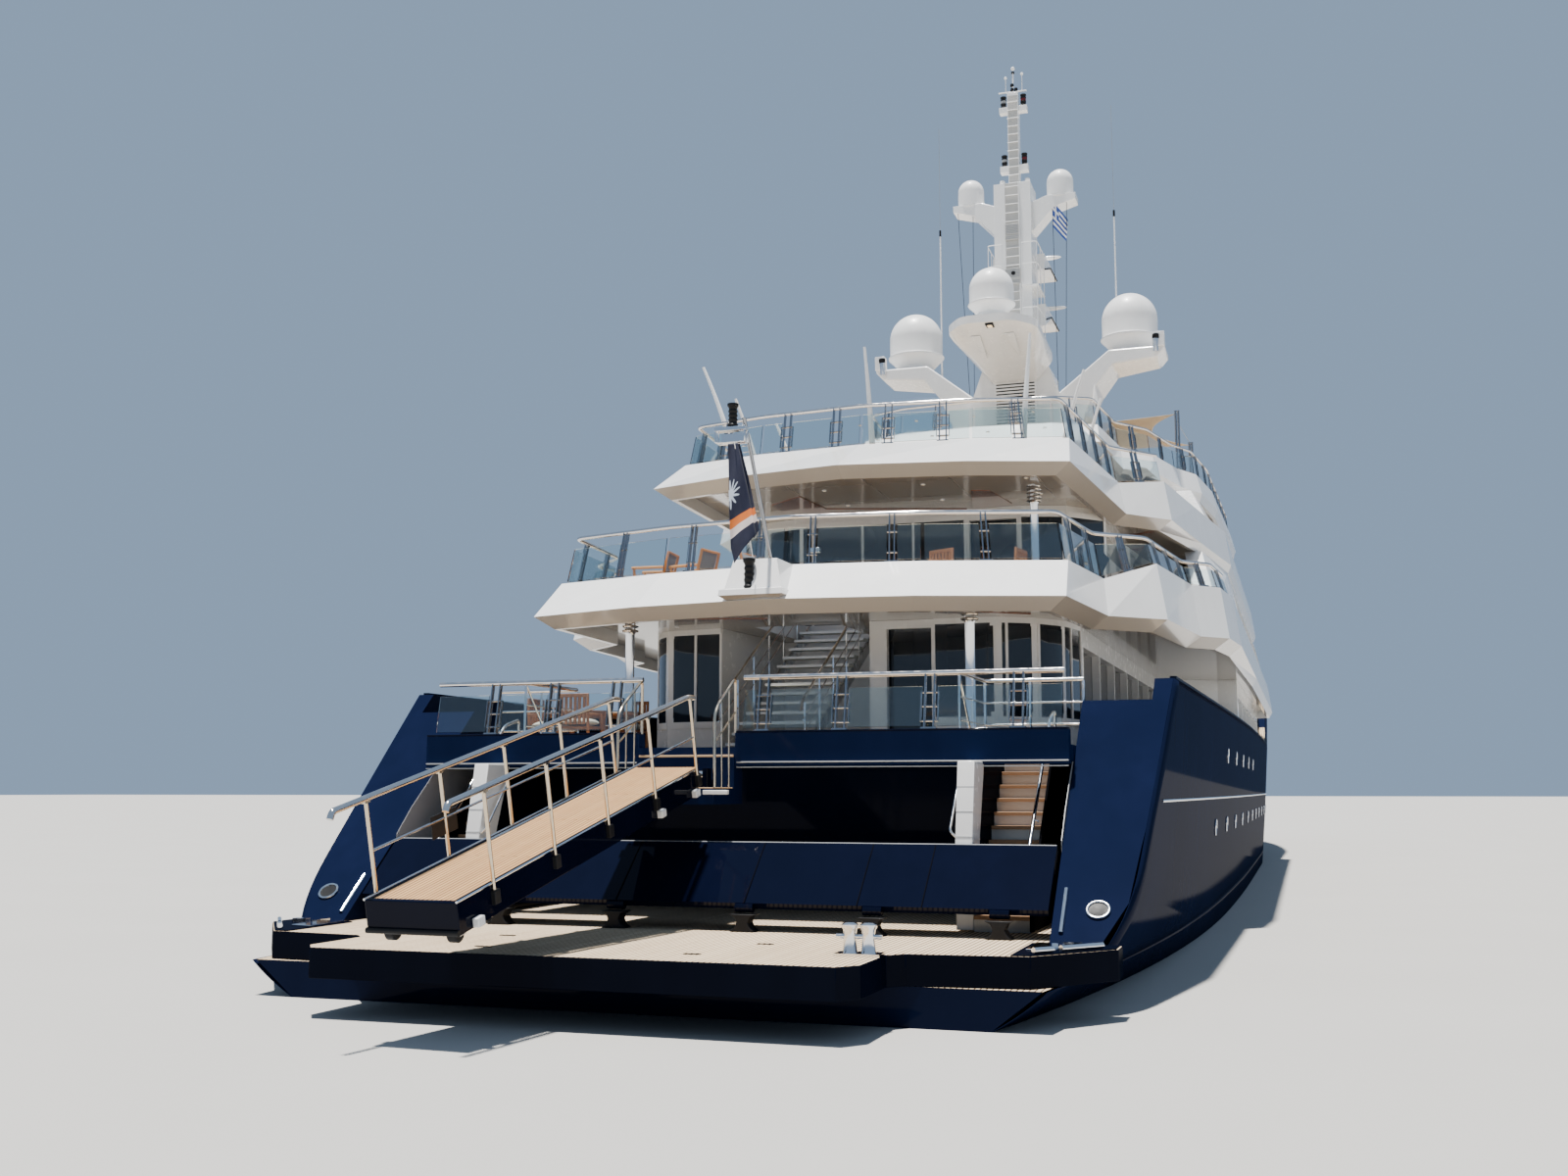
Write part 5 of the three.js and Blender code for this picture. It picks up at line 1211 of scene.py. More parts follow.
@dataclass
class Flags:
    """The ensign that hangs in folds from its staff, the courtesy flag and the shade sail."""

    def ensign(self) -> None:
        """Hung from the cage: both edges fall straight, a panel swings as a sine and a fold lies behind it."""
        u, v = np.meshgrid(np.linspace(0, 1, 90), np.linspace(0, 1, 70))
        left = 0.029 - 0.005 * v - 0.005 * smooth(v, 0.85, 1.0)
        right = 0.012 - 0.032 * v**0.9
        fold = smooth(u, 0.66, 0.74)
        across = np.where(u < 0.7, u / 0.78, 0.9 - 0.12 * np.cos(np.pi * (u - 0.7) / 0.3))
        y = left + (right - left) * np.clip(across, 0, 1.02)
        z = 0.779 - (0.183 - 0.048 * across) * v
        swing = 0.0022 * v * np.sin(2 * np.pi * 1.6 * u + 1.5 * v)
        x = -3.4085 + swing + 0.0052 * fold + 0.001 * np.sin(9 * v + 4 * u)
        flag = grid(xyz(x, y, z))
        flag.uv = np.stack([u, 1 - v], -1).reshape(-1, 2)
        cloth = build("ensign_cloth", flag, ENSIGN, replaces=("ensign",), angle=180)
        thicken(cloth, 0.0005)
        flat_cut("ensign", x, y, z)

    def courtesy(self) -> None:
        """A small flag that droops from its halyard: four corners, and x swings as a sine along the fly."""
        u, v = np.meshgrid(np.linspace(0, 1, 40), np.linspace(0, 1, 30))
        corners = np.array([(0, -0.119, 1.955), (0, -0.158, 1.905), (0, -0.1175, 2.04), (0, -0.163, 1.975)])
        x, y, z = np.moveaxis(bilinear(corners, u, 1 - v), -1, 0)
        x = x - 1.0245 + 0.004 * u * np.sin(2 * np.pi * 1.4 * u + 2 * v)
        flag = grid(xyz(x, y, z))
        flag.uv = np.stack([u, 1 - v], -1).reshape(-1, 2)
        cloth = build("courtesy_cloth", flag, COURTESY, replaces=("courtesy_flag",), angle=180)
        thicken(cloth, 0.0005)
        flat_cut("courtesy flag", x, y, z)

    def sail(self) -> None:
        """The shade sail between its four poles: a saddle whose edges curve in and whose middle sags."""
        u, v = np.meshgrid(np.linspace(-1, 1, 60), np.linspace(-1, 1, 60))
        hollow = 1 - 0.2 * (1 - v**2) * np.abs(u) ** 2
        x = -0.655 + 0.163 * v * (1 - 0.2 * (1 - u**2))
        y = (0.4535 + 0.0085 * v) * u * hollow
        z = 1.382 - 0.014 * v - 0.012 * (1 - u**2) * (1 - v**2) - 0.006 * (1 - u**2)
        cloth = build("shade_sail_cloth", grid(xyz(x, y, z)), SAIL, replaces=("shade_sail",), angle=180)
        thicken(cloth, 0.0012)
        flat_cut("shade sail", x, y, z)

    def staff(self) -> None:
        """The leaning staff and its side bars, the cage with its ribbed lamp, the halyard and the pod's lamp."""
        foot, head = np.array([-3.3, -0.006, 0.6]), np.array([-3.4, 0.006, 0.82])
        path = foot + (head - foot) * np.linspace(0, 1, 12)[:, None]
        build("staff_pole", tube(path, 0.003, 20), BLADE, replaces=("ensign_staff",))
        share = np.array([0.9, 0.86, 0.82, 0.78])[:, None]
        side = foot + (head - foot) * share
        bars = rods(side, side + (0, 0.0125, 0), 0.0011, 8)
        corners = [
            (-3.4, 0.003, 0.782), (-3.4, 0.05, 0.782), (-3.4, 0.05, 0.805), (-3.4, 0.003, 0.805), (-3.4, 0.003, 0.782)]
        cage = [tube(rounded(np.array(corners) + (dx, 0, 0), 0.004), 0.0016, 10) for dx in (-0.006, 0.006)]
        shelf = blocks([(-3.4, 0.0265, 0.803), (-3.4, 0.022, 0.788)], [(0.016, 0.05, 0.006), (0.013, 0.036, 0.014)])
        build("staff_cage", gather(bars, *cage, shelf), STEEL, bevel=0.0004)
        z = np.linspace(0, 1, 9)
        ribs = [(0.0074 - 0.0014 * (k % 2), h) for k, h in enumerate(0.004 + 0.027 * z)]
        lamp = [(0.001, 0), (0.0085, 0), (0.0085, 0.003), *ribs, (0.0088, 0.0325), (0.0088, 0.036), (0.001, 0.0375)]
        strand = rods([(-3.412, 0.017, 0.78)], [(-3.335, 0.015, 0.616)], 0.0008, 6)
        pod = [(r * 1.12, h * 1.3) for r, h in lamp]
        lamps = gather(turned(lamp, (-3.4, 0.024, 0.8065), 24), turned(pod, (-3.326, 0.024, 0.568), 24))
        build("staff_lamps", lamps, BLACK)
        build("staff_halyard", strand, WHITE)

    def build(self) -> None:
        """Makes the flags, the sail and the staff."""
        self.staff()
        self.ensign()
        self.courtesy()
        self.sail()


@dataclass
class Columns:
    """Steel columns with flared feet and ribbed collars under the upper and bridge decks."""

    rows: tuple[tuple[str, float, float, float, float], ...] = (
        ("main_column", -3.18, 0.29, 0.3203, 0.5547), ("upper_column", -2.6, 0.3, 0.5883, 0.8457))
    ring: tuple[Floats, ...] = ((0.009, 0), (0.0135, 0.0012), (0.0145, 0.0026), (0.0135, 0.004), (0.009, 0.0052))

    def build(self) -> None:
        """Turns each column: radius against height, with four rings under its head."""
        for name, x, y, foot, head in self.rows:
            rings = [(r, head - 0.0325 + k * 0.0075 + d) for k in range(4) for r, d in self.ring]
            profile = [
                (0.001, foot), (0.015, foot), (0.015, foot + 0.004), (0.011, foot + 0.007), (0.0077, foot + 0.014),
                (0.0077, head - 0.036), *rings, (0.013, head - 0.001), (0.013, head), (0.001, head)]
            for side, sign in SIDES.items():
                node = f"{name}_{side}"
                build(node + "_lathe", turned(profile, (x, sign * y, 0), 40), STEEL, replaces=(node,))


@dataclass
class Stern:
    """Fittings between the quarters: the platform's plates and bollard, panel seams, stairs and the gate."""

    hinges: Floats = (-0.42, -0.26, -0.09, 0.09, 0.26, 0.42)
    stair_x: tuple[float, float] = (-3.565, -3.291)
    stair_y: tuple[float, float] = (0.3697, 0.4425)
    steps: int = 13
    bollard: tuple[float, float] = (-3.889, -0.31)
    platform: float = 0.08
    deck: float = 0.32

    def platform_gear(self) -> None:
        """The stepped platform, its corner plates and fairleads, its bollard and the panel's hinge feet."""
        half = [
            (-4.0, 0.316), (-3.974, 0.335), (-3.872, 0.335), (-3.852, 0.352), (-3.838, 0.488), (-3.73, 0.57),
            (-3.6903, 0.57), (-3.6903, 0.4847), (-3.2503, 0.4847)]
        whole = half + [(x, -y) for x, y in half[::-1]]
        build(
            "platform_body", prism(whole, 0.0453, self.platform), PLATFORM_DECK, replaces=("swim_platform",),
            bevel=0.0008)
        corner = [(-3.838, 0.466), (-3.8355, 0.4875), (-3.731, 0.5675), (-3.695, 0.5675), (-3.695, 0.466)]
        build("corner_plates", both(prism(corner, self.platform, self.platform + 0.0016)), DARK_NAVY, bevel=0.0006)
        plate = [(-3.782, 0.473), (-3.775, 0.506), (-3.7, 0.51), (-3.7, 0.473)]
        low = self.platform + 0.0016
        build("corner_steel", both(prism(plate, low, low + 0.0012)), STEEL, bevel=0.0005)
        lead = rods(
            [(-3.823, 0.489, 0.0855), (-3.79, 0.514, 0.0855)], [(-3.8, 0.5065, 0.0855), (-3.738, 0.553, 0.0855)],
            0.0034, 12)
        cleat = blocks(
            [(-3.735, 0.52, low + 0.003), (-3.72, 0.499, low + 0.002)], [(0.01, 0.022, 0.006), (0.03, 0.007, 0.004)])
        build("corner_fairleads", both(gather(lead, cleat)), STEEL)
        post = np.array(
            [(0.001, 0), (0.0078, 0), (0.0072, 0.003), (0.0062, 0.018), (0.0072, 0.023), (0.0088, 0.0255),
            (0.0088, 0.0275), (0.006, 0.0295), (0.001, 0.03)]) * (1.1, 1.12)
        x, y = self.bollard
        posts = copies(post, [(x, y + dy, self.platform + 0.003) for dy in (-0.0105, 0.0105)], 28)
        bars = rods([(x, y - 0.026, 0.101)], [(x, y + 0.026, 0.101)], 0.0026, 12)
        base = blocks([(x, y, self.platform + 0.0018)], (0.028, 0.052, 0.0036))
        build("platform_bollard", gather(posts, bars, base), STEEL)
        waist = [(0.017, 0.0803), (0.0105, 0.0855), (0.0075, 0.092), (0.0105, 0.0985), (0.0175, 0.1023)]
        foot = waist + [(-y, z) for y, z in waist[::-1]]
        feet = [prism(np.array(foot) + (y, 0), -3.664, -3.642, X) for y in self.hinges]
        build("hinge_feet", gather(*feet), BLACK, bevel=0.001)
        # black slits on the platform: painted shade in its drain openings
        drains = blocks(
            [(x, y, self.platform + 0.0004) for x, y in ((-3.93, -0.13), (-3.8, -0.17), (-3.93, 0.13), (-3.8, 0.17))],
            (0.006, 0.02, 0.0008))
        build("platform_drain_shade", drains, BLACK)

    def panel(self) -> None:
        """Dark seams down the panel and a pale strip along its top edge."""
        foot, head = np.array([-3.6555, 0, 0.1165]), np.array([-3.5715, 0, 0.1895])
        face = unit(np.array([-(head - foot)[2], 0, (head - foot)[0]]))
        wide = xyz(0, np.array([-0.0006, 0.0006, 0.0006, -0.0006]), 0)
        places = (-0.323, -0.24, -0.09, 0.09, 0.24, 0.323)
        seams = [np.array([foot, foot, head, head]) + (0, y, 0) + face * 0.0002 + wide for y in places]
        build("panel_seams", plates(seams, 0.0006), SEAM_AND_SHADE, "transom_flap")
        edge = rods([head + (0.002, -0.478, 0.0002)], [head + (0.002, 0.478, 0.0002)], 0.0012, 10)
        build("panel_edge", edge, GREY, "transom_flap")

    def wings(self) -> None:
        """A fairlead ring with a black disc of painted shade in its hole, and a bright rubbing strip on the aft face
        of each quarter.
        """
        a, b = (angles(n) for n in (32, 10))
        slope = unit(np.array([0.375, 0, 0.336]))
        out = np.array([-slope[2], 0, slope[0]])
        big = np.cos(a)[:, None] * np.array([0, 1.0, 0]) + np.sin(a)[:, None] * slope
        ring = big[:, None] * (0.0132 + 0.0017 * np.cos(b))[None, :, None] + 0.0017 * np.sin(b)[None, :, None] * out
        lead = grid(ring + np.array([-3.649, 0.538, 0.117]) + out * 0.0015, wrap=True, loop=True)
        strip = tube(rounded([(-3.624, 0.497, 0.14), (-3.65, 0.497, 0.117), (-3.678, 0.497, 0.092)], 0.01), 0.003, 10)
        build("wing_fairleads", both(gather(lead, strip)), STEEL)
        # a black disc inside each ring: painted shade for the fairlead's hole
        hole = turned([(0.0004, 0), (0.0122, 0), (0.0122, 0.0012), (0.0004, 0.0012)], (0, 0, 0), 28)
        turn = xyz(slope, (0, 1.0, 0), out)
        build("wing_fairlead_hole_shade", both(hole.placed(turn, np.array([-3.649, 0.538, 0.117]))), BLACK)

    def stairs(self) -> None:
        """Risers, teak treads with nosings, white pillars, navy sides, walls and cheeks in painted shade, and
        handrails of both stern stairs.
        """
        (x0, x1), (inner, outer) = self.stair_x, self.stair_y
        run, rise = (x1 - x0) / self.steps, (self.deck - self.platform) / self.steps
        base = self.platform + 0.0003
        i = np.arange(self.steps)
        feet = np.stack([x0 + i * run, np.maximum(self.platform + i * rise, base)], -1)
        heads = np.stack([x0 + i * run, self.platform + (i + 1) * rise], -1)
        outline = np.concatenate(
            [np.stack([feet, heads], 1).reshape(-1, 2), [(x1, self.deck), (x1, self.deck - 0.05), (x0 + 0.055, base)]])
        build(
            "stair_risers", both(prism(outline, inner, outer, Y)), STONE,
            replaces=("stern_stair_port", "stern_stair_starboard"))
        width = outer - inner - 0.001
        centre = xyz(x0 + (i + 0.5) * run - 0.0012, (inner + outer) / 2, self.platform + (i + 1) * rise + 0.001)
        treads = blocks(centre, (run + 0.0014, width, 0.0024))
        nose = blocks(centre - (run / 2 + 0.0014, 0, 0.0012), (0.0024, width, 0.0048))
        build("stair_treads", both(gather(treads, nose)), STEP_WOOD, bevel=0.0005)
        pillar = [(-3.545, 0.2975), (-3.48, 0.2975), (-3.516, 0.2), (-3.53, 0.082), (-3.566, 0.082), (-3.566, 0.196)]
        build("stair_pillars", both(prism(pillar, inner - 0.0227, inner - 0.0002, Y)), WHITE, bevel=0.001)
        z = np.array([0.2, 0.232, 0.264])
        lines = rods(*(xyz(-3.5665 + 0.215 * (z - 0.196), inner - back, z) for back in (0.0226, 0.0004)), 0.0005, 6)
        build("pillar_seams", both(lines), GREY)
        side = [(-3.4795, 0.2975), (-3.262, 0.2975), (-3.262, 0.082), (-3.529, 0.082), (-3.515, 0.2)]
        build("stair_sides", both(prism(side, inner - 0.0035, inner - 0.0005, Y)), DARK_NAVY)
        # the outer walls are white paint, drawn grey as their deep shade: painted shade
        wall = [
            (-3.566, 0.082), (-3.566, 0.196), (-3.529, 0.234), (-3.476, 0.279), (-3.452, 0.2975), (-3.3, 0.2975),
            (-3.3, 0.082)]
        build("stair_walls", both(prism(wall, 0.4833, 0.4839, Y)), PAINTED_SHADE_WHITE)
        # a black sheet on each stair's outboard side: painted shade over the stair's pale side
        cheek = [(-3.575, 0.082), (-3.575, 0.112), (-3.388, 0.2975), (-3.3, 0.2975), (-3.3, 0.082)]
        build("stair_shade_cheeks", both(prism(cheek, outer + 0.0003, outer + 0.0036, Y)), SEAM_AND_SHADE, bevel=0.0008)
        y = outer - 0.006
        rail = [(-3.55, y, 0.12), (-3.548, y, 0.17), (-3.335, y, 0.362), (-3.29, y, 0.373), (-3.29, y, 0.325)]
        near = [
            (-3.56, inner - 0.0227, 0.199), (-3.56, inner - 0.031, 0.207), (-3.502, inner - 0.031, 0.272),
            (-3.5, inner - 0.0227, 0.279)]
        hold = np.array([(-3.49, outer + 0.0004, 0.218), (-3.4, outer + 0.0004, 0.3)])
        hold = rods(hold, hold * (1, 0, 1) + (0, y, 0.003), 0.0014, 8)
        bars = [tube(rounded(path, 0.008), radius, 12) for path, radius in ((rail, 0.0024), (near, 0.0016))]
        build("stair_handrails", both(gather(*bars, hold)), STEEL)

    def coaming(self) -> None:
        """Pale strips under the coaming, its cap, teak on the gate's steps and the gate's champagne rails."""
        spans = ((-0.484, -0.018), (0.136, 0.484))
        strip = []
        for z, radius in ((0.2985, 0.0011), (0.2915, 0.0008)):
            strip.append(rods([(-3.4906, a, z) for a, _ in spans], [(-3.4906, b, z) for _, b in spans], radius, 10))
        build("coaming_strip", gather(*strip), GREY)
        caps = blocks([(-3.48, (a + b) / 2, 0.3413) for a, b in spans], [(0.024, b - a, 0.0026) for a, b in spans])
        build("coaming_cap", caps, NAVY, bevel=0.001)
        treads = blocks(
            [(-3.486, 0.059, 0.3076), (-3.53, 0.059, 0.2624)], [(0.018, 0.144, 0.003), (0.082, 0.144, 0.0014)])
        build("gate_treads", treads, TREAD_TEAK, bevel=0.0005)
        lines = []
        for y in (-0.0135, 0.1315):
            outer = [(-3.484, y, 0.34), (-3.484, y, 0.419), (-3.555, y, 0.375), (-3.566, y, 0.36), (-3.566, y, 0.2635)]
            x = np.array([-3.51, -3.538])
            foot = xyz(x, y, 0.2635)
            posts = rods(foot, foot + xyz(0, 0, 0.1395 + (x + 3.51) * 0.62), 0.0013, 8)
            middle = rods([(-3.484, y, 0.37)], [(-3.564, y, 0.325)], 0.0013, 8)
            lines += [tube(rounded(outer, 0.012), 0.0022, 10), middle, posts]
        build("gate_rails", gather(*lines), CHAMPAGNE)
        lamps = blocks([(-3.572, -0.018, 0.2565)], (0.008, 0.036, 0.006))
        build("landing_lamp", lamps, WHITE, bevel=0.001)

    def main_rails(self) -> None:
        """The aft rails of the main deck beside the gate, and the guards round both stair openings."""
        for side, sign in SIDES.items():
            gate = 0.138 if sign > 0 else 0.02
            ends = [(-3.48, sign * gate, 0.3426), (-3.48, sign * 0.478, 0.3426)]
            feet = np.array(ends if sign > 0 else ends[::-1])
            name = "main_rail_" + side
            places = {0: (0.12, 0.42, 0.71) if sign > 0 else (0.135, 0.402, 0.679, 0.93)}
            Railing(name, feet, 0.42, (name, "main_rail_glass_" + side), 0.014, tube=0.0038, places=places).build()
        opening = [(-3.462, 0.333), (-3.283, 0.333), (-3.283, 0.478)]
        posts = np.array([(-3.462, 0.333), (-3.372, 0.333), (-3.283, 0.333), (-3.283, 0.4), (-3.283, 0.478)])
        parts = [rods(raised(posts, MAIN_FLOOR), raised(posts, 0.418), 0.002, 10)]
        for z, radius in ((0.42, 0.003), (0.387, 0.0014), (0.355, 0.0014)):
            parts.append(tube(rounded(raised(opening, z), 0.012), radius, 12))
        parts.append(rods([(-3.462, 0.333, 0.418)], [(-3.372, 0.333, 0.3225)], 0.0016, 10))
        build("opening_guards", both(gather(*parts)), STEEL)

    def build(self) -> None:
        """Makes the stern's fittings."""
        self.platform_gear()
        self.panel()
        self.wings()
        self.stairs()
        self.coaming()
        self.main_rails()


@dataclass
class AftStair:
    """The open stair in the saloon's bay: strings, pale treads and steel handrails."""

    x: tuple[float, float] = (-3.08, -2.606)
    y: tuple[float, float] = (0.012, 0.158)
    z: tuple[float, float] = (0.32, 0.588)
    steps: int = 14

    def build(self) -> None:
        """Makes the stair in place of its CAD node."""
        (x0, x1), (y0, y1), (z0, z1) = self.x, self.y, self.z
        run, rise = (x1 - x0) / self.steps, (z1 - z0) / self.steps
        i = np.arange(self.steps - 1)
        centre = xyz(x0 + i * run + 0.015, (y0 + y1) / 2, z0 + (i + 1) * rise - 0.0028)
        build("aft_stair_treads", blocks(centre, (0.03, y1 - y0 - 0.004, 0.0052)), TREAD_PALE, bevel=0.001)
        nose = centre - (0.0158, 0, 0)
        build("aft_stair_nosings", blocks(nose, (0.0014, y1 - y0 - 0.006, 0.0048)), WHITE)
        string = [(x0 - 0.012, z0 + 0.0005), (x0 + 0.03, z0 + 0.0005), (x1, z1 - 0.028), (x1, z1 - 0.001)]
        sides = [prism(string, y - 0.0022, y + 0.0022, Y) for y in (y0 + 0.0022, y1 - 0.0022)]
        build("aft_stair_strings", gather(*sides), SATIN, replaces=("aft_stair",), bevel=0.0008)
        rails = []
        slope = (z1 - z0) / (x1 - x0)
        for y in (y0 - 0.002, y1 + 0.002):
            start, end = x0 - 0.02, x1 - 0.06
            lift = np.array([0.088, 0.055, 0.03])
            for up, radius in zip(lift, (0.0026, 0.0012, 0.0012)):
                a, b = (start, y, z0 + up), (end, y, z0 + up + slope * (end - start))
                hook = [(start - 0.012, y, z0 + 0.07)] if up > 0.08 else [(start - 0.001, y, z0 + up)]
                rails.append(tube(rounded([*hook, a, b], 0.01), radius, 10))
            x = np.linspace(start + 0.01, end - 0.01, 6)
            foot = xyz(x, y, z0 + slope * (x - x0))
            rails.append(rods(foot, foot + (0, 0, 0.09), 0.0016, 8))
        build("aft_stair_rails", gather(*rails), STEEL)


@dataclass
class AftWall:
    """Dark panes that wrap the aft end of a house just outside its wall, with pale mullions between them."""

    name: str
    line: list[Floats]
    low: float
    high: float
    mullions: Floats
    sill: float = 0.012

    def build(self) -> None:
        """Sweeps the panes, the sill and head along the wall's plan line, and stands a mullion at each share of it."""
        path = rounded(self.line, 0.03, 7)
        level = raised(path, 0)
        skin = [(0.0006, self.low), (0.0018, self.low), (0.0018, self.high), (0.0006, self.high)]
        build(self.name + "_panes", sweep(skin, level), DARK_GLASS, angle=20)
        trims = []
        for z in (self.low - self.sill, self.high):
            trims.append(sweep([(0.0002, z), (0.0032, z), (0.0032, z + self.sill), (0.0002, z + self.sill)], level))
        build(self.name + "_sills", gather(*trims), WHITE)
        steps = np.concatenate([[0], np.cumsum(np.linalg.norm(np.diff(path, axis=0), axis=1))])
        shares = np.array(self.mullions) * steps[-1]
        spot = np.stack([np.interp(shares, steps, path[:, k]) for k in range(2)], -1)
        near, far = (np.stack([np.interp(shares + d, steps, p) for p in path.T], -1) for d in (-1e-3, 1e-3))
        along = unit(far - near)
        out = np.stack([-along[:, 1], along[:, 0]], -1)
        half = 0.0024
        wide = along[:, None] * np.array([-half, half, half, -half])[:, None]
        x, y = np.moveaxis(spot[:, None] + wide + out[:, None] * 0.0022, -1, 0)
        build(self.name + "_mullions", plates(xyz(x, y, [self.low, self.low, self.high, self.high]), 0.0034), WHITE)


@dataclass
class Mast:
    """The mast with its ladder, vents, guards, lanterns, scanners, wings, searchlights and aerials."""

    x: float = -0.995
    scanners: tuple[tuple[str, str, float, float, float], ...] = (
        ("radar_scanner_lower", "radar_low", -0.78, 1.725, 0.24), ("radar_scanner_upper", "radar_high", -0.8, 1.885,
        0.22))

    def face(self, z: Array) -> Array:
        """Place of the trunk's aft face at some heights."""
        return np.interp(z, (1.6, 2.1), (-1.06, -1.055))

    def wing_top(self, y: Array) -> Array:
        """Height of a wing's upper face: a straight rise from its root to its seat."""
        return np.minimum(1.415 + 0.7899 * (np.abs(y) - 0.1003), 1.553)

    def structure(self) -> None:
        """The trunk, pole, arms, lantern shelves, yard, finial and the scanners' shelves, with softened edges."""
        trunk = loft([(-1.06, -0.9, 0.07, 1.5153), (-1.06, -0.935, 0.056, 1.6), (-1.055, -0.945, 0.056, 2.1)])
        pole = loft([(-1.011, -0.979, 0.0165, 2.05), (-1.011, -0.979, 0.0165, 2.41)])
        half = np.array([(0.188, 2.037), (0.122, 2.018), (0.06, 1.95), (0.056, 2.04), (0.1, 2.056), (0.188, 2.056)])
        arms = prism(
            np.concatenate([half[:3], half[2::-1] * (-1, 1), half[:2:-1] * (-1, 1), half[3:]]), -1.031, -0.967, X)
        shelves = blocks([(self.x, 0, 2.165), (self.x, 0, 2.358)], [(0.026, 0.086, 0.02), (0.024, 0.086, 0.018)])
        yard = rods(
            [(self.x, -0.042, 2.418), (self.x, 0, 2.4)], [(self.x, 0.046, 2.42), (self.x, 0, 2.482)], 0.0024, 10)
        parts = [trunk, pole, arms, shelves, yard]
        for *_, x, z, _ in self.scanners:
            foot = 1.67 if z < 1.8 else 1.85
            side = [(-0.96, foot), (-0.84, z), (x + 0.08, z), (x + 0.08, z + 0.014), (-0.96, z + 0.014)]
            parts.append(prism(side, -0.08, 0.08, Y))
            neck = [
                (0.001, 0.012), (0.017, 0.012), (0.017, 0.017), (0.0135, 0.021), (0.012, 0.036), (0.014, 0.04),
                (0.001, 0.04)]
            parts.append(turned(neck, (x, 0, z), 28))
        build("mast_structure", gather(*parts), WHITE, replaces=("mast",), bevel=0.0016)

    def ladder(self) -> None:
        """A channel painted grey as shade, with stiles and rungs up the trunk, and rungs over the pole's whole width
        on the same grey.
        """
        z = np.array([1.5153, 1.6, 2.098])
        x = self.face(z)
        line = xyz(x - 0.001, 0 * z, z)
        strip = [
            bilinear([a - (0, 0.0215, 0), a + (0, 0.0215, 0), b - (0, 0.0215, 0), b + (0, 0.0215, 0)], [0, 1, 1, 0],
            [0, 0, 1, 1]) for a, b in zip(line[:-1], line[1:])]
        pole = blocks([(-1.0118, 0, 2.245)], (0.0012, 0.029, 0.31))
        # grey plates behind the trunk's rungs and over the pole's aft face: painted shade
        build("ladder_channel_shade", gather(plates(strip, 0.002), pole), STONE)
        parts = [tube(line + (-0.006, s * 0.0215, 0), 0.0017, 8) for s in (-1, 1)]
        for low, high, pitch, half, place in (
            (1.53, 2.095, 0.0278, 0.0215, None), (2.115, 2.4, 0.0263, 0.0165, -1.0155)):
            z = np.arange(low, high, pitch)
            spot = xyz(self.face(z) - 0.006 if place is None else np.full_like(z, place), 0 * z, z)
            parts.append(rods(spot - (0, half, 0), spot + (0, half, 0), 0.0014, 8))
            ties = [rods(spot[::4] + (0, s * half, 0), spot[::4] + (0.007, s * half, 0), 0.0012, 6) for s in (-1, 1)]
            parts += ties
        build("mast_ladder", gather(*parts), WHITE)

    def vents(self) -> None:
        """Slatted vents up the trunk, and broad louvres on the aft face of the mast house over a black sheet of
        painted shade.
        """
        slats, frames_of = [], []
        for half, low, high in (
            (0.019, 1.934, 1.965), (0.019, 1.917, 1.929), (0.021, 1.795, 1.823), (0.021, 1.778, 1.791)):
            z = np.arange(low + 0.003, high - 0.001, 0.0048)
            x = self.face(z) - 0.0085
            slats.append(blocks(xyz(x, 0 * z, z), (0.0035, 2 * half, 0.0026)))
            middle, place = (low + high) / 2, float(self.face((low + high) / 2)) - 0.0075
            frames_of.append(blocks([(place, 0, middle)], (0.004, 2 * half + 0.005, high - low + 0.004)))
        build("mast_vents", gather(*slats), GREY)
        build("mast_vent_frames", gather(*frames_of), STONE, bevel=0.0006)
        speaker = turned(
            [(0.001, 0), (0.006, 0), (0.006, -0.004), (0.004, -0.006), (0.001, -0.006)], (-1.067, -0.002, 1.809), 20,
            X)
        rows = 1.303 + 0.0099 * np.arange(18)
        # a black sheet behind the louvre bars: painted shade in the gaps between them; the speaker is really black
        dark = blocks([(-1.0606, 0, 1.388)], (0.001, 0.12, 0.182))
        build("louvre_shade_and_speaker", gather(dark, speaker), BLACK)
        bars = blocks(xyz(-1.0625, 0 * rows, rows), (0.005, 0.118, 0.0055))
        rim = blocks(
            [(-1.062, 0, 1.2965), (-1.062, 0, 1.4795), (-1.062, 0.0605, 1.388), (-1.062, -0.0605, 1.388)],
            [(0.006, 0.126, 0.005), (0.006, 0.126, 0.005), (0.006, 0.005, 0.188), (0.006, 0.005, 0.188)])
        build("aft_louvres", gather(bars, rim), WHITE, bevel=0.0005)

    def guards(self) -> None:
        """Two narrow platforms round the trunk with thin hoops, posts and toe plates beside the ladder."""
        parts, floors = [], []
        for low, high in ((1.63, 1.762), (1.767, 1.9)):
            for z, radius in ((high, 0.0014), ((low + high) / 2, 0.0011)):
                path = np.array([(-0.945, 0.075, z), (-1.075, 0.075, z), (-1.075, 0.03, z)])
                parts.append(tube(rounded(path, 0.012), radius, 8))
            spots = np.array([(-0.945, 0.075), (-1.01, 0.075), (-1.07, 0.0735), (-1.075, 0.03)])
            parts.append(rods(raised(spots, low), raised(spots, high), 0.0012, 8))
            floors.append(
                blocks([(-1.0065, 0.0665, low), (-1.0685, 0.0435, low)], [(0.13, 0.022, 0.003), (0.02, 0.03, 0.003)]))
        build("mast_guards", both(gather(*parts, *floors)), WHITE)

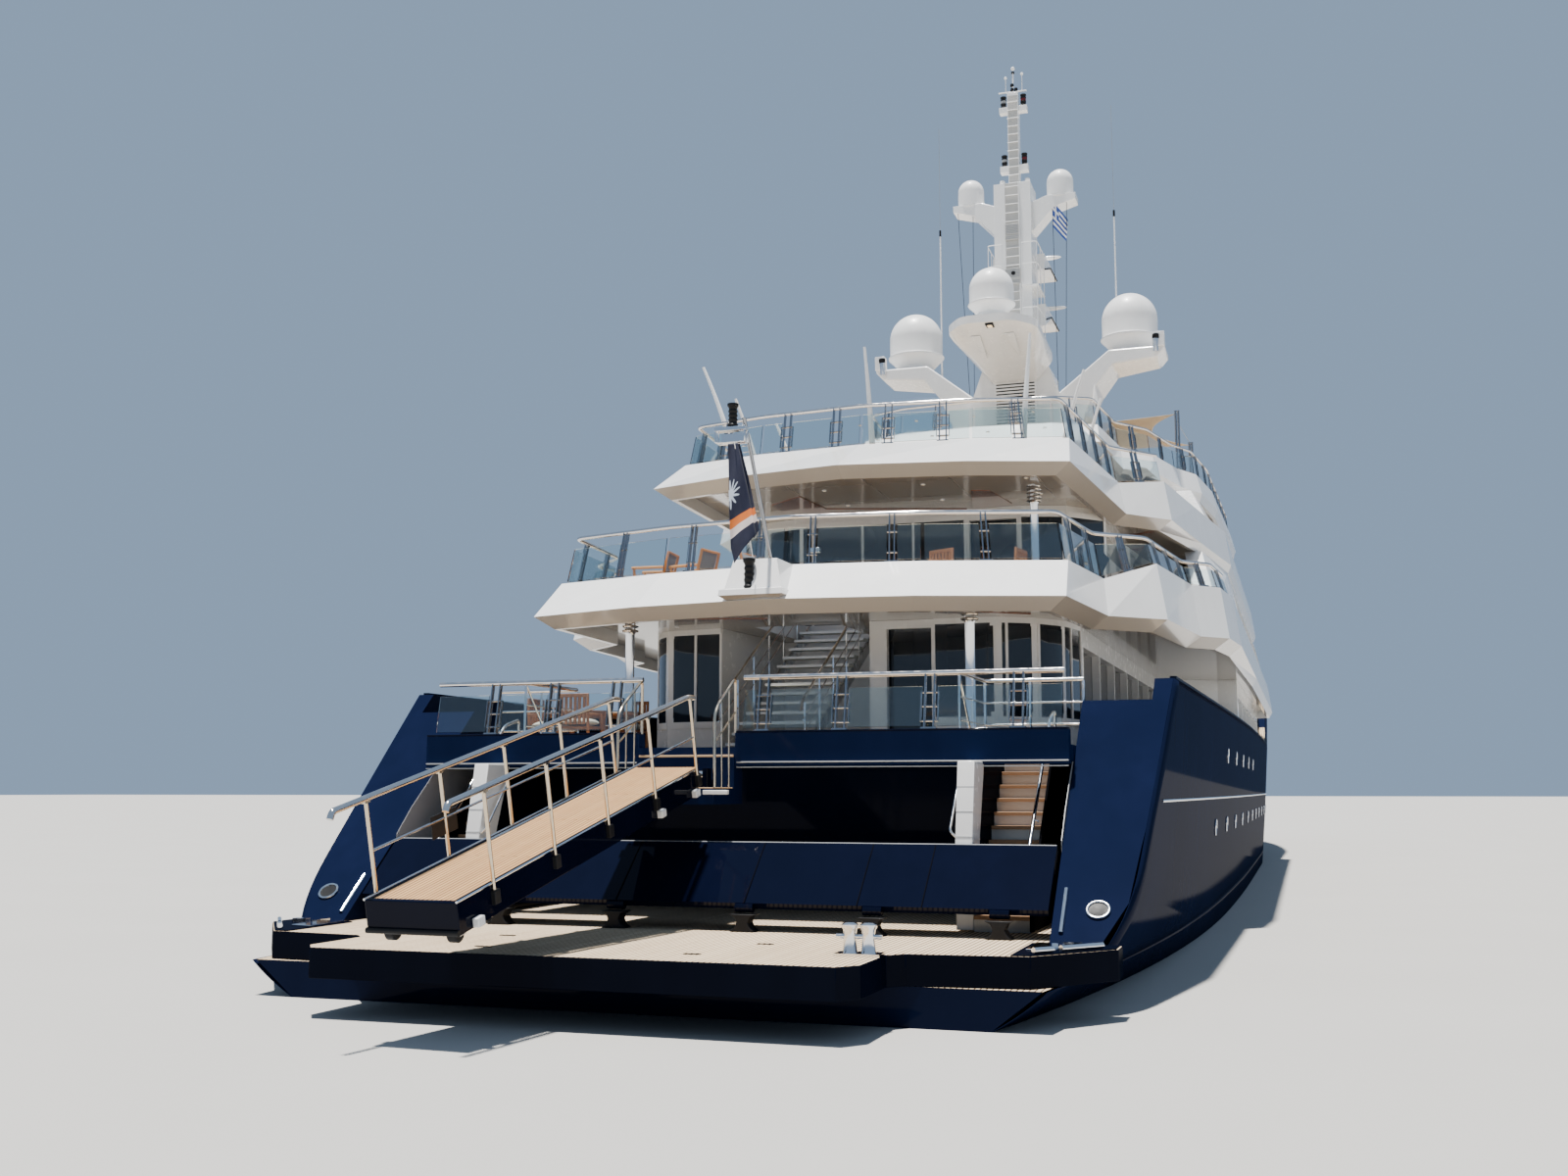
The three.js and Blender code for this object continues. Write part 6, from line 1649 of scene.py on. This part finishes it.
    def lanterns(self) -> None:
        """Black lanterns in pairs up the pole with their lens bands, yard lamps, camera balls and a top light."""
        body = [
            (0.001, 0), (0.0095, 0), (0.0095, 0.004), (0.0082, 0.006), (0.0082, 0.011), (0.009, 0.012),
            (0.009, 0.0145), (0.0082, 0.0155), (0.0082, 0.025), (0.009, 0.026), (0.009, 0.0285), (0.0082, 0.0295),
            (0.0082, 0.033), (0.0095, 0.0345), (0.009, 0.038), (0.001, 0.039)]
        spots = [(self.x, y, z) for z in (2.1755, 2.3675) for y in (-0.031, 0.031)]
        small = [(0.001, 0), (0.0052, 0), (0.0058, 0.004), (0.005, 0.009), (0.001, 0.011)]
        lamps = [(self.x, 0.003, 2.421), (self.x, -0.009, 2.421), (self.x, 0.003, 2.436)]
        feet = [
            turned([(0.001, 0), (0.007, 0), (0.006, 0.016), (0.001, 0.0165)], (self.x, y, 2.1), 20)
            for y in (-0.039, 0.039)]
        collar = turned([(0.001, 0), (0.0052, 0), (0.0052, 0.005), (0.001, 0.0055)], (self.x, 0, 2.479), 20)
        black = [*(turned(body, s, 24) for s in spots), *(turned(small, s, 16) for s in lamps), *feet, collar]
        build("mast_lanterns", gather(*black), BLACK)
        angle = np.linspace(-0.4, np.pi / 2, 9)
        ball = np.stack([np.cos(angle) + 0.02, np.sin(angle)], -1)
        balls = [(ball * 0.008, (self.x, y, 2.127)) for y in (-0.039, 0.039)]
        balls += [
            (ball * 0.006, (self.x, 0, 2.495)), (ball * 0.0046, (self.x, 0.023, 2.467)),
            (ball * 0.0046, (self.x, -0.028, 2.474))]
        stalks = rods(
            [(self.x, 0.023, 2.42), (self.x, -0.028, 2.419), (self.x, 0, 2.484)],
            [(self.x, 0.023, 2.467), (self.x, -0.028, 2.474), (self.x, 0, 2.495)], 0.0012, 8)
        build("mast_balls", gather(stalks, *(turned(p, c, 20) for p, c in balls)), GELCOAT)
        lens = [(0.001, 0.0162), (0.0086, 0.0162), (0.0086, 0.0243), (0.001, 0.0243)]
        build("lantern_lenses", copies(lens, [s for s in spots if s[1] < 0], 20), RED_LENS)
        build("lantern_bands", copies(lens, [s for s in spots if s[1] > 0], 20), GREY)

    def wings(self) -> None:
        """Each wing in sections outwards from the mast house, its fin, and its searchlight on a bracket."""
        y = np.array([0.1003, 0.168, 0.2, 0.235, 0.24, 0.275, 0.285, 0.415, 0.438])
        low = np.array([1.1605, 1.1605, 1.36, 1.445, 1.4514, 1.4954, 1.508, 1.52, 1.545])
        fore = np.interp(y, (0.24, 0.438), (-0.862, -0.905))
        sides = [
            xyz(x, y, z) for x, z in ((-1.04, low), (fore, low), (fore, self.wing_top(y)), (-1.04, self.wing_top(y)))]
        wing = grid(np.stack(sides, 1), wrap=True, caps=True)
        for side, sign in SIDES.items():
            shell = wing if sign > 0 else wing.mirrored()
            build(f"wing_{side}_shell", shell, WHITE, replaces=("dome_wing_" + side,), bevel=0.004)
        rows = [
            (1.47, -1.063, 0.05, -1.062, 0.058, 0.066), (1.5, -1.29, 0.062, -1.25, 0.088, 0.088),
            (1.518, -1.44, 0.07, -1.4, 0.118, 0.105), (1.53, -1.5, 0.072, -1.42, 0.126, 0.112),
            (1.552, -1.5, 0.072, -1.42, 0.126, 0.112)]
        rings = []
        for z, aft, end, corner, wide, root in rows:
            line = np.array([(-1.06, -root), (corner, -wide), (aft, -end), (aft, end), (corner, wide), (-1.06, root)])
            rings.append(raised(rounded(line, 0.032, 6), z))
        seat = turned([(0.001, 0), (0.046, 0), (0.046, 0.0127), (0.001, 0.0127)], (-1.415, 0, 1.5515), 40)
        build(
            "platform_shell", gather(grid(np.array(rings), wrap=True, caps=True), seat), WHITE,
            replaces=("dome_platform",), bevel=0.0015)
        fin = Surface(
            np.array([(-1.039, -0.22, 1.395), (-1.039, -0.243, 1.395), (-1.039, -0.231, 1.458),
            (-1.056, -0.232, 1.395)]), [[0, 2, 1], [0, 3, 2], [1, 2, 3], [0, 1, 3]])
        gusset = [
            bilinear([(-1.43, m - w, 1.5135), (-1.43, m + w, 1.5135), (-1.27, m - 0.002, 1.494),
            (-1.27, m + 0.002, 1.494)], [0, 1, 1, 0], [0, 0, 1, 1]) for m, w in ((0.045, 0.014), (-0.05, 0.014))]
        hold = blocks([(-1.036, s * 0.4225, 1.571) for s in (-1, 1)], (0.032, 0.03, 0.042))
        build("wing_fittings", gather(fin, plates(gusset, 0.003), hold), WHITE, bevel=0.001)
        drum = np.array([(-1.05, 0.412, 1.533), (-1.0532, 0.4127, 1.56), (-1.0545, 0.4132, 1.571)])
        build("searchlights", both(tube(drum, [0.0082, 0.0092, 0.0092], 24)), STEEL)
        lens = np.array(
            [(-1.0543, 0.4131, 1.57), (-1.0547, 0.4133, 1.573), (-1.056, 0.414, 1.583), (-1.0561, 0.414, 1.5845)])
        build("searchlight_caps", both(tube(lens, [0.0098, 0.0102, 0.0098, 0.006], 24)), BLACK)
        frame = blocks([(-1.4785, -0.006, 1.5262)], (0.03, 0.022, 0.007))
        build("platform_lamp_frame", frame, BLACK, bevel=0.001)
        amber = blocks([(-1.4795, -0.006, 1.523)], (0.02, 0.012, 0.003))
        build("platform_lamp", amber, WARM_LENS, bevel=0.0006)

    def bars(self) -> None:
        """Radar scanners: a turned hub and a rounded bar that thins towards its ends."""
        for name, body, x, z, length in self.scanners:
            along, angle = np.meshgrid(np.linspace(-1, 1, 30), angles(20), indexing="ij")
            thin = np.sqrt(np.clip(1.0005 - np.abs(along) ** 6, 0, 1)) * (1 - 0.22 * along**2)
            flat, deep = (np.sign(f(angle)) * np.abs(f(angle)) ** 0.6 for f in (np.cos, np.sin))
            points = xyz(x + 0.009 * thin * flat, along * length / 2, z + 0.0533 + 0.0068 * thin * deep)
            hub = turned(
                [(0.001, 0.0404), (0.0095, 0.0404), (0.0085, 0.045), (0.006, 0.048), (0.001, 0.048)], (x, 0, z), 28)
            build(name + "_bar", gather(grid(points, wrap=True, caps=True), hub), WHITE, body, (name,))
        conduit = [
            tube([(-0.955, -0.0812, z - 0.035), (-0.85, -0.0812, z + 0.002), (x + 0.08, -0.0812, z + 0.003)], 0.0026,
            8) for *_, x, z, _ in self.scanners]
        build("scanner_conduits", gather(*conduit), BLACK)

    def rigging(self) -> None:
        """Taut halyards from the arms to the wings, and a whip aerial with its coupling beside each large dome."""
        head = np.array([0.174, 0.127, -0.1175, -0.161])
        foot = np.array([0.146, 0.132, -0.123, -0.146])
        lines = rods(xyz(-1.0245, head, 2.034), xyz(-1.0245, foot, self.wing_top(foot)), 0.0008, 6)
        build("halyards", lines, BLACK)
        whips, couplings, tips = [], [], []
        for y in (0.265, -0.285):
            foot = float(self.wing_top(y)) - 0.003
            z = np.array([foot, foot + 0.01, foot + 0.0101, 2.035])
            path = xyz(-0.875, y, z)
            whips.append(tube(path, [0.0055, 0.0055, 0.0026, 0.0022], 10))
            couplings.append(rods([(-0.875, y, 2.023)], [(-0.875, y, 2.043)], 0.0034, 12))
            tips.append(rods([(-0.875, y, 2.04)], [(-0.875, y, 2.387)], 0.0006, 6))
        build("whip_aerials", gather(*whips), WHITE)
        build("whip_tips", gather(*tips), GREY)
        build("whip_couplings", gather(*couplings), BLACK)

    def build(self) -> None:
        """Makes the mast and its fittings."""
        self.structure()
        self.ladder()
        self.vents()
        self.guards()
        self.lanterns()
        self.wings()
        self.bars()
        self.rigging()


@dataclass
class Soffits:
    """Mahogany inlays, bright rings and downlights on the undersides of the decks."""

    def ring(self, x: float, y: float, z: float, wide: float, long: float, band: float) -> Surface:
        """A flat elliptic ring just under a soffit."""
        angle = angles(48)
        sizes = (
            (wide, long, 0), (wide - band, long - band, 0), (wide - band, long - band, -0.0016), (wide, long, -0.0016))
        rings = [xyz(x + b * np.cos(angle), y + a * np.sin(angle), z + d) for a, b, d in sizes]
        return grid(np.array(rings), wrap=True, loop=True)

    def build(self) -> None:
        """Makes the inlays and lights under each deck."""
        z = 0.8454
        left = [(-2.573, 0.248), (-2.645, 0.165), (-2.494, 0.154), (-2.378, 0.252)]
        right = [(-2.598, -0.176), (-2.586, -0.211), (-2.431, -0.227), (-2.396, -0.138)]
        far = [left[3], left[2], right[3], (-2.325, -0.174)]
        bands = np.array([raised(corners, z) for corners in (left, far, right)])
        build("upper_inlay", plates(bands, 0.002), MAHOGANY)
        rings = self.ring(-2.03, 0.405, z, 0.078, 0.09, 0.0125)
        build("upper_rings", both(rings), MAHOGANY)
        strip = [(-0.016, 0.0006), (0.016, 0.0006), (0.016, -0.001), (-0.016, -0.001)]
        lines = [[(-3.1, 0.38), (-3.02, 0.1)], [(-3.1, -0.15), (-2.95, -0.34)]]
        strips = [sweep(strip, raised(line, 0.5544)) for line in lines]
        build("main_inlays", gather(*strips), MAHOGANY)
        u, v = (m.ravel() for m in np.meshgrid(np.linspace(-3.0, -2.5, 4), np.linspace(-0.3, 0.3, 4)))
        spots = [(x, y, 0.8462) for x, y in zip(u + 0.15, v)] + [
            (x, y, 0.5552) for x, y in zip(u - 0.12, v) if abs(y) > 0.2]
        spots += [(x - 0.6 + 1.4, y * 0.7, 1.1352) for x, y in zip(u, v)]
        rim = [(0.003, 0), (0.0046, 0), (0.0046, -0.0014), (0.003, -0.0014)]
        bezel = gather(*(hoop(rim, spot) for spot in spots))
        build("downlight_rims", bezel, SATIN)
        lens = [(0.0005, 0), (0.0032, 0), (0.0032, -0.0008), (0.0005, -0.0008)]
        build("downlights", copies(lens, spots, 12), WARM_LENS)


@dataclass
class Furniture:
    """Loungers, chairs, tables and sofas on the terraces, with padded cushions."""

    def cushion(
        self, name: str, centre: Floats, size: Floats, turn: float = 0.0, tilt: float = 0.0) -> None:
        """A crowned pad: height falls as the fourth power of the distance from its middle, and its sides pull in."""
        s, t = np.meshgrid(np.linspace(-1, 1, 22), np.linspace(-1, 1, 22), indexing="ij")
        crown = np.sqrt(np.clip((1 - s**4) * (1 - t**4), 0, 1))
        pinch = 1 - 0.045 * (1 - s**2) * np.abs(t) ** 4, 1 - 0.045 * (1 - t**2) * np.abs(s) ** 4
        x, y = s * pinch[1] * size[0] / 2, t * pinch[0] * size[1] / 2
        halves = [grid(xyz(x, y, share * size[2] * crown)) for share in (-0.42, 0.58)]
        pad = gather(*halves).placed(turn_by(turn) @ turn_by(tilt, Y), centre)
        piece = build(name, pad, CUSHION, angle=70)

    def lounger(self, x: float, y: float, index: int) -> None:
        """A brown frame with a flat and a raised pad."""
        frame = blocks([(x, y, 0.612), (x + 0.05, y, 0.618)], [(0.17, 0.062, 0.006), (0.012, 0.062, 0.008)])
        feet = raised([(x + dx, y + dy) for dx in (-0.075, 0.075) for dy in (-0.026, 0.026)], UPPER_FLOOR)
        legs = rods(feet, feet * (1, 1, 0) + (0, 0, 0.612), 0.0028, 8)
        build(f"lounger_{index}", gather(frame, legs), CHAIR_WOOD, bevel=0.0012)
        self.cushion(f"lounger_pad_{index}", (x - 0.03, y, 0.622), (0.105, 0.056, 0.016))
        self.cushion(f"lounger_back_{index}", (x + 0.054, y, 0.641), (0.07, 0.056, 0.016), tilt=-38)

    def chair(self, x: float, y: float, turn: float, index: int, floor: float = UPPER_FLOOR) -> None:
        """A wooden armchair: four legs, arms, a slatted back and a seat pad."""
        spin = turn_by(turn)
        feet = [(dx, dy, 0) for dx in (-0.025, 0.025) for dy in (-0.026, 0.026)]
        legs = rods(feet, [(dx - 0.004 * (dx < 0), dy, 0.062 if dx > 0 else 0.09) for dx, dy, _ in feet], 0.0026)
        bars = blocks(
            [(0, s * 0.026, 0.064) for s in (-1, 1)] + [(0, 0, 0.039)], [(0.06, 0.006, 0.004)] * 2
            + [(0.052, 0.052, 0.004)])
        slats = blocks([(-0.0285, dy, 0.066) for dy in np.linspace(-0.02, 0.02, 6)], (0.003, 0.005, 0.046))
        top = blocks([(-0.0288, 0, 0.0895)], (0.004, 0.056, 0.006))
        chair = gather(legs, bars, slats, top).placed(spin, (x, y, floor))
        build(f"chair_{index}", chair, CHAIR_WOOD, bevel=0.0006)
        self.cushion(f"chair_pad_{index}", (x, y, floor + 0.047), (0.048, 0.046, 0.012), turn)

    def sling_chair(self, x: float, y: float, turn: float, index: int, floor: float = UPPER_FLOOR) -> None:
        """A wooden frame and a sling from the top of its back over its seat, which sags between the bars."""
        spin = turn_by(turn)
        pairs = [
            ((-0.012, 0.0), (-0.034, 0.09)), ((0.026, 0.0), (0.03, 0.062)), ((-0.03, 0.0), (-0.012, 0.044)),
            ((-0.024, 0.062), (0.034, 0.062)), ((-0.022, 0.044), (0.032, 0.046))]
        rails = rods(
            *([(pair[k][0], s * 0.029, pair[k][1]) for s in (-1, 1) for pair in pairs] for k in (0, 1)), 0.0026)
        across = ((-0.034, 0.089), (0.031, 0.046), (-0.022, 0.044))
        bars = rods(*([(dx, s * 0.029, z) for dx, z in across] for s in (-1, 1)), 0.0022)
        build(f"sling_frame_{index}", gather(rails, bars).placed(spin, (x, y, floor)), ORANGE_WOOD)
        path = rounded([(-0.0325, 0, 0.0905), (-0.0205, 0, 0.0475), (0.031, 0, 0.0495)], 0.012, 7)
        t = np.linspace(0, 1, 24)
        line = np.stack([np.interp(t, np.linspace(0, 1, len(path)), path[:, k]) for k in range(3)], -1)
        across = np.linspace(-1, 1, 12)
        cloth = line[:, None] + xyz(0 * across, across * 0.026, -0.0016 * (1 - across**2))[None]
        cloth = cloth @ spin.T + (x, y, floor)
        piece = build(f"sling_{index}", grid(cloth), SLING, angle=180)
        thicken(piece, 0.0008)
        flat_cut(f"sling {index}", *np.moveaxis(cloth, -1, 0))

    def deck_edge(self) -> None:
        """A low step on the bulwark, and the floodlight on its stanchion."""
        build("bulwark_step", blocks([(-3.172, 0.022, 0.6195)], (0.026, 0.23, 0.005)), GREY, bevel=0.001)
        stem = rods([(-3.18, -0.037, 0.617)], [(-3.18, -0.037, 0.642)], 0.0016, 8)
        head = blocks([(-3.182, -0.037, 0.646)], (0.009, 0.018, 0.008))
        build("deck_floodlight", gather(stem, head), STEEL, bevel=0.0006)

    def build(self) -> None:
        """Places the furniture behind the glass of each terrace."""
        self.deck_edge()
        for index, (x, y, turn) in enumerate(((-3.03, 0.31, 95), (-3.03, 0.235, 80), (-2.98, 0.12, 260)), 1):
            self.sling_chair(x, y, turn, index)
        self.lounger(-2.95, 0.33, 1)
        self.lounger(-2.95, 0.24, 2)
        for index, (x, y, turn) in enumerate(
            ((-2.93, -0.17, 150), (-2.86, -0.29, 80), (-2.7, 0.05, 200), (-2.6, -0.12, 20)), 1):
            self.chair(x, y, turn, index)
        for index, (x, y, turn) in enumerate(((-3.28, 0.33, 0), (-3.1, 0.33, 180), (-3.19, 0.43, 270)), 5):
            self.chair(x, y, turn, index, MAIN_FLOOR)
        top = [(0.001, 0.06), (0.06, 0.06), (0.064, 0.062), (0.064, 0.066), (0.06, 0.068), (0.001, 0.068)]
        leg = [(0.001, 0), (0.026, 0), (0.026, 0.003), (0.008, 0.008), (0.006, 0.03), (0.009, 0.06), (0.001, 0.06)]
        places = ((-2.66, -0.28, UPPER_FLOOR), (-3.19, 0.33, MAIN_FLOOR), (-2.66, 0.2, UPPER_FLOOR))
        build("terrace_tables", copies([*leg[:-1], *top[1:]], places, 40), CHAIR_WOOD)
        base = blocks([(-1.42, 0, 1.18), (-1.46, 0.0, 1.2)], [(0.1, 0.5, 0.036), (0.02, 0.5, 0.07)])
        build("sun_sofa", base, WHITE, bevel=0.006)
        for k, y in enumerate(np.linspace(-0.18, 0.18, 4)):
            self.cushion(f"sun_sofa_pad_{k}", (-1.41, float(y), 1.204), (0.075, 0.11, 0.02))


@dataclass
class Awnings:
    """Bent white awning poles and the boat canisters of the bridge deck."""

    rows: tuple[Floats, ...] = (
        (-2.7, -0.3, 0.926, -0.317, 1.12), (-2.7, 0.302, 0.988, 0.349, 1.112), (-2.7, -0.003, 0.935, 0.009, 1.123),
        (-2.4, 0.35, 1.0, 0.391, 1.123), (-2.4, -0.35, 1.041, -0.378, 1.122), (-2.13, 0.361, 1.064, 0.388, 1.128),
        (-2.13, -0.356, 1.06, -0.379, 1.128))

    def build(self) -> None:
        """Each pole leans outwards between two measured places and bows: its lean grows with its height."""
        poles = []
        socket = [(0.001, 0), (0.012, 0), (0.012, 0.004), (0.009, 0.008), (0.001, 0.008)]
        for x, y0, z0, y1, z1 in self.rows:
            t = np.linspace(0, 1, 14)
            foot = y0 - 0.7 * (y1 - y0) * (z0 - 0.8803) / (z1 - z0)
            path = xyz(x - 0.008 * t**2, foot + (y1 - foot) * (0.7 * t + 0.3 * t**2), 0.8805 + (z1 - 0.8805) * t)
            poles += [tube(path, 0.0069 - 0.0042 * t, 16), turned(socket, (x, foot, 0.8803), 20)]
        build("awning_poles", gather(*poles), WHITE)
        canister = [
            (0.001, -0.06), (0.02, -0.06), (0.026, -0.054), (0.026, -0.002), (0.0275, 0.0), (0.0275, 0.004),
            (0.026, 0.006), (0.026, 0.054), (0.02, 0.06), (0.001, 0.06)]
        rows = [turned(canister, (x, 0.47, 0.958), 32, X) for x in (-1.55, -1.4)]
        cradle = blocks([(x + d, 0.47, 0.931) for x in (-1.55, -1.4) for d in (-0.035, 0.035)], (0.008, 0.05, 0.012))
        build("boat_canisters", both(gather(*rows)), GELCOAT)
        build("canister_cradles", both(cradle), STEEL)


def light_scene() -> None:
    """A pale floor at the waterline, a high soft sun, a pale sky and the camera low on the starboard quarter."""
    scene = bpy.context.scene
    size = FLOOR_SIZE
    floor = bpy.data.meshes.new("floor")
    corners = [(-size, -size, 0), (size, -size, 0), (size, size, 0), (-size, size, 0)]
    floor.from_pydata(corners, [], [[0, 1, 2, 3]])
    paper = Recipe("floor_paper", Roughness=0.9)
    paper.feed("Base Color", paper.blend(paper.noise(3.0), (0.43, 0.42, 0.4), (0.4, 0.39, 0.37)))
    floor.materials.append(paper.material)
    stage = bpy.data.objects.new("floor", floor)
    scene.collection.objects.link(stage)

    world = bpy.data.worlds.new("sky")
    scene.world = world
    world.use_nodes = True
    back = world.node_tree.nodes["Background"]
    back.inputs["Color"].default_value = SKY_COLOUR
    back.inputs["Strength"].default_value = SKY_STRENGTH

    sun = bpy.data.lights.new("sun", "SUN")
    sun.energy, sun.angle, sun.color = SUN_ENERGY, math.radians(SUN_SPREAD), SUN_COLOUR
    lamp = bpy.data.objects.new("sun", sun)
    lamp.rotation_euler = Vector(SUN_PLACE).to_track_quat("Z", "Y").to_euler()
    scene.collection.objects.link(lamp)

    lens = bpy.data.cameras.new("camera")
    lens.lens, lens.sensor_width, lens.clip_end = LENS, SENSOR, FAR_CLIP
    camera = bpy.data.objects.new("camera", lens)
    camera.location = CAMERA_PLACE
    yaw, pitch = math.radians(CAMERA_YAW), math.radians(CAMERA_PITCH)
    ahead = (math.cos(yaw) * math.cos(pitch), math.sin(yaw) * math.cos(pitch), math.sin(pitch))
    camera.rotation_euler = Vector(ahead).to_track_quat("-Z", "Y").to_euler()
    scene.collection.objects.link(camera)
    scene.camera = camera


NODE_FINISHES: dict[object, str] = {
    HULL_DECK: "hull", NAVY: "transom_panel gangway_turntable rudder_*", NAVY_DECK: "main_deck",
    PLATFORM_DECK: "swim_platform",
    WHITE: "stern_stair_* main_house upper_house bridge_house mast_house mast radar_scanner_lower radar_scanner_upper "
    "dome_platform dome_wing_*",
    WHITE_DECK: "upper_deck bridge_deck sun_deck",
    STEEL: "aft_stair main_column_* upper_column_* upper_rail bridge_rail sun_rail main_rail_* ensign_staff",
    SATIN: "anchor_* windlass shaft_*", BRONZE: "propeller_*",
    DARK_GLASS: "main_glazing saloon_door upper_glazing upper_door bridge_glazing",
    CLEAR_GLASS: "upper_rail_glass bridge_rail_glass sun_rail_glass main_rail_glass_*",
    GELCOAT: "dome_centre dome_large_* dome_small_*", SAIL: "shade_sail", ENSIGN: "ensign", COURTESY: "courtesy_flag"}


def dress_nodes(nodes: dict[str, bpy.types.Object]) -> None:
    """Gives each CAD node its finish; a star stands for both sides."""
    for finish, names in NODE_FINISHES.items():
        for name in (part.replace("*", side) for part in names.split() for side in SIDES):
            for entry in nodes[name].material_slots:
                entry.material = material_of(finish)


def main() -> None:
    """Builds the yacht's looks."""
    logging.basicConfig(level=logging.INFO, format="%(message)s")
    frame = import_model()
    dress_nodes(frame["nodes"])
    light_scene()
    star = [(-2.745, -0.4), (-2.83, -0.385), (-2.895, -0.345), (-2.935, -0.285), (-2.935, -0.176)]
    port = [(-2.901, 0.232), (-2.885, 0.345), (-2.83, 0.39), (-2.745, 0.4)]
    round_upper = [(-2.29, -0.395), (-2.37, -0.33), (-2.4, -0.24), (-2.4, -0.238)]
    upper = [(-2.4, -0.122), (-2.4, 0.24), (-2.37, 0.33), (-2.29, 0.395)]
    bridge = [(-1.3, -0.295), (-1.59, -0.265), (-1.65, -0.18), (-1.65, 0.18), (-1.59, 0.265), (-1.3, 0.295)]
    walls = (
        AftWall("saloon_starboard", star, 0.384, 0.545, (0.0, 0.16, 0.45, 0.63, 0.83, 1.0)),
        AftWall("saloon_port", port, 0.384, 0.545, (0.0, 0.2, 0.42, 0.7, 1.0)),
        AftWall("lounge_corner", round_upper, 0.606, 0.822, (0.0, 0.5, 1.0)),
        AftWall("lounge", upper, 0.606, 0.822, (0.0, 0.2, 0.4, 0.6, 0.8, 1.0)),
        AftWall("bridge_lounge", bridge, 0.935, 1.098, (0.0, 0.25, 0.4, 0.5, 0.6, 0.75, 1.0)))
    for part in (
        Hull(), Stern(), DeckRails(), Columns(), AftStair(), *walls, Domes(), Flags(), Gangway(), Mast(), Soffits(),
        Furniture(), Awnings()):
        log.info("building %s", type(part).__name__)
        part.build()


if __name__ == "__main__":
    main()
